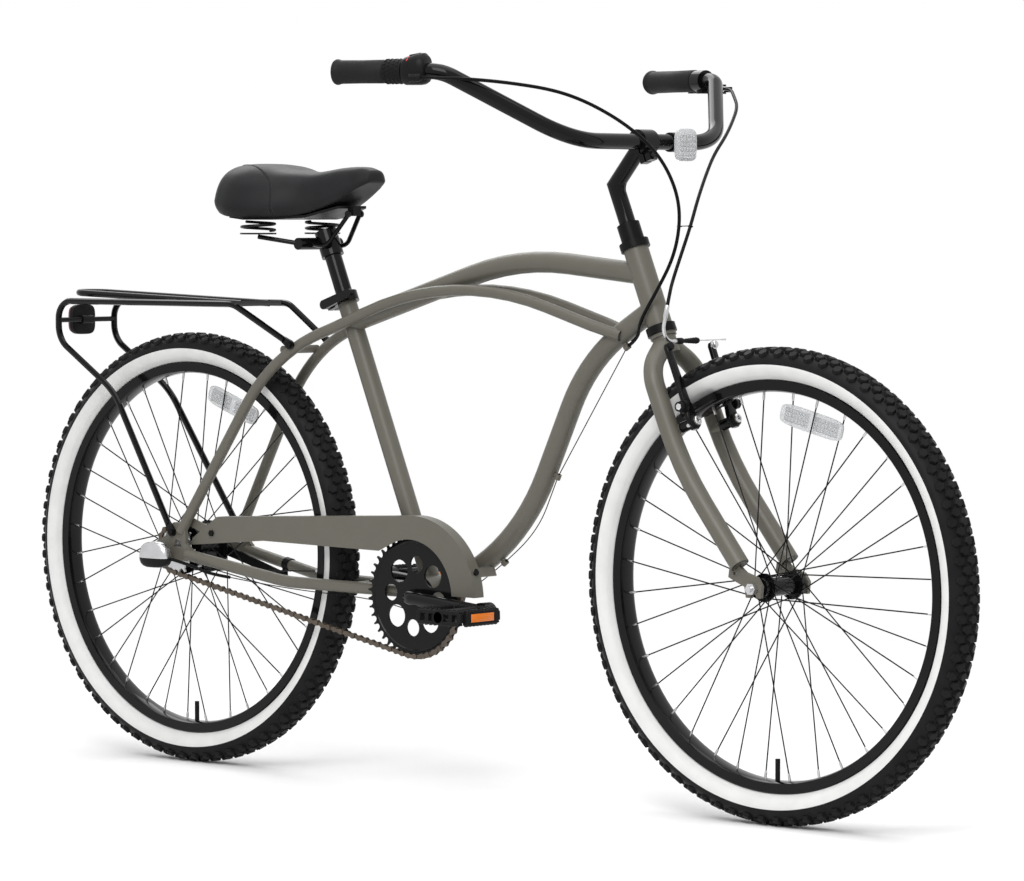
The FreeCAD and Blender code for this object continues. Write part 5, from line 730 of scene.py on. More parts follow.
@dataclass
class FrameTubes:
    """Painted tubes of the frame, each a smooth skin on its solid."""

    layout: Layout
    skin: float = 0.0003
    top_radius: float = 0.015
    down_radius: float = 0.015
    stay_radius: float = 0.008
    chainstay_radius: float = 0.0085
    stay_offset: float = 0.022
    dropout_offset: float = 0.0665
    top_front_slope: float = -5.65
    top_rear_slope: float = 16.9
    down_high_slope: float = 31.5
    down_middle_slope: float = 64.6
    down_low_slope: float = 27.5
    down_reach: float = 0.128
    stay_front_slope: float = -16.5
    stay_rear_slope: float = 20.5

    TOP_BENDS = [0.480]
    DOWN_BENDS = [0.255, 0.320]
    STAY_BENDS = [0.080, 0.560, 0.300, 0.280]
    CHAINSTAY_BENDS = [0.240, 0.240]
    PAINTED = ("head_tube", "seat_tube", "bottom_bracket_shell", "down_tube", "stay_tubes", "chainstays",
               "rear_dropouts", "chain_guard")
    BLACK = ("bearing_cups", "headset_locknut", "small_fixings", "coaster_arm")

    def top_line(self) -> Line:
        """Centre line of the top tube."""
        front = self.layout.on_steering(self.layout.head_high - 0.038)
        rear = self.layout.on_seat_line(self.layout.seat_tube_length - 0.036)
        corner = crossing(front, slope(self.top_front_slope), rear, slope(self.top_rear_slope))
        return bent_line([front, corner, rear], self.TOP_BENDS)

    def down_line(self) -> Line:
        """Centre line of the curved down tube."""
        head = self.layout.on_steering(self.layout.head_low + 0.027)
        crank = self.layout.crank
        middle = crank + X_AXIS * self.down_reach
        along = slope(self.down_middle_slope)
        low = crossing(crank, slope(self.down_low_slope), middle, along)
        high = crossing(head, slope(self.down_high_slope), middle, along)
        return bent_line([head, high, low, crank], self.DOWN_BENDS)

    def stay_corners(self) -> Line:
        """Corner points of the right upper tube and seat stay."""
        aim = self.layout.on_steering(self.layout.head_low - 0.040)
        forward = slope(self.stay_front_slope)
        fall = slope(self.stay_rear_slope)
        tip = aim - forward * 0.080
        knee = tip - forward * 0.052
        seat = self.layout.on_seat_line(self.layout.seat_tube_length - 0.037)
        peak = crossing(aim, forward, seat, fall)
        corner = seat - fall * ((seat.x - self.layout.rear.x - 0.203) / fall.x)
        right = -Y_AXIS
        end = self.layout.from_rear(0.033, -self.dropout_offset, 0.028)
        return [tip + right * 0.013, knee + right * self.stay_offset, peak + right * self.stay_offset,
                seat + right * self.stay_offset, corner + right * 0.040, end]

    def chainstay_corners(self) -> Line:
        """Corner points of the right chainstay."""
        crank = self.layout.crank
        rear = self.layout.rear
        return [
            self.layout.from_rear(0.046, -self.dropout_offset, -0.006),
            Vector((rear.x + 0.236, rear.y - 0.045, crank.z + 0.0075)),
            Vector((rear.x + 0.322, rear.y - 0.0415, crank.z + 0.0065)),
            crank + Vector((-0.007, -0.022, 0.003)),
        ]

    def build(self) -> None:
        """Build the tubes and dress the frame's other nodes."""
        top = tube("top_tube_skin", self.top_line(), self.top_radius + self.skin, PAINT)
        report(top, "frame", "top_tube")
        report(tube("down_tube_skin", self.down_line(), self.down_radius + self.skin, PAINT), "frame")
        stays = self.stay_corners()
        chainstays = self.chainstay_corners()
        for side in ("right", "left"):
            if side == "left":
                stays = [self.layout.left_of(point) for point in stays]
                chainstays = [self.layout.left_of(point) for point in chainstays]
            stay = bent_line(stays, self.STAY_BENDS)
            report(tube(f"stay_skin_{side}", stay, self.stay_radius + self.skin, PAINT), "frame")
            chainstay = bent_line(chainstays, self.CHAINSTAY_BENDS)
            skin = tube(f"chainstay_skin_{side}", chainstay, self.chainstay_radius + self.skin, PAINT)
            report(skin, "frame")
        for node in self.PAINTED:
            dress(node, PAINT)
        for node in self.BLACK:
            dress(node, SATIN_BLACK)
        self.painted_tabs()

    def painted_tabs(self) -> None:
        """Paint the guard's tab and clip, and leave the screws black."""
        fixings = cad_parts["small_fixings"]
        fixings.data.materials.append(PAINT.material())
        for face in fixings.data.polygons:
            spot = fixings.matrix_world @ face.center
            reach = spot.x - self.layout.crank.x
            on_clip = 0.112 < reach < 0.1224 and spot.z < 0.336
            on_tab = -0.463 < reach < -0.397 and spot.z < 0.384 and spot.y > self.layout.middle - 0.0566
            face.material_index = 1 if on_clip or on_tab else 0


@dataclass
class Fork:
    """The fork's legs as smooth round skins of one radius."""

    layout: Layout
    radius: float = 0.0135
    skin: float = 0.0003

    BENDS = [0.058, 0.480]

    def leg(self) -> Line:
        """Centre line of the right leg."""
        place = self.layout.on_steering
        top = self.layout.fork_length
        corners = [place(top - 0.018, 0, -0.009), place(top - 0.052, 0, -0.052),
                   place(0.200, 0.003, -0.055),
                   place(0.038, 0.050, -0.056)]
        return bent_line(corners, self.BENDS)

    def build(self) -> None:
        """Build both legs and dress the fork."""
        line = self.leg()
        for side in ("right", "left"):
            points = line if side == "right" else [self.layout.left_of(point) for point in line]
            report(tube(f"fork_leg_skin_{side}", points, self.radius + self.skin, PAINT), "steering")
        dress("fork_legs", PAINT)
        dress("fork_steerer", PAINT)


@dataclass
class Wheel:
    """One wheel: tyre with tread blocks and white sides, rim, spokes and nipples."""

    layout: Layout
    patterns: Patterns
    name: str
    centre: Vector
    hole_radius: float
    flange_offset: float
    lens_turn: float
    belly_radius: float = 0.3055
    half_width: float = 0.0266
    crown_height: float = 0.0218
    white_edge: float = 0.3085
    block_height: float = 0.0050
    block_count: int = 78
    spoke_count: int = 36
    spoke_radius: float = 0.001
    rim_radius: float = 0.286
    rim_seat: float = 0.2795
    rim_inner: float = 0.2695
    rim_shoulder: float = 0.272
    rim_half_width: float = 0.015
    lens_radius: float = 0.236
    lens_half_length: float = 0.055
    lens_half_height: float = 0.015
    lens_half_depth: float = 0.0022

    BEAD = [(0.2805, 0.0120), (0.2868, 0.0126)]
    NIPPLE = [(0.0, 0.0), (0.0019, 0.0), (0.0019, 0.009), (0.0015, 0.012), (0.0, 0.012)]
    BLOCK_ROWS = [(90.0, 0.0), (70.0, 0.5), (110.0, 0.5), (50.0, 0.0), (130.0, 0.0)]

    def around(self, angle: float, radius: float, offset: float = 0.0) -> Vector:
        """A point on a circle about the axle."""
        return self.centre + Vector((radius * math.cos(angle), offset, radius * math.sin(angle)))

    def section(self, angle: float) -> tuple[float, float]:
        """Radius and offset on the tyre's round section."""
        return (self.belly_radius + self.crown_height * math.sin(angle), self.half_width * math.cos(angle))

    def tyre(self) -> bpy.types.Object:
        """The tyre's carcass with its white side bands."""
        sweep = [math.radians(-40 + step * 260 / 40) for step in range(41)]
        profile = self.BEAD + [self.section(angle) for angle in sweep]
        profile += [(radius, -offset) for radius, offset in reversed(self.BEAD)]
        tyre = lathe(f"{self.name}_tyre_carcass", profile, self.centre, Y_AXIS, TYRE, 180)
        tyre.data.materials.append(WHITE_RUBBER.material())
        for face in tyre.data.polygons:
            spot = face.center - self.centre
            radius = math.hypot(spot.x, spot.z)
            if self.rim_radius < radius < self.white_edge:
                face.material_index = 1
        return tyre

    def tread(self) -> bpy.types.Object:
        """Rows of tread blocks, each row half a step on from the next."""
        places = []
        for turn, shift in self.BLOCK_ROWS:
            radius, offset = self.section(math.radians(turn))
            out_share = math.sin(math.radians(turn)) / self.crown_height
            side_share = math.cos(math.radians(turn)) / self.half_width
            for number in range(self.block_count):
                angle = 2 * math.pi * (number + shift) / self.block_count
                radial = Vector((math.cos(angle), 0, math.sin(angle)))
                normal = (radial * out_share + Y_AXIS * side_share).normalized()
                place = self.centre + radial * (radius - 0.0004) + Y_AXIS * offset
                places.append(facing(place, normal, Vector((-math.sin(angle), 0, math.cos(angle)))))
        tall = self.block_height - 0.0002
        profile = [(0.0, 0.0), (0.0078, 0.0), (0.0070, tall * 0.7), (0.0060, tall), (0.0, tall)]
        block = lathe("tread_block", profile, Vector(), Z_AXIS, TYRE, 6, closed=False)
        return self.patterns.place_copies(f"{self.name}_tread", block, places, TYRE)

    def rim(self) -> bpy.types.Object:
        """The rim with rolled edges."""
        edge = self.rim_half_width
        top, shoulder = self.rim_radius, self.rim_shoulder
        half = [(self.rim_seat, edge - 0.0024), (top - 0.0008, edge - 0.0022), (top, edge - 0.0012),
                (top - 0.0008, edge), (shoulder, edge), (shoulder - 0.0012, edge * 0.84),
                (self.rim_inner, edge * 0.5)]
        profile = half + [(radius, -height) for radius, height in reversed(half)]
        return lathe(f"{self.name}_rim_ring", profile, self.centre, Y_AXIS, GLOSS_BLACK, 180)

    def spoke_ends(self) -> list[tuple[Vector, Vector, Vector]]:
        """Head, elbow and rim end of every spoke."""
        ends = []
        for number in range(self.spoke_count):
            side = 1 if number % 2 == 0 else -1
            outside = number // 2 % 2 == 0
            rim_angle = 2 * math.pi * (number + 0.5) / self.spoke_count
            lean = math.radians(60) * (1 if outside else -1)
            lift = 0.0030 if outside else -0.0026
            head = self.around(rim_angle + lean, self.hole_radius, side * (self.flange_offset - lift))
            elbow = self.around(rim_angle + lean, self.hole_radius, side * (self.flange_offset + lift))
            tip = self.around(rim_angle, self.rim_inner + 0.001, side * 0.0025)
            ends.append((head, elbow, tip))
        return ends

    def reflector(self) -> bpy.types.Object:
        """The clip-on lens: a rounded plate with rows of prisms on both faces."""
        turn = math.radians(self.lens_turn)
        middle = self.around(turn, self.lens_radius)
        out = Vector((math.cos(turn), 0, math.sin(turn)))
        along = Vector((-math.sin(turn), 0, math.cos(turn)))
        depth = self.lens_half_depth
        rings = [ring(middle + Y_AXIS * (depth * reach), along, out, self.lens_half_length - inset,
                      self.lens_half_height - inset, 0.42, 40)
                 for reach, inset in ((-0.75, 0.0016), (-0.45, 0.0), (0.45, 0.0), (0.75, 0.0016))]
        plate = loft(f"{self.name}_lens_plate", rings, CLEAR)
        places = []
        for face in (-1, 1):
            for panel in (-1, 1):
                for step in range(7):
                    for row in (-1, 0, 1):
                        spot = middle + along * (panel * 0.026 + (step - 3) * 0.0060) + out * (row * 0.0066)
                        places.append(facing(spot + Y_AXIS * (face * depth * 0.72), Y_AXIS * face, along))
        prism = block_shape("lens_prism", (0.0056, 0.0062, depth * 0.27), 0.25, CLEAR, 0.0001)
        prisms = self.patterns.place_copies(f"{self.name}_lens_prisms", prism, places, CLEAR)
        return joined(f"{self.name}_wheel_lens", [plate, prisms])

    def build(self) -> None:
        """Build the wheel and dress what stays."""
        body = f"{self.name}_wheel"
        report(joined(f"{self.name}_tyre_dressed", [self.tyre(), self.tread()]), body, f"{self.name}_tyre")
        report(self.rim(), body, f"{self.name}_rim")
        ends = self.spoke_ends()
        lines = [list(line) for line in ends]
        wires = self.patterns.draw_wires(f"{self.name}_spoke_wires", lines, self.spoke_radius, SATIN_BLACK)
        report(wires, body, f"{self.name}_spokes")
        nipple = lathe("nipple", self.NIPPLE, Vector(), Z_AXIS, STEEL, 8, closed=False)
        places = [facing(tip, elbow - tip, Y_AXIS) for _, elbow, tip in ends]
        report(self.patterns.place_copies(f"{self.name}_nipples", nipple, places, STEEL), body)
        dress(f"{self.name}_hub_shell", GLOSS_BLACK)
        dress(f"{self.name}_inner_tube", RUBBER)
        report(self.reflector(), body, f"{self.name}_wheel_reflector")
        dress(f"{self.name}_axle", STEEL)


@dataclass
class Drive:
    """Chain, crank, pedals and the gear box at the hub."""

    layout: Layout
    patterns: Patterns
    pitch: float = 0.0127
    ring_teeth: int = 44
    sprocket_teeth: int = 18
    chain_line: float = 0.044
    plate: float = 0.001
    inner_half: float = 0.00165
    crank_angle: float = -4.5
    plate_end: float = 0.0042
    lip_radius: float = 0.0785
    cage_height: float = 0.0225
    cage_wall: float = 0.009
    arm_length: float = 0.165
    arm_radius: float = 0.0103
    arm_bend: float = 0.017
    corner_offset: float = 0.065
    eye_offset: float = 0.076
    barrel_radius: float = 0.0105

    ROLLER = [(0.0, -0.0036), (0.0018, -0.0036), (0.0018, -0.0015), (0.0038, -0.0015),
              (0.0038, 0.0015), (0.0018, 0.0015), (0.0018, 0.0036), (0.0, 0.0036)]
    PEDAL_CAP = [(0.0, -0.012), (0.0095, -0.012), (0.0095, 0.0), (0.0080, 0.001), (0.0, 0.001)]
    BOX_SOLE = [(0.0, 0.52), (0.05, 0.74), (0.14, 0.90), (0.26, 0.98), (0.36, 1.0)]
    BOX_COVER = [(0.36, 0.985), (0.42, 1.0), (0.62, 0.97), (0.80, 0.86), (0.92, 0.66), (0.98, 0.42),
                 (1.0, 0.18)]
    WAIST = [(0.62, 0.84), (0.34, 0.64), (0.0, 0.56), (-0.34, 0.64), (-0.62, 0.84)]

    def pins(self) -> Line:
        """Places of the chain's pins, laid by pitch round both sprockets."""
        crank, rear = self.layout.crank, self.layout.rear
        ring = self.pitch / 2 / math.sin(math.pi / self.ring_teeth)
        sprocket = self.pitch / 2 / math.sin(math.pi / self.sprocket_teeth)
        span = rear - crank
        lean = math.asin((ring - sprocket) / span.length)
        upper = math.atan2(span.z, span.x) - math.pi / 2 + lean
        lower = upper + math.pi - 2 * lean
        run = span.length * math.cos(lean) / self.pitch
        on_sprocket = (math.pi - 2 * lean) * self.sprocket_teeth / (2 * math.pi)
        on_ring = (math.pi + 2 * lean) * self.ring_teeth / (2 * math.pi)
        total = run * 2 + on_sprocket + on_ring
        count = round(total / 2) * 2

        def spot(centre: Vector, angle: float, radius: float) -> Vector:
            """A point on one of the two pitch circles."""
            return centre + Vector((radius * math.cos(angle), -self.chain_line, radius * math.sin(angle)))

        places = []
        for number in range(count):
            passed = number * total / count
            if passed < run:
                start, end = spot(crank, upper, ring), spot(rear, upper, sprocket)
                places.append(start.lerp(end, passed / run))
            elif passed < run + on_sprocket:
                turn = (passed - run) * 2 * math.pi / self.sprocket_teeth
                places.append(spot(rear, upper + turn, sprocket))
            elif passed < run * 2 + on_sprocket:
                start, end = spot(rear, lower, sprocket), spot(crank, lower, ring)
                places.append(start.lerp(end, (passed - run - on_sprocket) / run))
            else:
                turn = (passed - run * 2 - on_sprocket) * 2 * math.pi / self.ring_teeth
                places.append(spot(crank, lower + turn, ring))
        return places

    def plate_shape(self) -> bpy.types.Object:
        """A link plate with two round ends and a waist, lying along X."""
        half = self.pitch / 2
        outline = []
        for end in (1, -1):
            for step in range(11):
                angle = math.pi * (step / 10 - 0.5)
                reach, rise = self.plate_end * math.cos(angle), self.plate_end * math.sin(angle)
                outline.append((end * (half + reach), end * rise))
            outline += [(end * half * reach, end * self.plate_end * waist) for reach, waist in self.WAIST]
        points = [Vector((x, -self.plate / 2, z)) for x, z in outline]
        points += [Vector((x, self.plate / 2, z)) for x, z in outline]
        count = len(outline)
        faces = [tuple(range(count)), tuple(range(2 * count - 1, count - 1, -1))]
        faces += [(n, (n + 1) % count, (n + 1) % count + count, n + count) for n in range(count)]
        return mesh_piece("link_plate", points, faces, BRONZE)

    def chain(self) -> None:
        """Lay plates and rollers on the pins."""
        pins = self.pins()
        plates = []
        rollers = []
        for number, pin in enumerate(pins):
            following = pins[(number + 1) % len(pins)]
            along = (following - pin).normalized()
            offset = self.inner_half + self.plate / 2 + (0 if number % 2 == 0 else self.plate + 0.00005)
            for side in (-1, 1):
                middle = (pin + following) / 2 + Y_AXIS * (side * offset)
                plates.append(facing(middle, along.cross(Y_AXIS), along))
            rollers.append(Matrix.Translation(pin))
        roller = lathe("roller", self.ROLLER, Vector(), Y_AXIS, BRONZE, 12, closed=False)
        links = self.patterns.place_copies("chain_plates", self.plate_shape(), plates, BRONZE)
        rolls = self.patterns.place_copies("chain_rollers", roller, rollers, BRONZE)
        report(joined("chain_links", [links, rolls]), "frame", "chain")

    def crank(self) -> None:
        """A smooth skin on the one-piece crank."""
        centre = self.layout.crank
        arm = slope(self.crank_angle)
        corner = centre - Y_AXIS * self.corner_offset
        eye = centre + arm * self.arm_length - Y_AXIS * self.eye_offset

        def other(point: Vector) -> Vector:
            """The matching point of the other arm."""
            return centre * 2 - point

        line = bent_line([eye, corner, other(corner), other(eye)], [self.arm_bend] * 2)
        report(tube("crank_skin", line, self.arm_radius, GLOSS_BLACK), "crank")
        dress("crank", GLOSS_BLACK)
        dress("chainring", GLOSS_BLACK)
        lip = lathe("chainring_lip", [(self.lip_radius, 0.0012), (self.lip_radius + 0.0014, 0.0027),
                                      (self.lip_radius + 0.0034, 0.0027), (self.lip_radius + 0.0048,
                                                                           0.0012)],
                    centre - Y_AXIS * self.chain_line, -Y_AXIS, GLOSS_BLACK, 96)
        report(lip, "crank")
        dress("rear_sprocket", STEEL)

    def pedal(self, side: str) -> None:
        """One pedal: its cage and two amber lenses."""
        low, high = (Vector(corner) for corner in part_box(f"pedal_{side}"))
        body = f"pedal_{side}"
        middle = (low + high) / 2
        lenses = []
        for end in (-1, 1):
            spot = Vector((middle.x + end * (high.x - low.x) / 2, middle.y, middle.z))
            lens = block_shape(f"pedal_lens_{side}_{end}", (0.012, 0.050, 0.0008), 0.94, AMBER, 0.0002)
            lens.data.transform(facing(spot - Vector((end * 0.0008, 0, 0)), Vector((end, 0, 0)), Z_AXIS))
            lenses.append(lens)
        report(joined(f"pedal_lenses_{side}", lenses), body)
        report(self.pedal_cage(side, middle, high - low), body, f"pedal_{side}")

    def pedal_cage(self, side: str, middle: Vector, size: Vector) -> bpy.types.Object:
        """A moulded pedal: barrel, four sides with openings and toothed upper and lower edges."""
        ahead = X_AXIS
        tall = self.cage_height
        long, wide = size.x, size.y
        slim = self.cage_wall
        ends = [middle - Y_AXIS * (wide / 2), middle + Y_AXIS * (wide / 2)]
        pieces = [tube("pedal_barrel", ends, self.barrel_radius, PLASTIC, 28)]

        def bar(place: Vector, length: float, depth: float, height: float, along: Vector) -> None:
            """Add one bevelled bar of the cage, centred on a place."""
            piece = block_shape("cage_bar", (length, depth, height), 0.96, PLASTIC, 0.0008)
            piece.data.transform(facing(place - Z_AXIS * (height / 2), Z_AXIS, along))
            pieces.append(piece)

        for end in (-1, 1):
            bar(middle + ahead * (end * (long - slim) / 2), wide * 0.78, slim - 0.0008, tall * 0.9, Y_AXIS)
            rim = middle + Y_AXIS * (end * (wide - slim) / 2)
            for level in (-1, 1):
                bar(rim + Z_AXIS * (level * tall * 0.34), long * 0.86, slim, tall * 0.24, ahead)
            for post in (-0.41, -0.24, 0.24, 0.41):
                bar(rim + ahead * (post * long), slim * 0.8, slim * 0.9, tall * 0.6, ahead)
            tip = middle + Y_AXIS * (end * wide / 2 - end * 0.001)
            pieces.append(lathe("pedal_cap", self.PEDAL_CAP, tip, Y_AXIS * end, PLASTIC, 28, closed=False))
        places = []
        for face in (-1, 1):
            level = middle + Z_AXIS * (face * tall * 0.44)
            for edge in (-1, 1):
                for step in range(9):
                    along = Y_AXIS * ((step - 4) * wide * 0.088)
                    spot = level + ahead * (edge * (long - slim) / 2) + along
                    places.append(facing(spot, Z_AXIS * face, ahead))
                    along = ahead * ((step - 4) * long * 0.09)
                    spot = level + Y_AXIS * (edge * (wide - slim) / 2) + along
                    places.append(facing(spot, Z_AXIS * face, Y_AXIS))
        tooth = block_shape("pedal_tooth", (slim * 0.8, 0.0045, 0.0022), 0.6, PLASTIC, 0.0003)
        pieces.append(self.patterns.place_copies(f"pedal_teeth_{side}", tooth, places, PLASTIC))
        return joined(f"pedal_cage_{side}", pieces)

    def build(self) -> None:
        """Build the drive."""
        self.chain()
        self.crank()
        self.pedal("right")
        self.pedal("left")
        self.click_box()

    def click_box(self) -> None:
        """The gear box at the hub: a rounded bright cover on a curved black sole."""
        low, high = (Vector(corner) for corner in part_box("gear_click_box"))
        half = (high - low) / 2 * 1.16
        tall = (high.z - low.z) * 1.3
        foot = Vector(((low.x + high.x) / 2, (low.y + high.y) / 2, high.z - tall))
        for name, rows, finish, nodes in (("gear_box_sole", self.BOX_SOLE, PLASTIC, ()),
                                          ("gear_box_cover", self.BOX_COVER, STEEL, ("gear_click_box",))):
            rings = [ring(foot + Z_AXIS * (tall * reach), X_AXIS, Y_AXIS, half.x * share,
                          half.y * share**0.5, 0.7, 36) for reach, share in rows]
            report(loft(name, rings, finish), "frame", *nodes)


@dataclass
class Cockpit:
    """Handlebar, stem, grips and controls."""

    layout: Layout
    patterns: Patterns
    bar_radius: float = 0.0111
    skin: float = 0.0002
    elbow_along: float = 0.625
    stem_radius: float = 0.0112
    lens_offset: float = 0.062
    housing_along: float = 0.1056
    neck_rise: float = 0.046
    right_grip: float = 0.074
    left_grip: float = 0.112

    STEM_REACH = (0.051, 0, 0.061)
    BAR_CORNERS = [(-0.26587, -0.345305, 0.095472), (-0.112, -0.302, 0.095), (0.004, -0.160, 0.0)]
    BAR_BENDS = [0.048, 0.125, 0.150, 0.125, 0.048]
    GRIP_END = [(0.0, -0.004), (0.013, -0.004), (0.0168, -0.0034), (0.018, -0.001), (0.0179, 0.001),
                (0.0168, 0.004), (0.0165, 0.008)]
    BAND = [(0.0113, -0.006), (0.0139, -0.006), (0.0139, 0.006), (0.0113, 0.006)]
    BRAKE_BARREL = [(0.0, -0.0155), (0.0046, -0.0155), (0.0047, -0.009), (0.0058, -0.0085),
                    (0.0058, -0.002),
                    (0.0047, -0.001), (0.0047, 0.001), (0.0, 0.001)]
    CLAMP_SCREW = [(0.0, 0.0), (0.0034, 0.0), (0.0034, -0.003), (0.002, -0.0042), (0.0, -0.0042)]
    HOUSING = [(0.0, 0.0182, 0.0), (0.0016, 0.0191, 0.0003), (0.012, 0.0192, 0.0016),
               (0.023, 0.0192, 0.0031),
               (0.029, 0.0184, 0.0033), (0.033, 0.0160, 0.0026), (0.034, 0.0138, 0.0018)]

    @property
    def bar_centre(self) -> Vector:
        """Where the stem holds the handlebar."""
        return self.layout.on_steering(self.elbow_along) + Vector(self.STEM_REACH)

    def bar_corners(self) -> Line:
        """Corner points of the handlebar from right to left."""
        centre = self.bar_centre
        right = [centre + Vector(corner) for corner in self.BAR_CORNERS]
        return right + [centre] + [self.layout.left_of(point) for point in reversed(right)]

    def stem_skin(self, neck: Vector, elbow: Vector) -> bpy.types.Object:
        """The stem's arm, folded at its elbow with a sharp corner."""
        lower = (elbow - neck).normalized()
        upper = (self.bar_centre - elbow).normalized()
        fold = (lower + upper).normalized()
        widen = 1 / lower.dot(fold)
        rows = [(neck - lower * 0.006, lower, 1.0), (neck, lower, 1.0), (elbow, fold, widen),
                (self.bar_centre, upper, 1.0)]
        radius = self.stem_radius + self.skin
        rings = [ring(centre, Y_AXIS, way.cross(Y_AXIS), radius, radius * wide, 0.86, 32)
                 for centre, way, wide in rows]
        return loft("stem_arm_skin", rings, GLOSS_BLACK)

    def grip(self, side: str, length: float) -> bpy.types.Object:
        """A wrapped grip with a rolled end."""
        corners = self.bar_corners()
        end, inner = (corners[0], corners[1]) if side == "right" else (corners[-1], corners[-2])
        profile = self.GRIP_END + [(0.0162, length * 0.5), (0.0165, length - 0.003), (0.0150, length),
                                   (0.0112, length)]
        grip = lathe(f"grip_{side}", profile, end, inner - end, WRAP, 48, closed=False)
        return report(grip, "steering")

    def build(self) -> None:
        """Build the bar, stem and grips, and dress the controls."""
        line = bent_line(self.bar_corners(), self.BAR_BENDS)
        bar = tube("handlebar_tube", line, self.bar_radius + self.skin, GLOSS_BLACK, 32)
        report(bar, "steering", "handlebar")
        elbow = self.layout.on_steering(self.elbow_along)
        neck = self.layout.on_steering(self.layout.head_high + self.neck_rise)
        report(self.stem_skin(neck, elbow), "steering")
        right = self.grip("right", self.right_grip)
        self.grip("left", self.left_grip)
        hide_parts("grips")
        for node in ("stem", "brake_lever", "brake_lever_bracket"):
            dress(node, GLOSS_BLACK)
        dress("shifter_twist", RUBBER)
        self.twist_ribs()
        self.reflector()
        self.fittings()

    def twist_ribs(self) -> None:
        """Raised diamonds round the twist ring."""
        corners = self.bar_corners()
        inward = (corners[1] - corners[0]).normalized()
        side = inward.orthogonal().normalized()
        across = inward.cross(side)
        places = []
        for row in range(4):
            spot = corners[0] + inward * (0.0785 + row * 0.0066)
            for step in range(18):
                angle = 2 * math.pi * (step + row % 2 / 2) / 18
                out = side * math.cos(angle) + across * math.sin(angle)
                places.append(facing(spot + out * 0.0163, out, inward))
        knob = block_shape("twist_knob", (0.0045, 0.0040, 0.0015), 0.6, RUBBER, 0.0004)
        report(self.patterns.place_copies("twist_knobs", knob, places, RUBBER), "shifter_twist")

    def reflector(self) -> None:
        """The front reflector: a band on the bar and a chamfered lens with rows of prisms."""
        centre = self.bar_centre
        along = (self.bar_corners()[4] - centre).normalized()
        band_centre = centre + along * self.lens_offset
        band = lathe("front_reflector_band", self.BAND, band_centre, along, PLASTIC, 40)
        lens = band_centre + Vector((0.0261, 0, -0.004))
        arm_foot = band_centre + Vector((0.012, 0, -0.004))
        arm = tube("front_reflector_arm", [arm_foot, lens], 0.0042, PLASTIC, 16)
        report(joined("front_reflector_holder", [band, arm]), "steering")
        ahead = X_AXIS
        rings = [ring(lens + ahead * reach, Y_AXIS, Z_AXIS, 0.0235 - inset, 0.023 - inset, 0.5, 40)
                 for reach, inset in ((-0.0045, 0.002), (-0.003, 0.0), (0.0005, 0.0), (0.0036, 0.0042))]
        block = loft("front_lens_block", rings, CLEAR, 25)
        places = []
        for column in range(-2, 3):
            for row in range(-2, 3):
                spot = lens + Vector((0.0034, column * 0.0066, row * 0.0066))
                places.append(facing(spot, ahead, Z_AXIS))
        prism = block_shape("front_prism", (0.0062, 0.0062, 0.0010), 0.25, CLEAR, 0.0001)
        prisms = self.patterns.place_copies("front_lens_prisms", prism, places, CLEAR)
        report(joined("front_lens", [block, prisms]), "steering", "front_reflector")

    def fittings(self) -> None:
        """Cable barrels, the lever's clamp screw and the shifter's red mark."""
        corners = self.bar_corners()
        right_way = (corners[1] - corners[0]).normalized()
        left_way = (corners[-2] - corners[-1]).normalized()
        boss = self.layout.plane_point(0.19564, -0.32486, 1.03418)
        ribs = [(0.0, -0.0165), (0.0062, -0.0165)]
        for step in range(6):
            ribs += [(0.0063, -0.015 + step * 0.0024), (0.0057, -0.0138 + step * 0.0024)]
        ribs += [(0.0044, 0.0006), (0.0032, 0.0012), (0.0, 0.0012)]
        report(lathe("shift_barrel", ribs, boss, right_way, PLASTIC, 24, closed=False), "steering")
        barrel = self.layout.plane_point(0.20887, 0.32427, 1.03114)
        report(lathe("brake_barrel", self.BRAKE_BARREL, barrel, left_way, STEEL, 24, closed=False),
               "steering")
        screw_seat = self.layout.plane_point(0.18085, 0.31134, 1.04321) - Z_AXIS * 0.0148
        screw = lathe("lever_clamp_screw", self.CLAMP_SCREW, screw_seat, Z_AXIS, STEEL, 16, closed=False)
        report(screw, "steering")
        self.shifter(corners[0], right_way)

    def shifter(self, end: Vector, inward: Vector) -> None:
        """The shifter's housing, rising towards the stem, with its window and red mark."""
        side = Vector((-inward.y, inward.x, 0))
        foot = end + inward * self.housing_along
        rings = [ring(foot + inward * reach + Z_AXIS * lift, side, Z_AXIS, radius, radius + lift, 0.86, 40)
                 for reach, radius, lift in self.HOUSING]
        report(loft("shifter_housing", rings, PLASTIC, 30), "steering", "shifter_body")
        slant = (inward * 0.988 + Z_AXIS * 0.155).normalized()
        up = slant.cross(side).normalized()
        up = up if up.z > 0 else -up
        window = foot + inward * 0.017 + Z_AXIS * 0.0226
        glass = block_shape("shifter_window", (0.0190, 0.0150, 0.0016), 0.86, GLOSS_BLACK, 0.0006)
        glass.data.transform(facing(window, up, slant))
        report(glass, "steering")
        out = (Z_AXIS * 0.80 - side * 0.60).normalized()
        mark = block_shape("shifter_mark", (0.0018, 0.0110, 0.0008), 0.9, RED_MARK, 0.0001)
        mark.data.transform(facing(foot + inward * 0.009 + out * 0.0210, out, inward))
        report(mark, "steering")


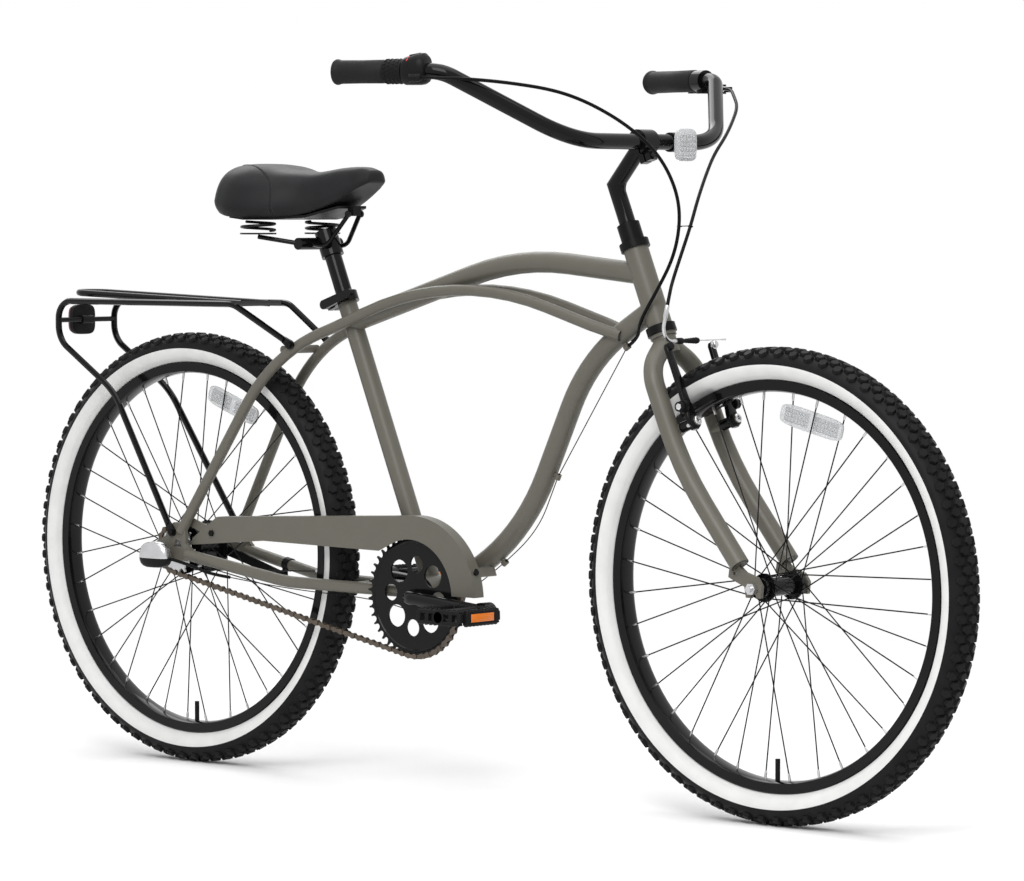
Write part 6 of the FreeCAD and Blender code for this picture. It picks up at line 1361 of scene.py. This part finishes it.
@dataclass
class Cables:
    """Brake and gear cables: housings, bare wire, bent lead pipe and rubber boot."""

    layout: Layout
    housing: float = 0.005
    wire: float = 0.0015

    SHIFT_ROUTE = [
        (0.19564, -0.32486, 1.03418), (0.21683, -0.31893, 1.03412), (0.25594, -0.27797, 1.03103),
        (0.27820, -0.23391, 1.02706), (0.30431, -0.17805, 1.01900), (0.32623, -0.14001, 1.00605),
        (0.35087, -0.10503, 0.98505), (0.37017, -0.07494, 0.96177), (0.38550, -0.04826, 0.93508),
        (0.39402, -0.02498, 0.90159), (0.39629, -0.00795, 0.86412), (0.39515, -0.00511, 0.82551),
        (0.38834, -0.01136, 0.78349), (0.36904, -0.02157, 0.74035), (0.33838, -0.02441, 0.69493),
        (0.31774, 0.0, 0.67194), (0.29925, 0.0, 0.66002),
    ]
    WIRE_ROUTE = [
        (0.29589, 0.0, 0.65785), (0.17388, 0.0, 0.47838), (0.16713, 0.0, 0.46845), (0.16198, 0.0, 0.45761),
        (0.12958, 0.0, 0.38937), (0.05306, 0.0, 0.32982), (-0.05945, -0.0064, 0.25795),
        (-0.06955, -0.0070, 0.25150), (-0.08076, -0.01005, 0.25451), (-0.16465, -0.03293, 0.27706),
        (-0.33157, -0.04485, 0.28217), (-0.43717, -0.05905, 0.29523),
    ]
    HUB_ROUTE = [
        (-0.43717, -0.05905, 0.29523), (-0.47123, -0.07154, 0.29977), (-0.49508, -0.08062, 0.31113),
        (-0.54175, -0.08550, 0.32000),
    ]
    BRAKE_ROUTE = [
        (0.20887, 0.32427, 1.03114), (0.23006, 0.31834, 1.03108), (0.25435, 0.29523, 1.01911),
        (0.28728, 0.26230, 1.00265), (0.30999, 0.22256, 0.98107), (0.33157, 0.17827, 0.95723),
        (0.34746, 0.13172, 0.93111), (0.36790, 0.08630, 0.89932), (0.38834, 0.04315, 0.86525),
        (0.39970, 0.01363, 0.82891), (0.40253, -0.01079, 0.78917), (0.40197, -0.02952, 0.75170),
        (0.41381, -0.05054, 0.73339), (0.41106, -0.05400, 0.70980),
    ]
    PIPE_CORNERS = [(0.41106, -0.054, 0.7098), (0.40629, -0.060, 0.66889), (0.40629, -0.022, 0.66889)]
    FERRULE = [(0.0, -0.010), (0.0030, -0.010), (0.0034, -0.009), (0.0034, 0.007), (0.0028, 0.009),
               (0.0, 0.009)]
    BOOT_COLLAR = [(0.0, -0.002), (0.0042, -0.002), (0.0046, 0.0), (0.0046, 0.008), (0.0038, 0.010),
                   (0.0029, 0.014)]
    WIRE_CAP = [(0.0, -0.010), (0.0012, -0.010), (0.0013, -0.001), (0.0006, 0.0), (0.0, 0.0)]

    def routed(self, route: Sequence[tuple[float, float, float]]) -> Line:
        """A route's points in the model's frame."""
        return [self.layout.plane_point(*point) for point in route]

    def curve(self, name: str, route: Sequence[tuple[float, float, float]], diameter: float,
              finish: Finish) -> bpy.types.Object:
        """A smooth cable whose spline has the route as its control points.

        Args:
            name: The piece's name.
            route: Control points from the wheel plane.
            diameter: The cable's thickness, or zero for a bare line.
            finish: The surface finish.

        Returns:
            The curve object.
        """
        points = self.routed(route)
        curve = bpy.data.curves.new(name, "CURVE")
        curve.dimensions = "3D"
        curve.bevel_depth = diameter / 2
        curve.bevel_resolution = 4
        curve.use_fill_caps = True
        spline = curve.splines.new("NURBS")
        spline.points.add(len(points) - 1)
        for control, point in zip(spline.points, points):
            control.co = (*point, 1.0)
        spline.order_u = 3
        spline.use_endpoint_u = True
        spline.resolution_u = 10
        curve.materials.append(finish.material())
        piece = bpy.data.objects.new(name, curve)
        bpy.context.scene.collection.objects.link(piece)
        return piece

    def bare_line(self, route: Sequence[tuple[float, float, float]]) -> Line:
        """Points along a route's smooth curve."""
        guide = self.curve("cable_line", route, 0.0, CABLE)
        graph = bpy.context.evaluated_depsgraph_get()
        mesh = bpy.data.meshes.new_from_object(guide.evaluated_get(graph), depsgraph=graph)
        line = [vertex.co.copy() for vertex in mesh.vertices]
        bpy.data.objects.remove(guide)
        bpy.data.meshes.remove(mesh)
        return line

    def shift(self) -> None:
        """Housing from the shifter to the frame, the bare wire below it and the housing at the hub."""
        line = self.bare_line(self.SHIFT_ROUTE)
        front = tube("shift_housing", line, self.housing / 2, CABLE, 16)
        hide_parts("shift_cable_front")
        ends = self.routed(self.SHIFT_ROUTE)
        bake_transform(front)
        wire = self.curve("shift_wire", self.WIRE_ROUTE, self.wire, CABLE)
        report(wire, "frame", "shift_cable_rear")
        tuple(self.routed(self.WIRE_ROUTE)[0])
        tail = self.curve("hub_housing", self.HUB_ROUTE, self.housing, CABLE)
        report(tail, "frame")
        tuple(self.routed(self.HUB_ROUTE)[-1])

    def brake(self) -> None:
        """Brake housing with its lead pipe, boot and inner wire."""
        housing = self.curve("brake_housing", self.BRAKE_ROUTE, self.housing, CABLE)
        report(housing, "steering", "brake_cable")
        tuple(self.routed(self.BRAKE_ROUTE)[0])
        top, corner, end = self.routed(self.PIPE_CORNERS)
        fall = (corner - top).normalized()
        pipe = tube("lead_pipe_tube", bent_line([top, corner, end], [0.022]), 0.0025, STEEL, 16)
        ferrule = lathe("lead_pipe_ferrule", self.FERRULE, top, fall, STEEL, 20, closed=False)
        report(joined("lead_pipe", [pipe, ferrule]), "steering")
        boot = list(self.BOOT_COLLAR)
        for step in range(5):
            reach = 0.016 + step * 0.0055
            radius = 0.0030 + step * 0.00032
            boot += [(radius, reach), (radius + 0.0005, reach + 0.002), (radius, reach + 0.004)]
        boot += [(0.0040, 0.0440), (0.0, 0.0440)]
        report(lathe("cable_boot", boot, end, Y_AXIS, RUBBER, 24, closed=False), "steering")
        start = end + Y_AXIS * 0.044
        wire = tube("brake_wire_run", [start, start + Y_AXIS * 0.063], 0.0008, STEEL, 10)
        cap = lathe("brake_wire_cap", self.WIRE_CAP, start + Y_AXIS * 0.064, Y_AXIS, STEEL, 12,
                    closed=False)
        report(joined("brake_wire", [wire, cap]), "steering")

    def clip(self) -> None:
        """The small wire clip that holds both housings together."""
        lines = []
        for spot, along in ((Vector((0.3986, 0.0150, 0.8290)), Vector((0.12, -0.35, -0.93))),
                            (Vector((0.3955, -0.0060, 0.8290)), Vector((-0.1, 0.0, -0.99)))):
            place = self.layout.plane_point(*spot)
            side = along.orthogonal().normalized()
            across = along.normalized().cross(side)
            turns = [2 * math.pi * step / 20 for step in range(21)]
            lines.append([place + (side * math.cos(turn) + across * math.sin(turn)) * 0.0032
                          for turn in turns])
        gap = lines[1][0] - lines[0][0]
        lines.append([lines[0][0] + gap * (step / 4) for step in range(5)])
        pieces = [tube(f"cable_clip_{number}", line, 0.0007, SATIN_BLACK, 8)
                  for number, line in enumerate(lines)]
        report(joined("cable_clip", pieces), "steering")

    def build(self) -> None:
        """Build both cables."""
        self.shift()
        self.brake()
        self.clip()


@dataclass
class Seat:
    """Sprung saddle on its post."""

    layout: Layout
    patterns: Patterns
    length: float = 0.262
    back_reach: float = 0.116
    half_width: float = 0.107
    floor: float = 0.846
    rise: float = 0.076
    waist_share: float = 0.22
    flare: float = 0.16
    tuck_share: float = 0.14
    tuck_depth: float = 0.09
    spring_reach: float = 0.203
    spring_offset: float = 0.070
    spring_radius: float = 0.025
    spring_wire: float = 0.0022
    spring_turns: float = 1.5
    spring_steps: int = 90
    spring_seat: float = 0.0025

    SECTIONS = [
        (0.0, 0.46, 0.30, 0.84), (0.05, 0.82, 0.10, 0.96), (0.14, 0.96, -0.02, 1.0),
        (0.26, 1.0, -0.06, 0.98), (0.42, 0.84, -0.06, 0.87), (0.60, 0.54, 0.0, 0.83),
        (0.80, 0.36, 0.24, 0.91), (0.93, 0.29, 0.48, 0.92), (1.0, 0.20, 0.60, 0.86),
    ]

    def along(self, place: float) -> tuple[float, float, float]:
        """Half width, floor and crown shares at a place along the saddle, on a smooth curve."""
        rows = self.SECTIONS
        number = max(n for n in range(len(rows) - 1) if rows[n][0] <= place or n == 0)
        last = len(rows) - 1
        before, start, end, after = (rows[max(0, min(last, number + step))] for step in (-1, 0, 1, 2))
        share = (place - start[0]) / (end[0] - start[0])
        values = []
        for column in (1, 2, 3):
            lead = (end[column] - before[column]) / max(end[0] - before[0], 0.01)
            trail = (after[column] - start[column]) / max(after[0] - start[0], 0.01)
            width = end[0] - start[0]
            values.append(
                (2 * share**3 - 3 * share**2 + 1) * start[column]
                + (share**3 - 2 * share**2 + share) * width * lead
                + (3 * share**2 - 2 * share**3) * end[column] + (share**3 - share**2) * width * trail
            )
        return values[0], values[1], values[2]

    def surface(self, place: float, around: float) -> Vector:
        """A point of the saddle's skin.

        Args:
            place: Share along the saddle, from the back.
            around: From 0 at the right edge over the top to 1 at the left edge.

        Returns:
            The point.
        """
        width, low, high = self.along(place)
        waist = low + self.waist_share * (high - low)
        tuck = self.tuck_share
        if tuck <= around <= 1 - tuck:
            angle = math.pi * (around - tuck) / (1 - 2 * tuck)
            climb = math.sin(angle) ** 0.68
            across = math.copysign(abs(math.cos(angle)) ** 0.66, math.cos(angle))
            y = -across * width * (1 - self.flare * climb)
            z = waist + (high - waist) * climb
        else:
            under = 1 - min(around, 1 - around) / tuck
            y = math.copysign(width * (1 - self.tuck_depth * under**2), around - 0.5)
            z = waist - (waist - low) * under
        x = self.layout.rear.x + self.back_reach + place * self.length
        return Vector((x, self.layout.middle + y * self.half_width, self.floor + z * self.rise))

    def cover(self) -> bpy.types.Object:
        """The padded cover: crowned, with full sides that tuck in above a flat floor."""
        steps, rounds = 56, 44
        rings = []
        for step in range(steps + 1):
            place = 0.5 - 0.5 * math.cos(math.pi * step / steps)
            over = [self.surface(place, number / rounds) for number in range(rounds + 1)]
            right, left = over[0], over[-1]
            rings.append(over + [right.lerp(left, share) for share in (0.92, 0.62, 0.38, 0.08)])
        for end, out in ((rings[0], -0.5), (rings[-1], 1.0)):
            middle = sum(end, Vector()) / len(end)
            caps = [[point.lerp(middle, share) + Vector((out * bulge, 0, 0)) for point in end]
                    for share, bulge in ((0.16, 0.0026), (0.38, 0.0046), (0.66, 0.0058), (0.9, 0.0061))]
            rings = list(reversed(caps)) + rings if out < 0 else rings + caps
        return loft("saddle_padding", rings, VINYL, 60)

    def seam_spot(self, share: float, step: float = 0.0) -> tuple[float, float]:
        """Place and turn of the side seam, from the rear top edge down to the lower edge."""
        return 0.05 + 0.42 * (1 - (1 - share)**3) + step, 0.44 * (1 - share**1.5)

    def seams(self) -> list[bpy.types.Object]:
        """A sewn seam on each side, with a row of stitches either side of it."""
        lines = []
        places = []
        for mirror in (False, True):

            def spot(share: float, step: float = 0.0) -> Vector:
                """A point on this side's seam."""
                place, around = self.seam_spot(share, step)
                return self.surface(place, 1 - around if mirror else around)

            lines.append([spot(0.02 + 0.98 * number / 44) for number in range(45)])
            for row in (-0.0095, 0.0095):
                for number in range(2, 58):
                    share = number / 60
                    ahead = spot(share + 0.01, row) - spot(share, row)
                    over = spot(share, row + 0.02) - spot(share, row - 0.02)
                    out = ahead.cross(over)
                    if out.y * (1 if mirror else -1) < 0:
                        out = -out
                    places.append(facing(spot(share, row), out, ahead))
        cord = self.patterns.draw_wires("saddle_seam_cords", lines, 0.0008, VINYL)
        stitch = block_shape("saddle_stitch", (0.0020, 0.0007, 0.0006), 0.7, THREAD, 0.0001)
        stitches = self.patterns.place_copies("saddle_stitches", stitch, places, THREAD)
        return [cord, stitches]

    def springs(self) -> bpy.types.Object:
        """Both coil springs as smooth wire."""
        low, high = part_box("saddle_springs")
        bottom, top = low[2] + self.spring_seat, high[2] - self.spring_seat
        coils = []
        for side in (-1, 1):
            x = self.layout.rear.x + self.spring_reach
            y = self.layout.middle + side * self.spring_offset
            line = []
            for step in range(self.spring_steps + 1):
                share = step / self.spring_steps
                angle = 2 * math.pi * self.spring_turns * share
                out = self.spring_radius * math.cos(angle)
                across = -side * self.spring_radius * math.sin(angle)
                line.append(Vector((x + out, y + across, bottom + (top - bottom) * share)))
            coils.append(tube(f"spring_{side}", line, self.spring_wire, GLOSS_BLACK, 14))
        return joined("saddle_spring_coils", coils)

    def build(self) -> None:
        """Build the saddle and dress the post."""
        cover = report(self.cover(), "saddle", "saddle_cover")
        for piece in self.seams():
            report(piece, "saddle")
        springs = report(self.springs(), "seat_post", "saddle_springs")
        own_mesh(springs)
        dress("saddle_base", PLASTIC)
        for node in ("saddle_rails", "seat_post", "seat_collar", "seat_clamp_lever"):
            dress(node, GLOSS_BLACK)


@dataclass
class Rack:
    """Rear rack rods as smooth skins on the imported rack."""

    layout: Layout
    patterns: Patterns
    rod: float = 0.0052
    top: float = 0.710

    def at(self, reach: float, offset: float, height: float) -> Vector:
        """A point of the rack from the rear axle."""
        return Vector((self.layout.rear.x + reach, self.layout.middle + offset, height))

    def build(self) -> None:
        """Build the rods and dress the rack and its reflector."""
        loop = [self.at(0.128, -0.030, self.top), self.at(-0.243, -0.030, self.top + 0.013),
                self.at(-0.243, 0.030, self.top + 0.013), self.at(0.128, 0.030, self.top)]
        report(tube("rack_loop_skin", bent_line(loop, [0.026, 0.026]), self.rod, GLOSS_BLACK, 20), "frame")
        dress("rack", GLOSS_BLACK)
        self.reflector()

    def reflector(self) -> None:
        """The rear reflector: a black holder clipped to the rack and a red lens with prisms."""
        low, high = (Vector(corner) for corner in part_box("rear_reflector"))
        middle = (low + high) / 2
        face = Vector((low.x, middle.y, middle.z))
        ahead = X_AXIS
        plate = loft("rear_holder_plate", [
            ring(face + ahead * reach, Y_AXIS, Z_AXIS, half - inset, half - 0.001 - inset, 0.5, 36)
            for reach, half, inset in ((0.0075, 0.0244, 0.0006), (0.008, 0.0244, 0), (0.0146, 0.0244, 0),
                                       (0.0150, 0.0244, 0.0006))], PLASTIC)
        rod = Vector((high.x - 0.007, middle.y, middle.z))
        clip = tube("rear_holder_clip", [rod - Y_AXIS * 0.0115, rod + Y_AXIS * 0.0115], 0.0069, PLASTIC, 24)
        report(joined("rear_reflector_holder", [plate, clip]), "frame")
        block = loft("rear_lens_block", [
            ring(face + ahead * reach, Y_AXIS, Z_AXIS, 0.023 - inset, 0.022 - inset, 0.5, 36)
            for reach, inset in ((0.0012, 0.0022), (0.0028, 0.0004), (0.009, 0.0))], DARK_RED, 25)
        places = []
        for column in range(-3, 4):
            for row in range(-3, 4):
                spot = face + Vector((0.0014, column * 0.0052, row * 0.0050))
                places.append(facing(spot, -ahead, Z_AXIS))
        prism = block_shape("rear_prism", (0.0046, 0.0048, 0.0012), 0.25, DARK_RED, 0.0001)
        prisms = self.patterns.place_copies("rear_lens_prisms", prism, places, DARK_RED)
        report(joined("rear_lens", [block, prisms]), "frame", "rear_reflector")


@dataclass
class Brake:
    """Front brake arms with their bolts, washers and pads."""

    layout: Layout
    boss_along: float = 0.252
    boss_ahead: float = 0.0342
    boss_offset: float = 0.045
    half_depth: float = 0.0045
    post_reach: float = 0.44317
    post_height: float = 0.57940
    screw_along: float = -0.004
    screw_out: float = 0.0105
    tip_along: float = 0.112
    tip_out: float = 0.004

    BOSS_COVER = [(0.0, -0.002), (0.0102, -0.002), (0.0100, 0.001), (0.0088, 0.0028), (0.0, 0.0028)]
    BOSS_BOLT = [(0.0, 0.002), (0.0066, 0.002), (0.0066, 0.0058), (0.0058, 0.0066), (0.0036, 0.0066),
                 (0.0034, 0.0044), (0.0, 0.0044)]
    BOSS_SLEEVE = [(0.0071, -0.016), (0.0079, -0.016), (0.0079, -0.0002), (0.0071, -0.0002)]
    PAD_WASHER = [(0.0, -0.0125), (0.0092, -0.0125), (0.0098, -0.0105), (0.0086, -0.0072), (0.0, -0.0072)]
    PAD_NUT = [(0.0, -0.001), (0.0048, -0.001), (0.0048, 0.0004), (0.0038, 0.0010), (0.0, 0.0010)]
    SPRING_SCREW = [(0.0, -0.002), (0.0024, -0.002), (0.0024, 0.003), (0.0, 0.003)]
    WIRE_ANCHOR = [(0.0, -0.001), (0.0068, -0.001), (0.0068, 0.0012), (0.0050, 0.0016), (0.0050, 0.0046),
                   (0.0042, 0.0054), (0.0, 0.0054)]
    PIPE_HOLDER = [(0.0, -0.001), (0.0058, -0.001), (0.0058, 0.0030), (0.0048, 0.0042), (0.0, 0.0042)]
    ROWS = [
        (-0.0105, 0.0, 0.0055, 0.0036), (-0.0075, 0.0, 0.0088, 0.0045), (0.0, 0.0, 0.0112, 0.0046),
        (0.010, 0.0003, 0.0104, 0.0046), (0.020, 0.0010, 0.0088, 0.0045), (0.034, 0.0018, 0.0074, 0.0043),
        (0.060, 0.0026, 0.0066, 0.0042), (0.086, 0.0034, 0.0058, 0.0042), (0.104, 0.0039, 0.0056, 0.0043),
        (0.112, 0.0040, 0.0056, 0.0043), (0.1165, 0.0040, 0.0034, 0.0032),
    ]

    def spot(self, side: str, along: float, out: float, ahead: float) -> Vector:
        """A point of one arm, from the middle of its boss."""
        offset = -(self.boss_offset + out)
        point = self.layout.on_steering(self.boss_along + along, self.boss_ahead + ahead, offset)
        return point if side == "right" else self.layout.left_of(point)

    def arm(self, side: str) -> bpy.types.Object:
        """One arm, round at its boss and slim above it."""
        ahead = self.layout.steer_ahead
        rings = [ring(self.spot(side, along, out, self.half_depth), Y_AXIS, ahead, width, depth, 0.62, 28)
                 for along, out, width, depth in self.ROWS]
        return loft(f"brake_arm_form_{side}", rings, GLOSS_BLACK)

    def bolts(self, side: str) -> list[bpy.types.Object]:
        """Boss cover with its bolt, pad nut with washers, and the small spring screw."""
        ahead = self.layout.steer_ahead
        sign = -1 if side == "right" else 1
        face = self.spot(side, 0.0, 0.0, 2 * self.half_depth)
        low, high = (Vector(corner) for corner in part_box(f"brake_pad_{side}"))
        post = Vector((self.post_reach, low.y if sign < 0 else high.y, self.post_height))
        out = Y_AXIS * sign
        seat = self.spot(side, self.screw_along, self.screw_out, self.half_depth)
        fittings = (
            ("boss_cover", self.BOSS_COVER, face, ahead, SATIN_BLACK, 32),
            ("boss_bolt", self.BOSS_BOLT, face, ahead, STEEL, 24),
            ("pad_washer", self.PAD_WASHER, post, out, SATIN_BLACK, 28),
            ("pad_nut", self.PAD_NUT, post, out, STEEL, 6),
            ("spring_screw", self.SPRING_SCREW, seat, out, STEEL, 14),
        )
        pieces = [lathe(f"{name}_{side}", profile, place, axis, finish, segments, closed=False)
                  for name, profile, place, axis, finish, segments in fittings]
        root = self.spot(side, 0.0, 0.0, 0.0)
        report(lathe(f"boss_sleeve_{side}", self.BOSS_SLEEVE, root, ahead, GLOSS_BLACK, 28), "steering")
        return pieces

    def build(self) -> None:
        """Build the arms with their fittings and dress the pads."""
        ahead = self.layout.steer_ahead
        for side in ("right", "left"):
            body = f"brake_{side}"
            report(self.arm(side), body, f"brake_arm_{side}")
            for piece in self.bolts(side):
                report(piece, body)
            dress(f"brake_pad_{side}", RUBBER)
        for name, profile, side, finish in (("wire_anchor", self.WIRE_ANCHOR, "left", STEEL),
                                            ("pipe_holder", self.PIPE_HOLDER, "right", SATIN_BLACK)):
            tip = self.spot(side, self.tip_along, self.tip_out, 2 * self.half_depth)
            report(lathe(name, profile, tip, ahead, finish, 24, closed=False), f"brake_{side}")


@dataclass
class Studio:
    """Floor, lights and the camera at the photographed angle."""

    layout: Layout
    azimuth: float = 41.08
    elevation: float = 2.88
    distance: float = 6.622
    focal_pixels: float = 4564.0
    image_width: float = 1024.0
    sensor: float = 36.0
    aim_reach: float = 0.647
    aim_height: float = 0.518
    clip_end: float = 50.0
    floor_half: float = 4.0
    floor_shade: float = 0.93
    floor_roughness: float = 0.9
    fade_start: float = 1.1
    fade_end: float = 2.6
    lamp_aim: float = 0.45
    soft_light: float = 0.56

    LAMPS = [("key", (1.6, -3.2, 3.4), 2.4, 110), ("fill", (0.4, -0.2, 4.2), 4.0, 100),
             ("rear", (-2.6, 1.8, 3.2), 2.0, 30)]

    def camera(self) -> None:
        """Set the camera that frames the bicycle as in the photo."""
        azimuth, elevation = math.radians(self.azimuth), math.radians(self.elevation)
        back = Vector((math.sin(azimuth) * math.cos(elevation), -math.cos(azimuth) * math.cos(elevation),
                       math.sin(elevation)))
        aim = Vector((self.layout.rear.x + self.aim_reach, self.layout.middle, self.aim_height))
        data = bpy.data.cameras.new("camera")
        data.sensor_fit = "HORIZONTAL"
        data.sensor_width = self.sensor
        data.lens = self.focal_pixels * self.sensor / self.image_width
        data.clip_end = self.clip_end
        camera = bpy.data.objects.new("camera", data)
        camera.location = aim + back * self.distance
        camera.rotation_euler = (-back).to_track_quat("-Z", "Y").to_euler()
        bpy.context.scene.collection.objects.link(camera)
        bpy.context.scene.camera = camera

    def floor(self) -> None:
        """A pale floor that fades out round the bicycle."""
        corners = ((-1, -1), (1, -1), (1, 1), (-1, 1))
        points = [Vector((x * self.floor_half, y * self.floor_half, 0)) for x, y in corners]
        floor = mesh_piece("floor", points, [(0, 1, 2, 3)], WHITE_RUBBER)
        material = bpy.data.materials.new("pale_floor")
        material.use_nodes = True
        tree = material.node_tree
        shader = tree.nodes["Principled BSDF"]
        set_inputs(shader, {"Base Color": (*[self.floor_shade] * 3, 1), "Roughness": self.floor_roughness})
        place, reach, fade, clear, mix = (tree.nodes.new(f"ShaderNode{kind}") for kind in (
            "TexCoord", "VectorMath", "MapRange", "BsdfTransparent", "MixShader"))
        reach.operation = "LENGTH"
        fade.interpolation_type = "SMOOTHSTEP"
        set_inputs(fade, {"From Min": self.fade_start, "From Max": self.fade_end})
        link_rows(tree, [
            (place, "Object", reach, 0), (reach, "Value", fade, "Value"), (fade, "Result", mix, "Fac"),
            (shader, "BSDF", mix, 1), (clear, "BSDF", mix, 2),
            (mix, "Shader", tree.nodes["Material Output"], "Surface"),
        ])
        floor.data.materials.clear()
        floor.data.materials.append(material)

    def light(self, name: str, place: Vector, size: float, power: float) -> None:
        """A soft square lamp aimed at the bicycle."""
        data = bpy.data.lights.new(name, "AREA")
        data.size = size
        data.energy = power
        lamp = bpy.data.objects.new(name, data)
        lamp.location = place
        lamp.rotation_euler = (Z_AXIS * self.lamp_aim - place).to_track_quat("-Z", "Y").to_euler()
        bpy.context.scene.collection.objects.link(lamp)

    def world(self) -> None:
        """White surroundings for the camera and softer light for the object."""
        world = bpy.data.worlds.new("studio")
        bpy.context.scene.world = world
        world.use_nodes = True
        tree = world.node_tree
        path, seen, mix = (tree.nodes.new(f"ShaderNode{kind}") for kind in (
            "LightPath", "Background", "MixShader"))
        soft = tree.nodes["Background"]
        for node, strength in ((seen, 1.0), (soft, self.soft_light)):
            set_inputs(node, {"Color": (1, 1, 1, 1), "Strength": strength})
        shown = path.outputs["Is Camera Ray"]
        for ray in ("Is Glossy Ray", "Is Transmission Ray"):
            either = tree.nodes.new("ShaderNodeMath")
            either.operation = "MAXIMUM"
            tree.links.new(shown, either.inputs[0])
            tree.links.new(path.outputs[ray], either.inputs[1])
            shown = either.outputs["Value"]
        tree.links.new(shown, mix.inputs["Fac"])
        link_rows(tree, [
            (soft, "Background", mix, 1), (seen, "Background", mix, 2),
            (mix, "Shader", tree.nodes["World Output"], "Surface"),
        ])

    def build(self) -> None:
        """Set the stage."""
        bpy.context.scene.view_settings.view_transform = "Standard"
        self.camera()
        self.floor()
        self.world()
        for name, place, size, power in self.LAMPS:
            self.light(name, Vector(place), size, power)


def main() -> None:
    """Build every class in order."""
    logging.basicConfig(level=logging.INFO, format="%(message)s")
    layout = Layout()
    patterns = Patterns()
    Studio(layout).build()
    Cables(layout).build()
    FrameTubes(layout).build()
    Fork(layout).build()
    Wheel(layout, patterns, "front", layout.front, hole_radius=0.0165, flange_offset=0.031,
          lens_turn=76.0).build()
    Wheel(layout, patterns, "rear", layout.rear, hole_radius=0.0365, flange_offset=0.028,
          lens_turn=70.0).build()
    Drive(layout, patterns).build()
    Cockpit(layout, patterns).build()
    Brake(layout).build()
    Seat(layout, patterns).build()
    Rack(layout, patterns).build()


if __name__ == "__main__":
    main()
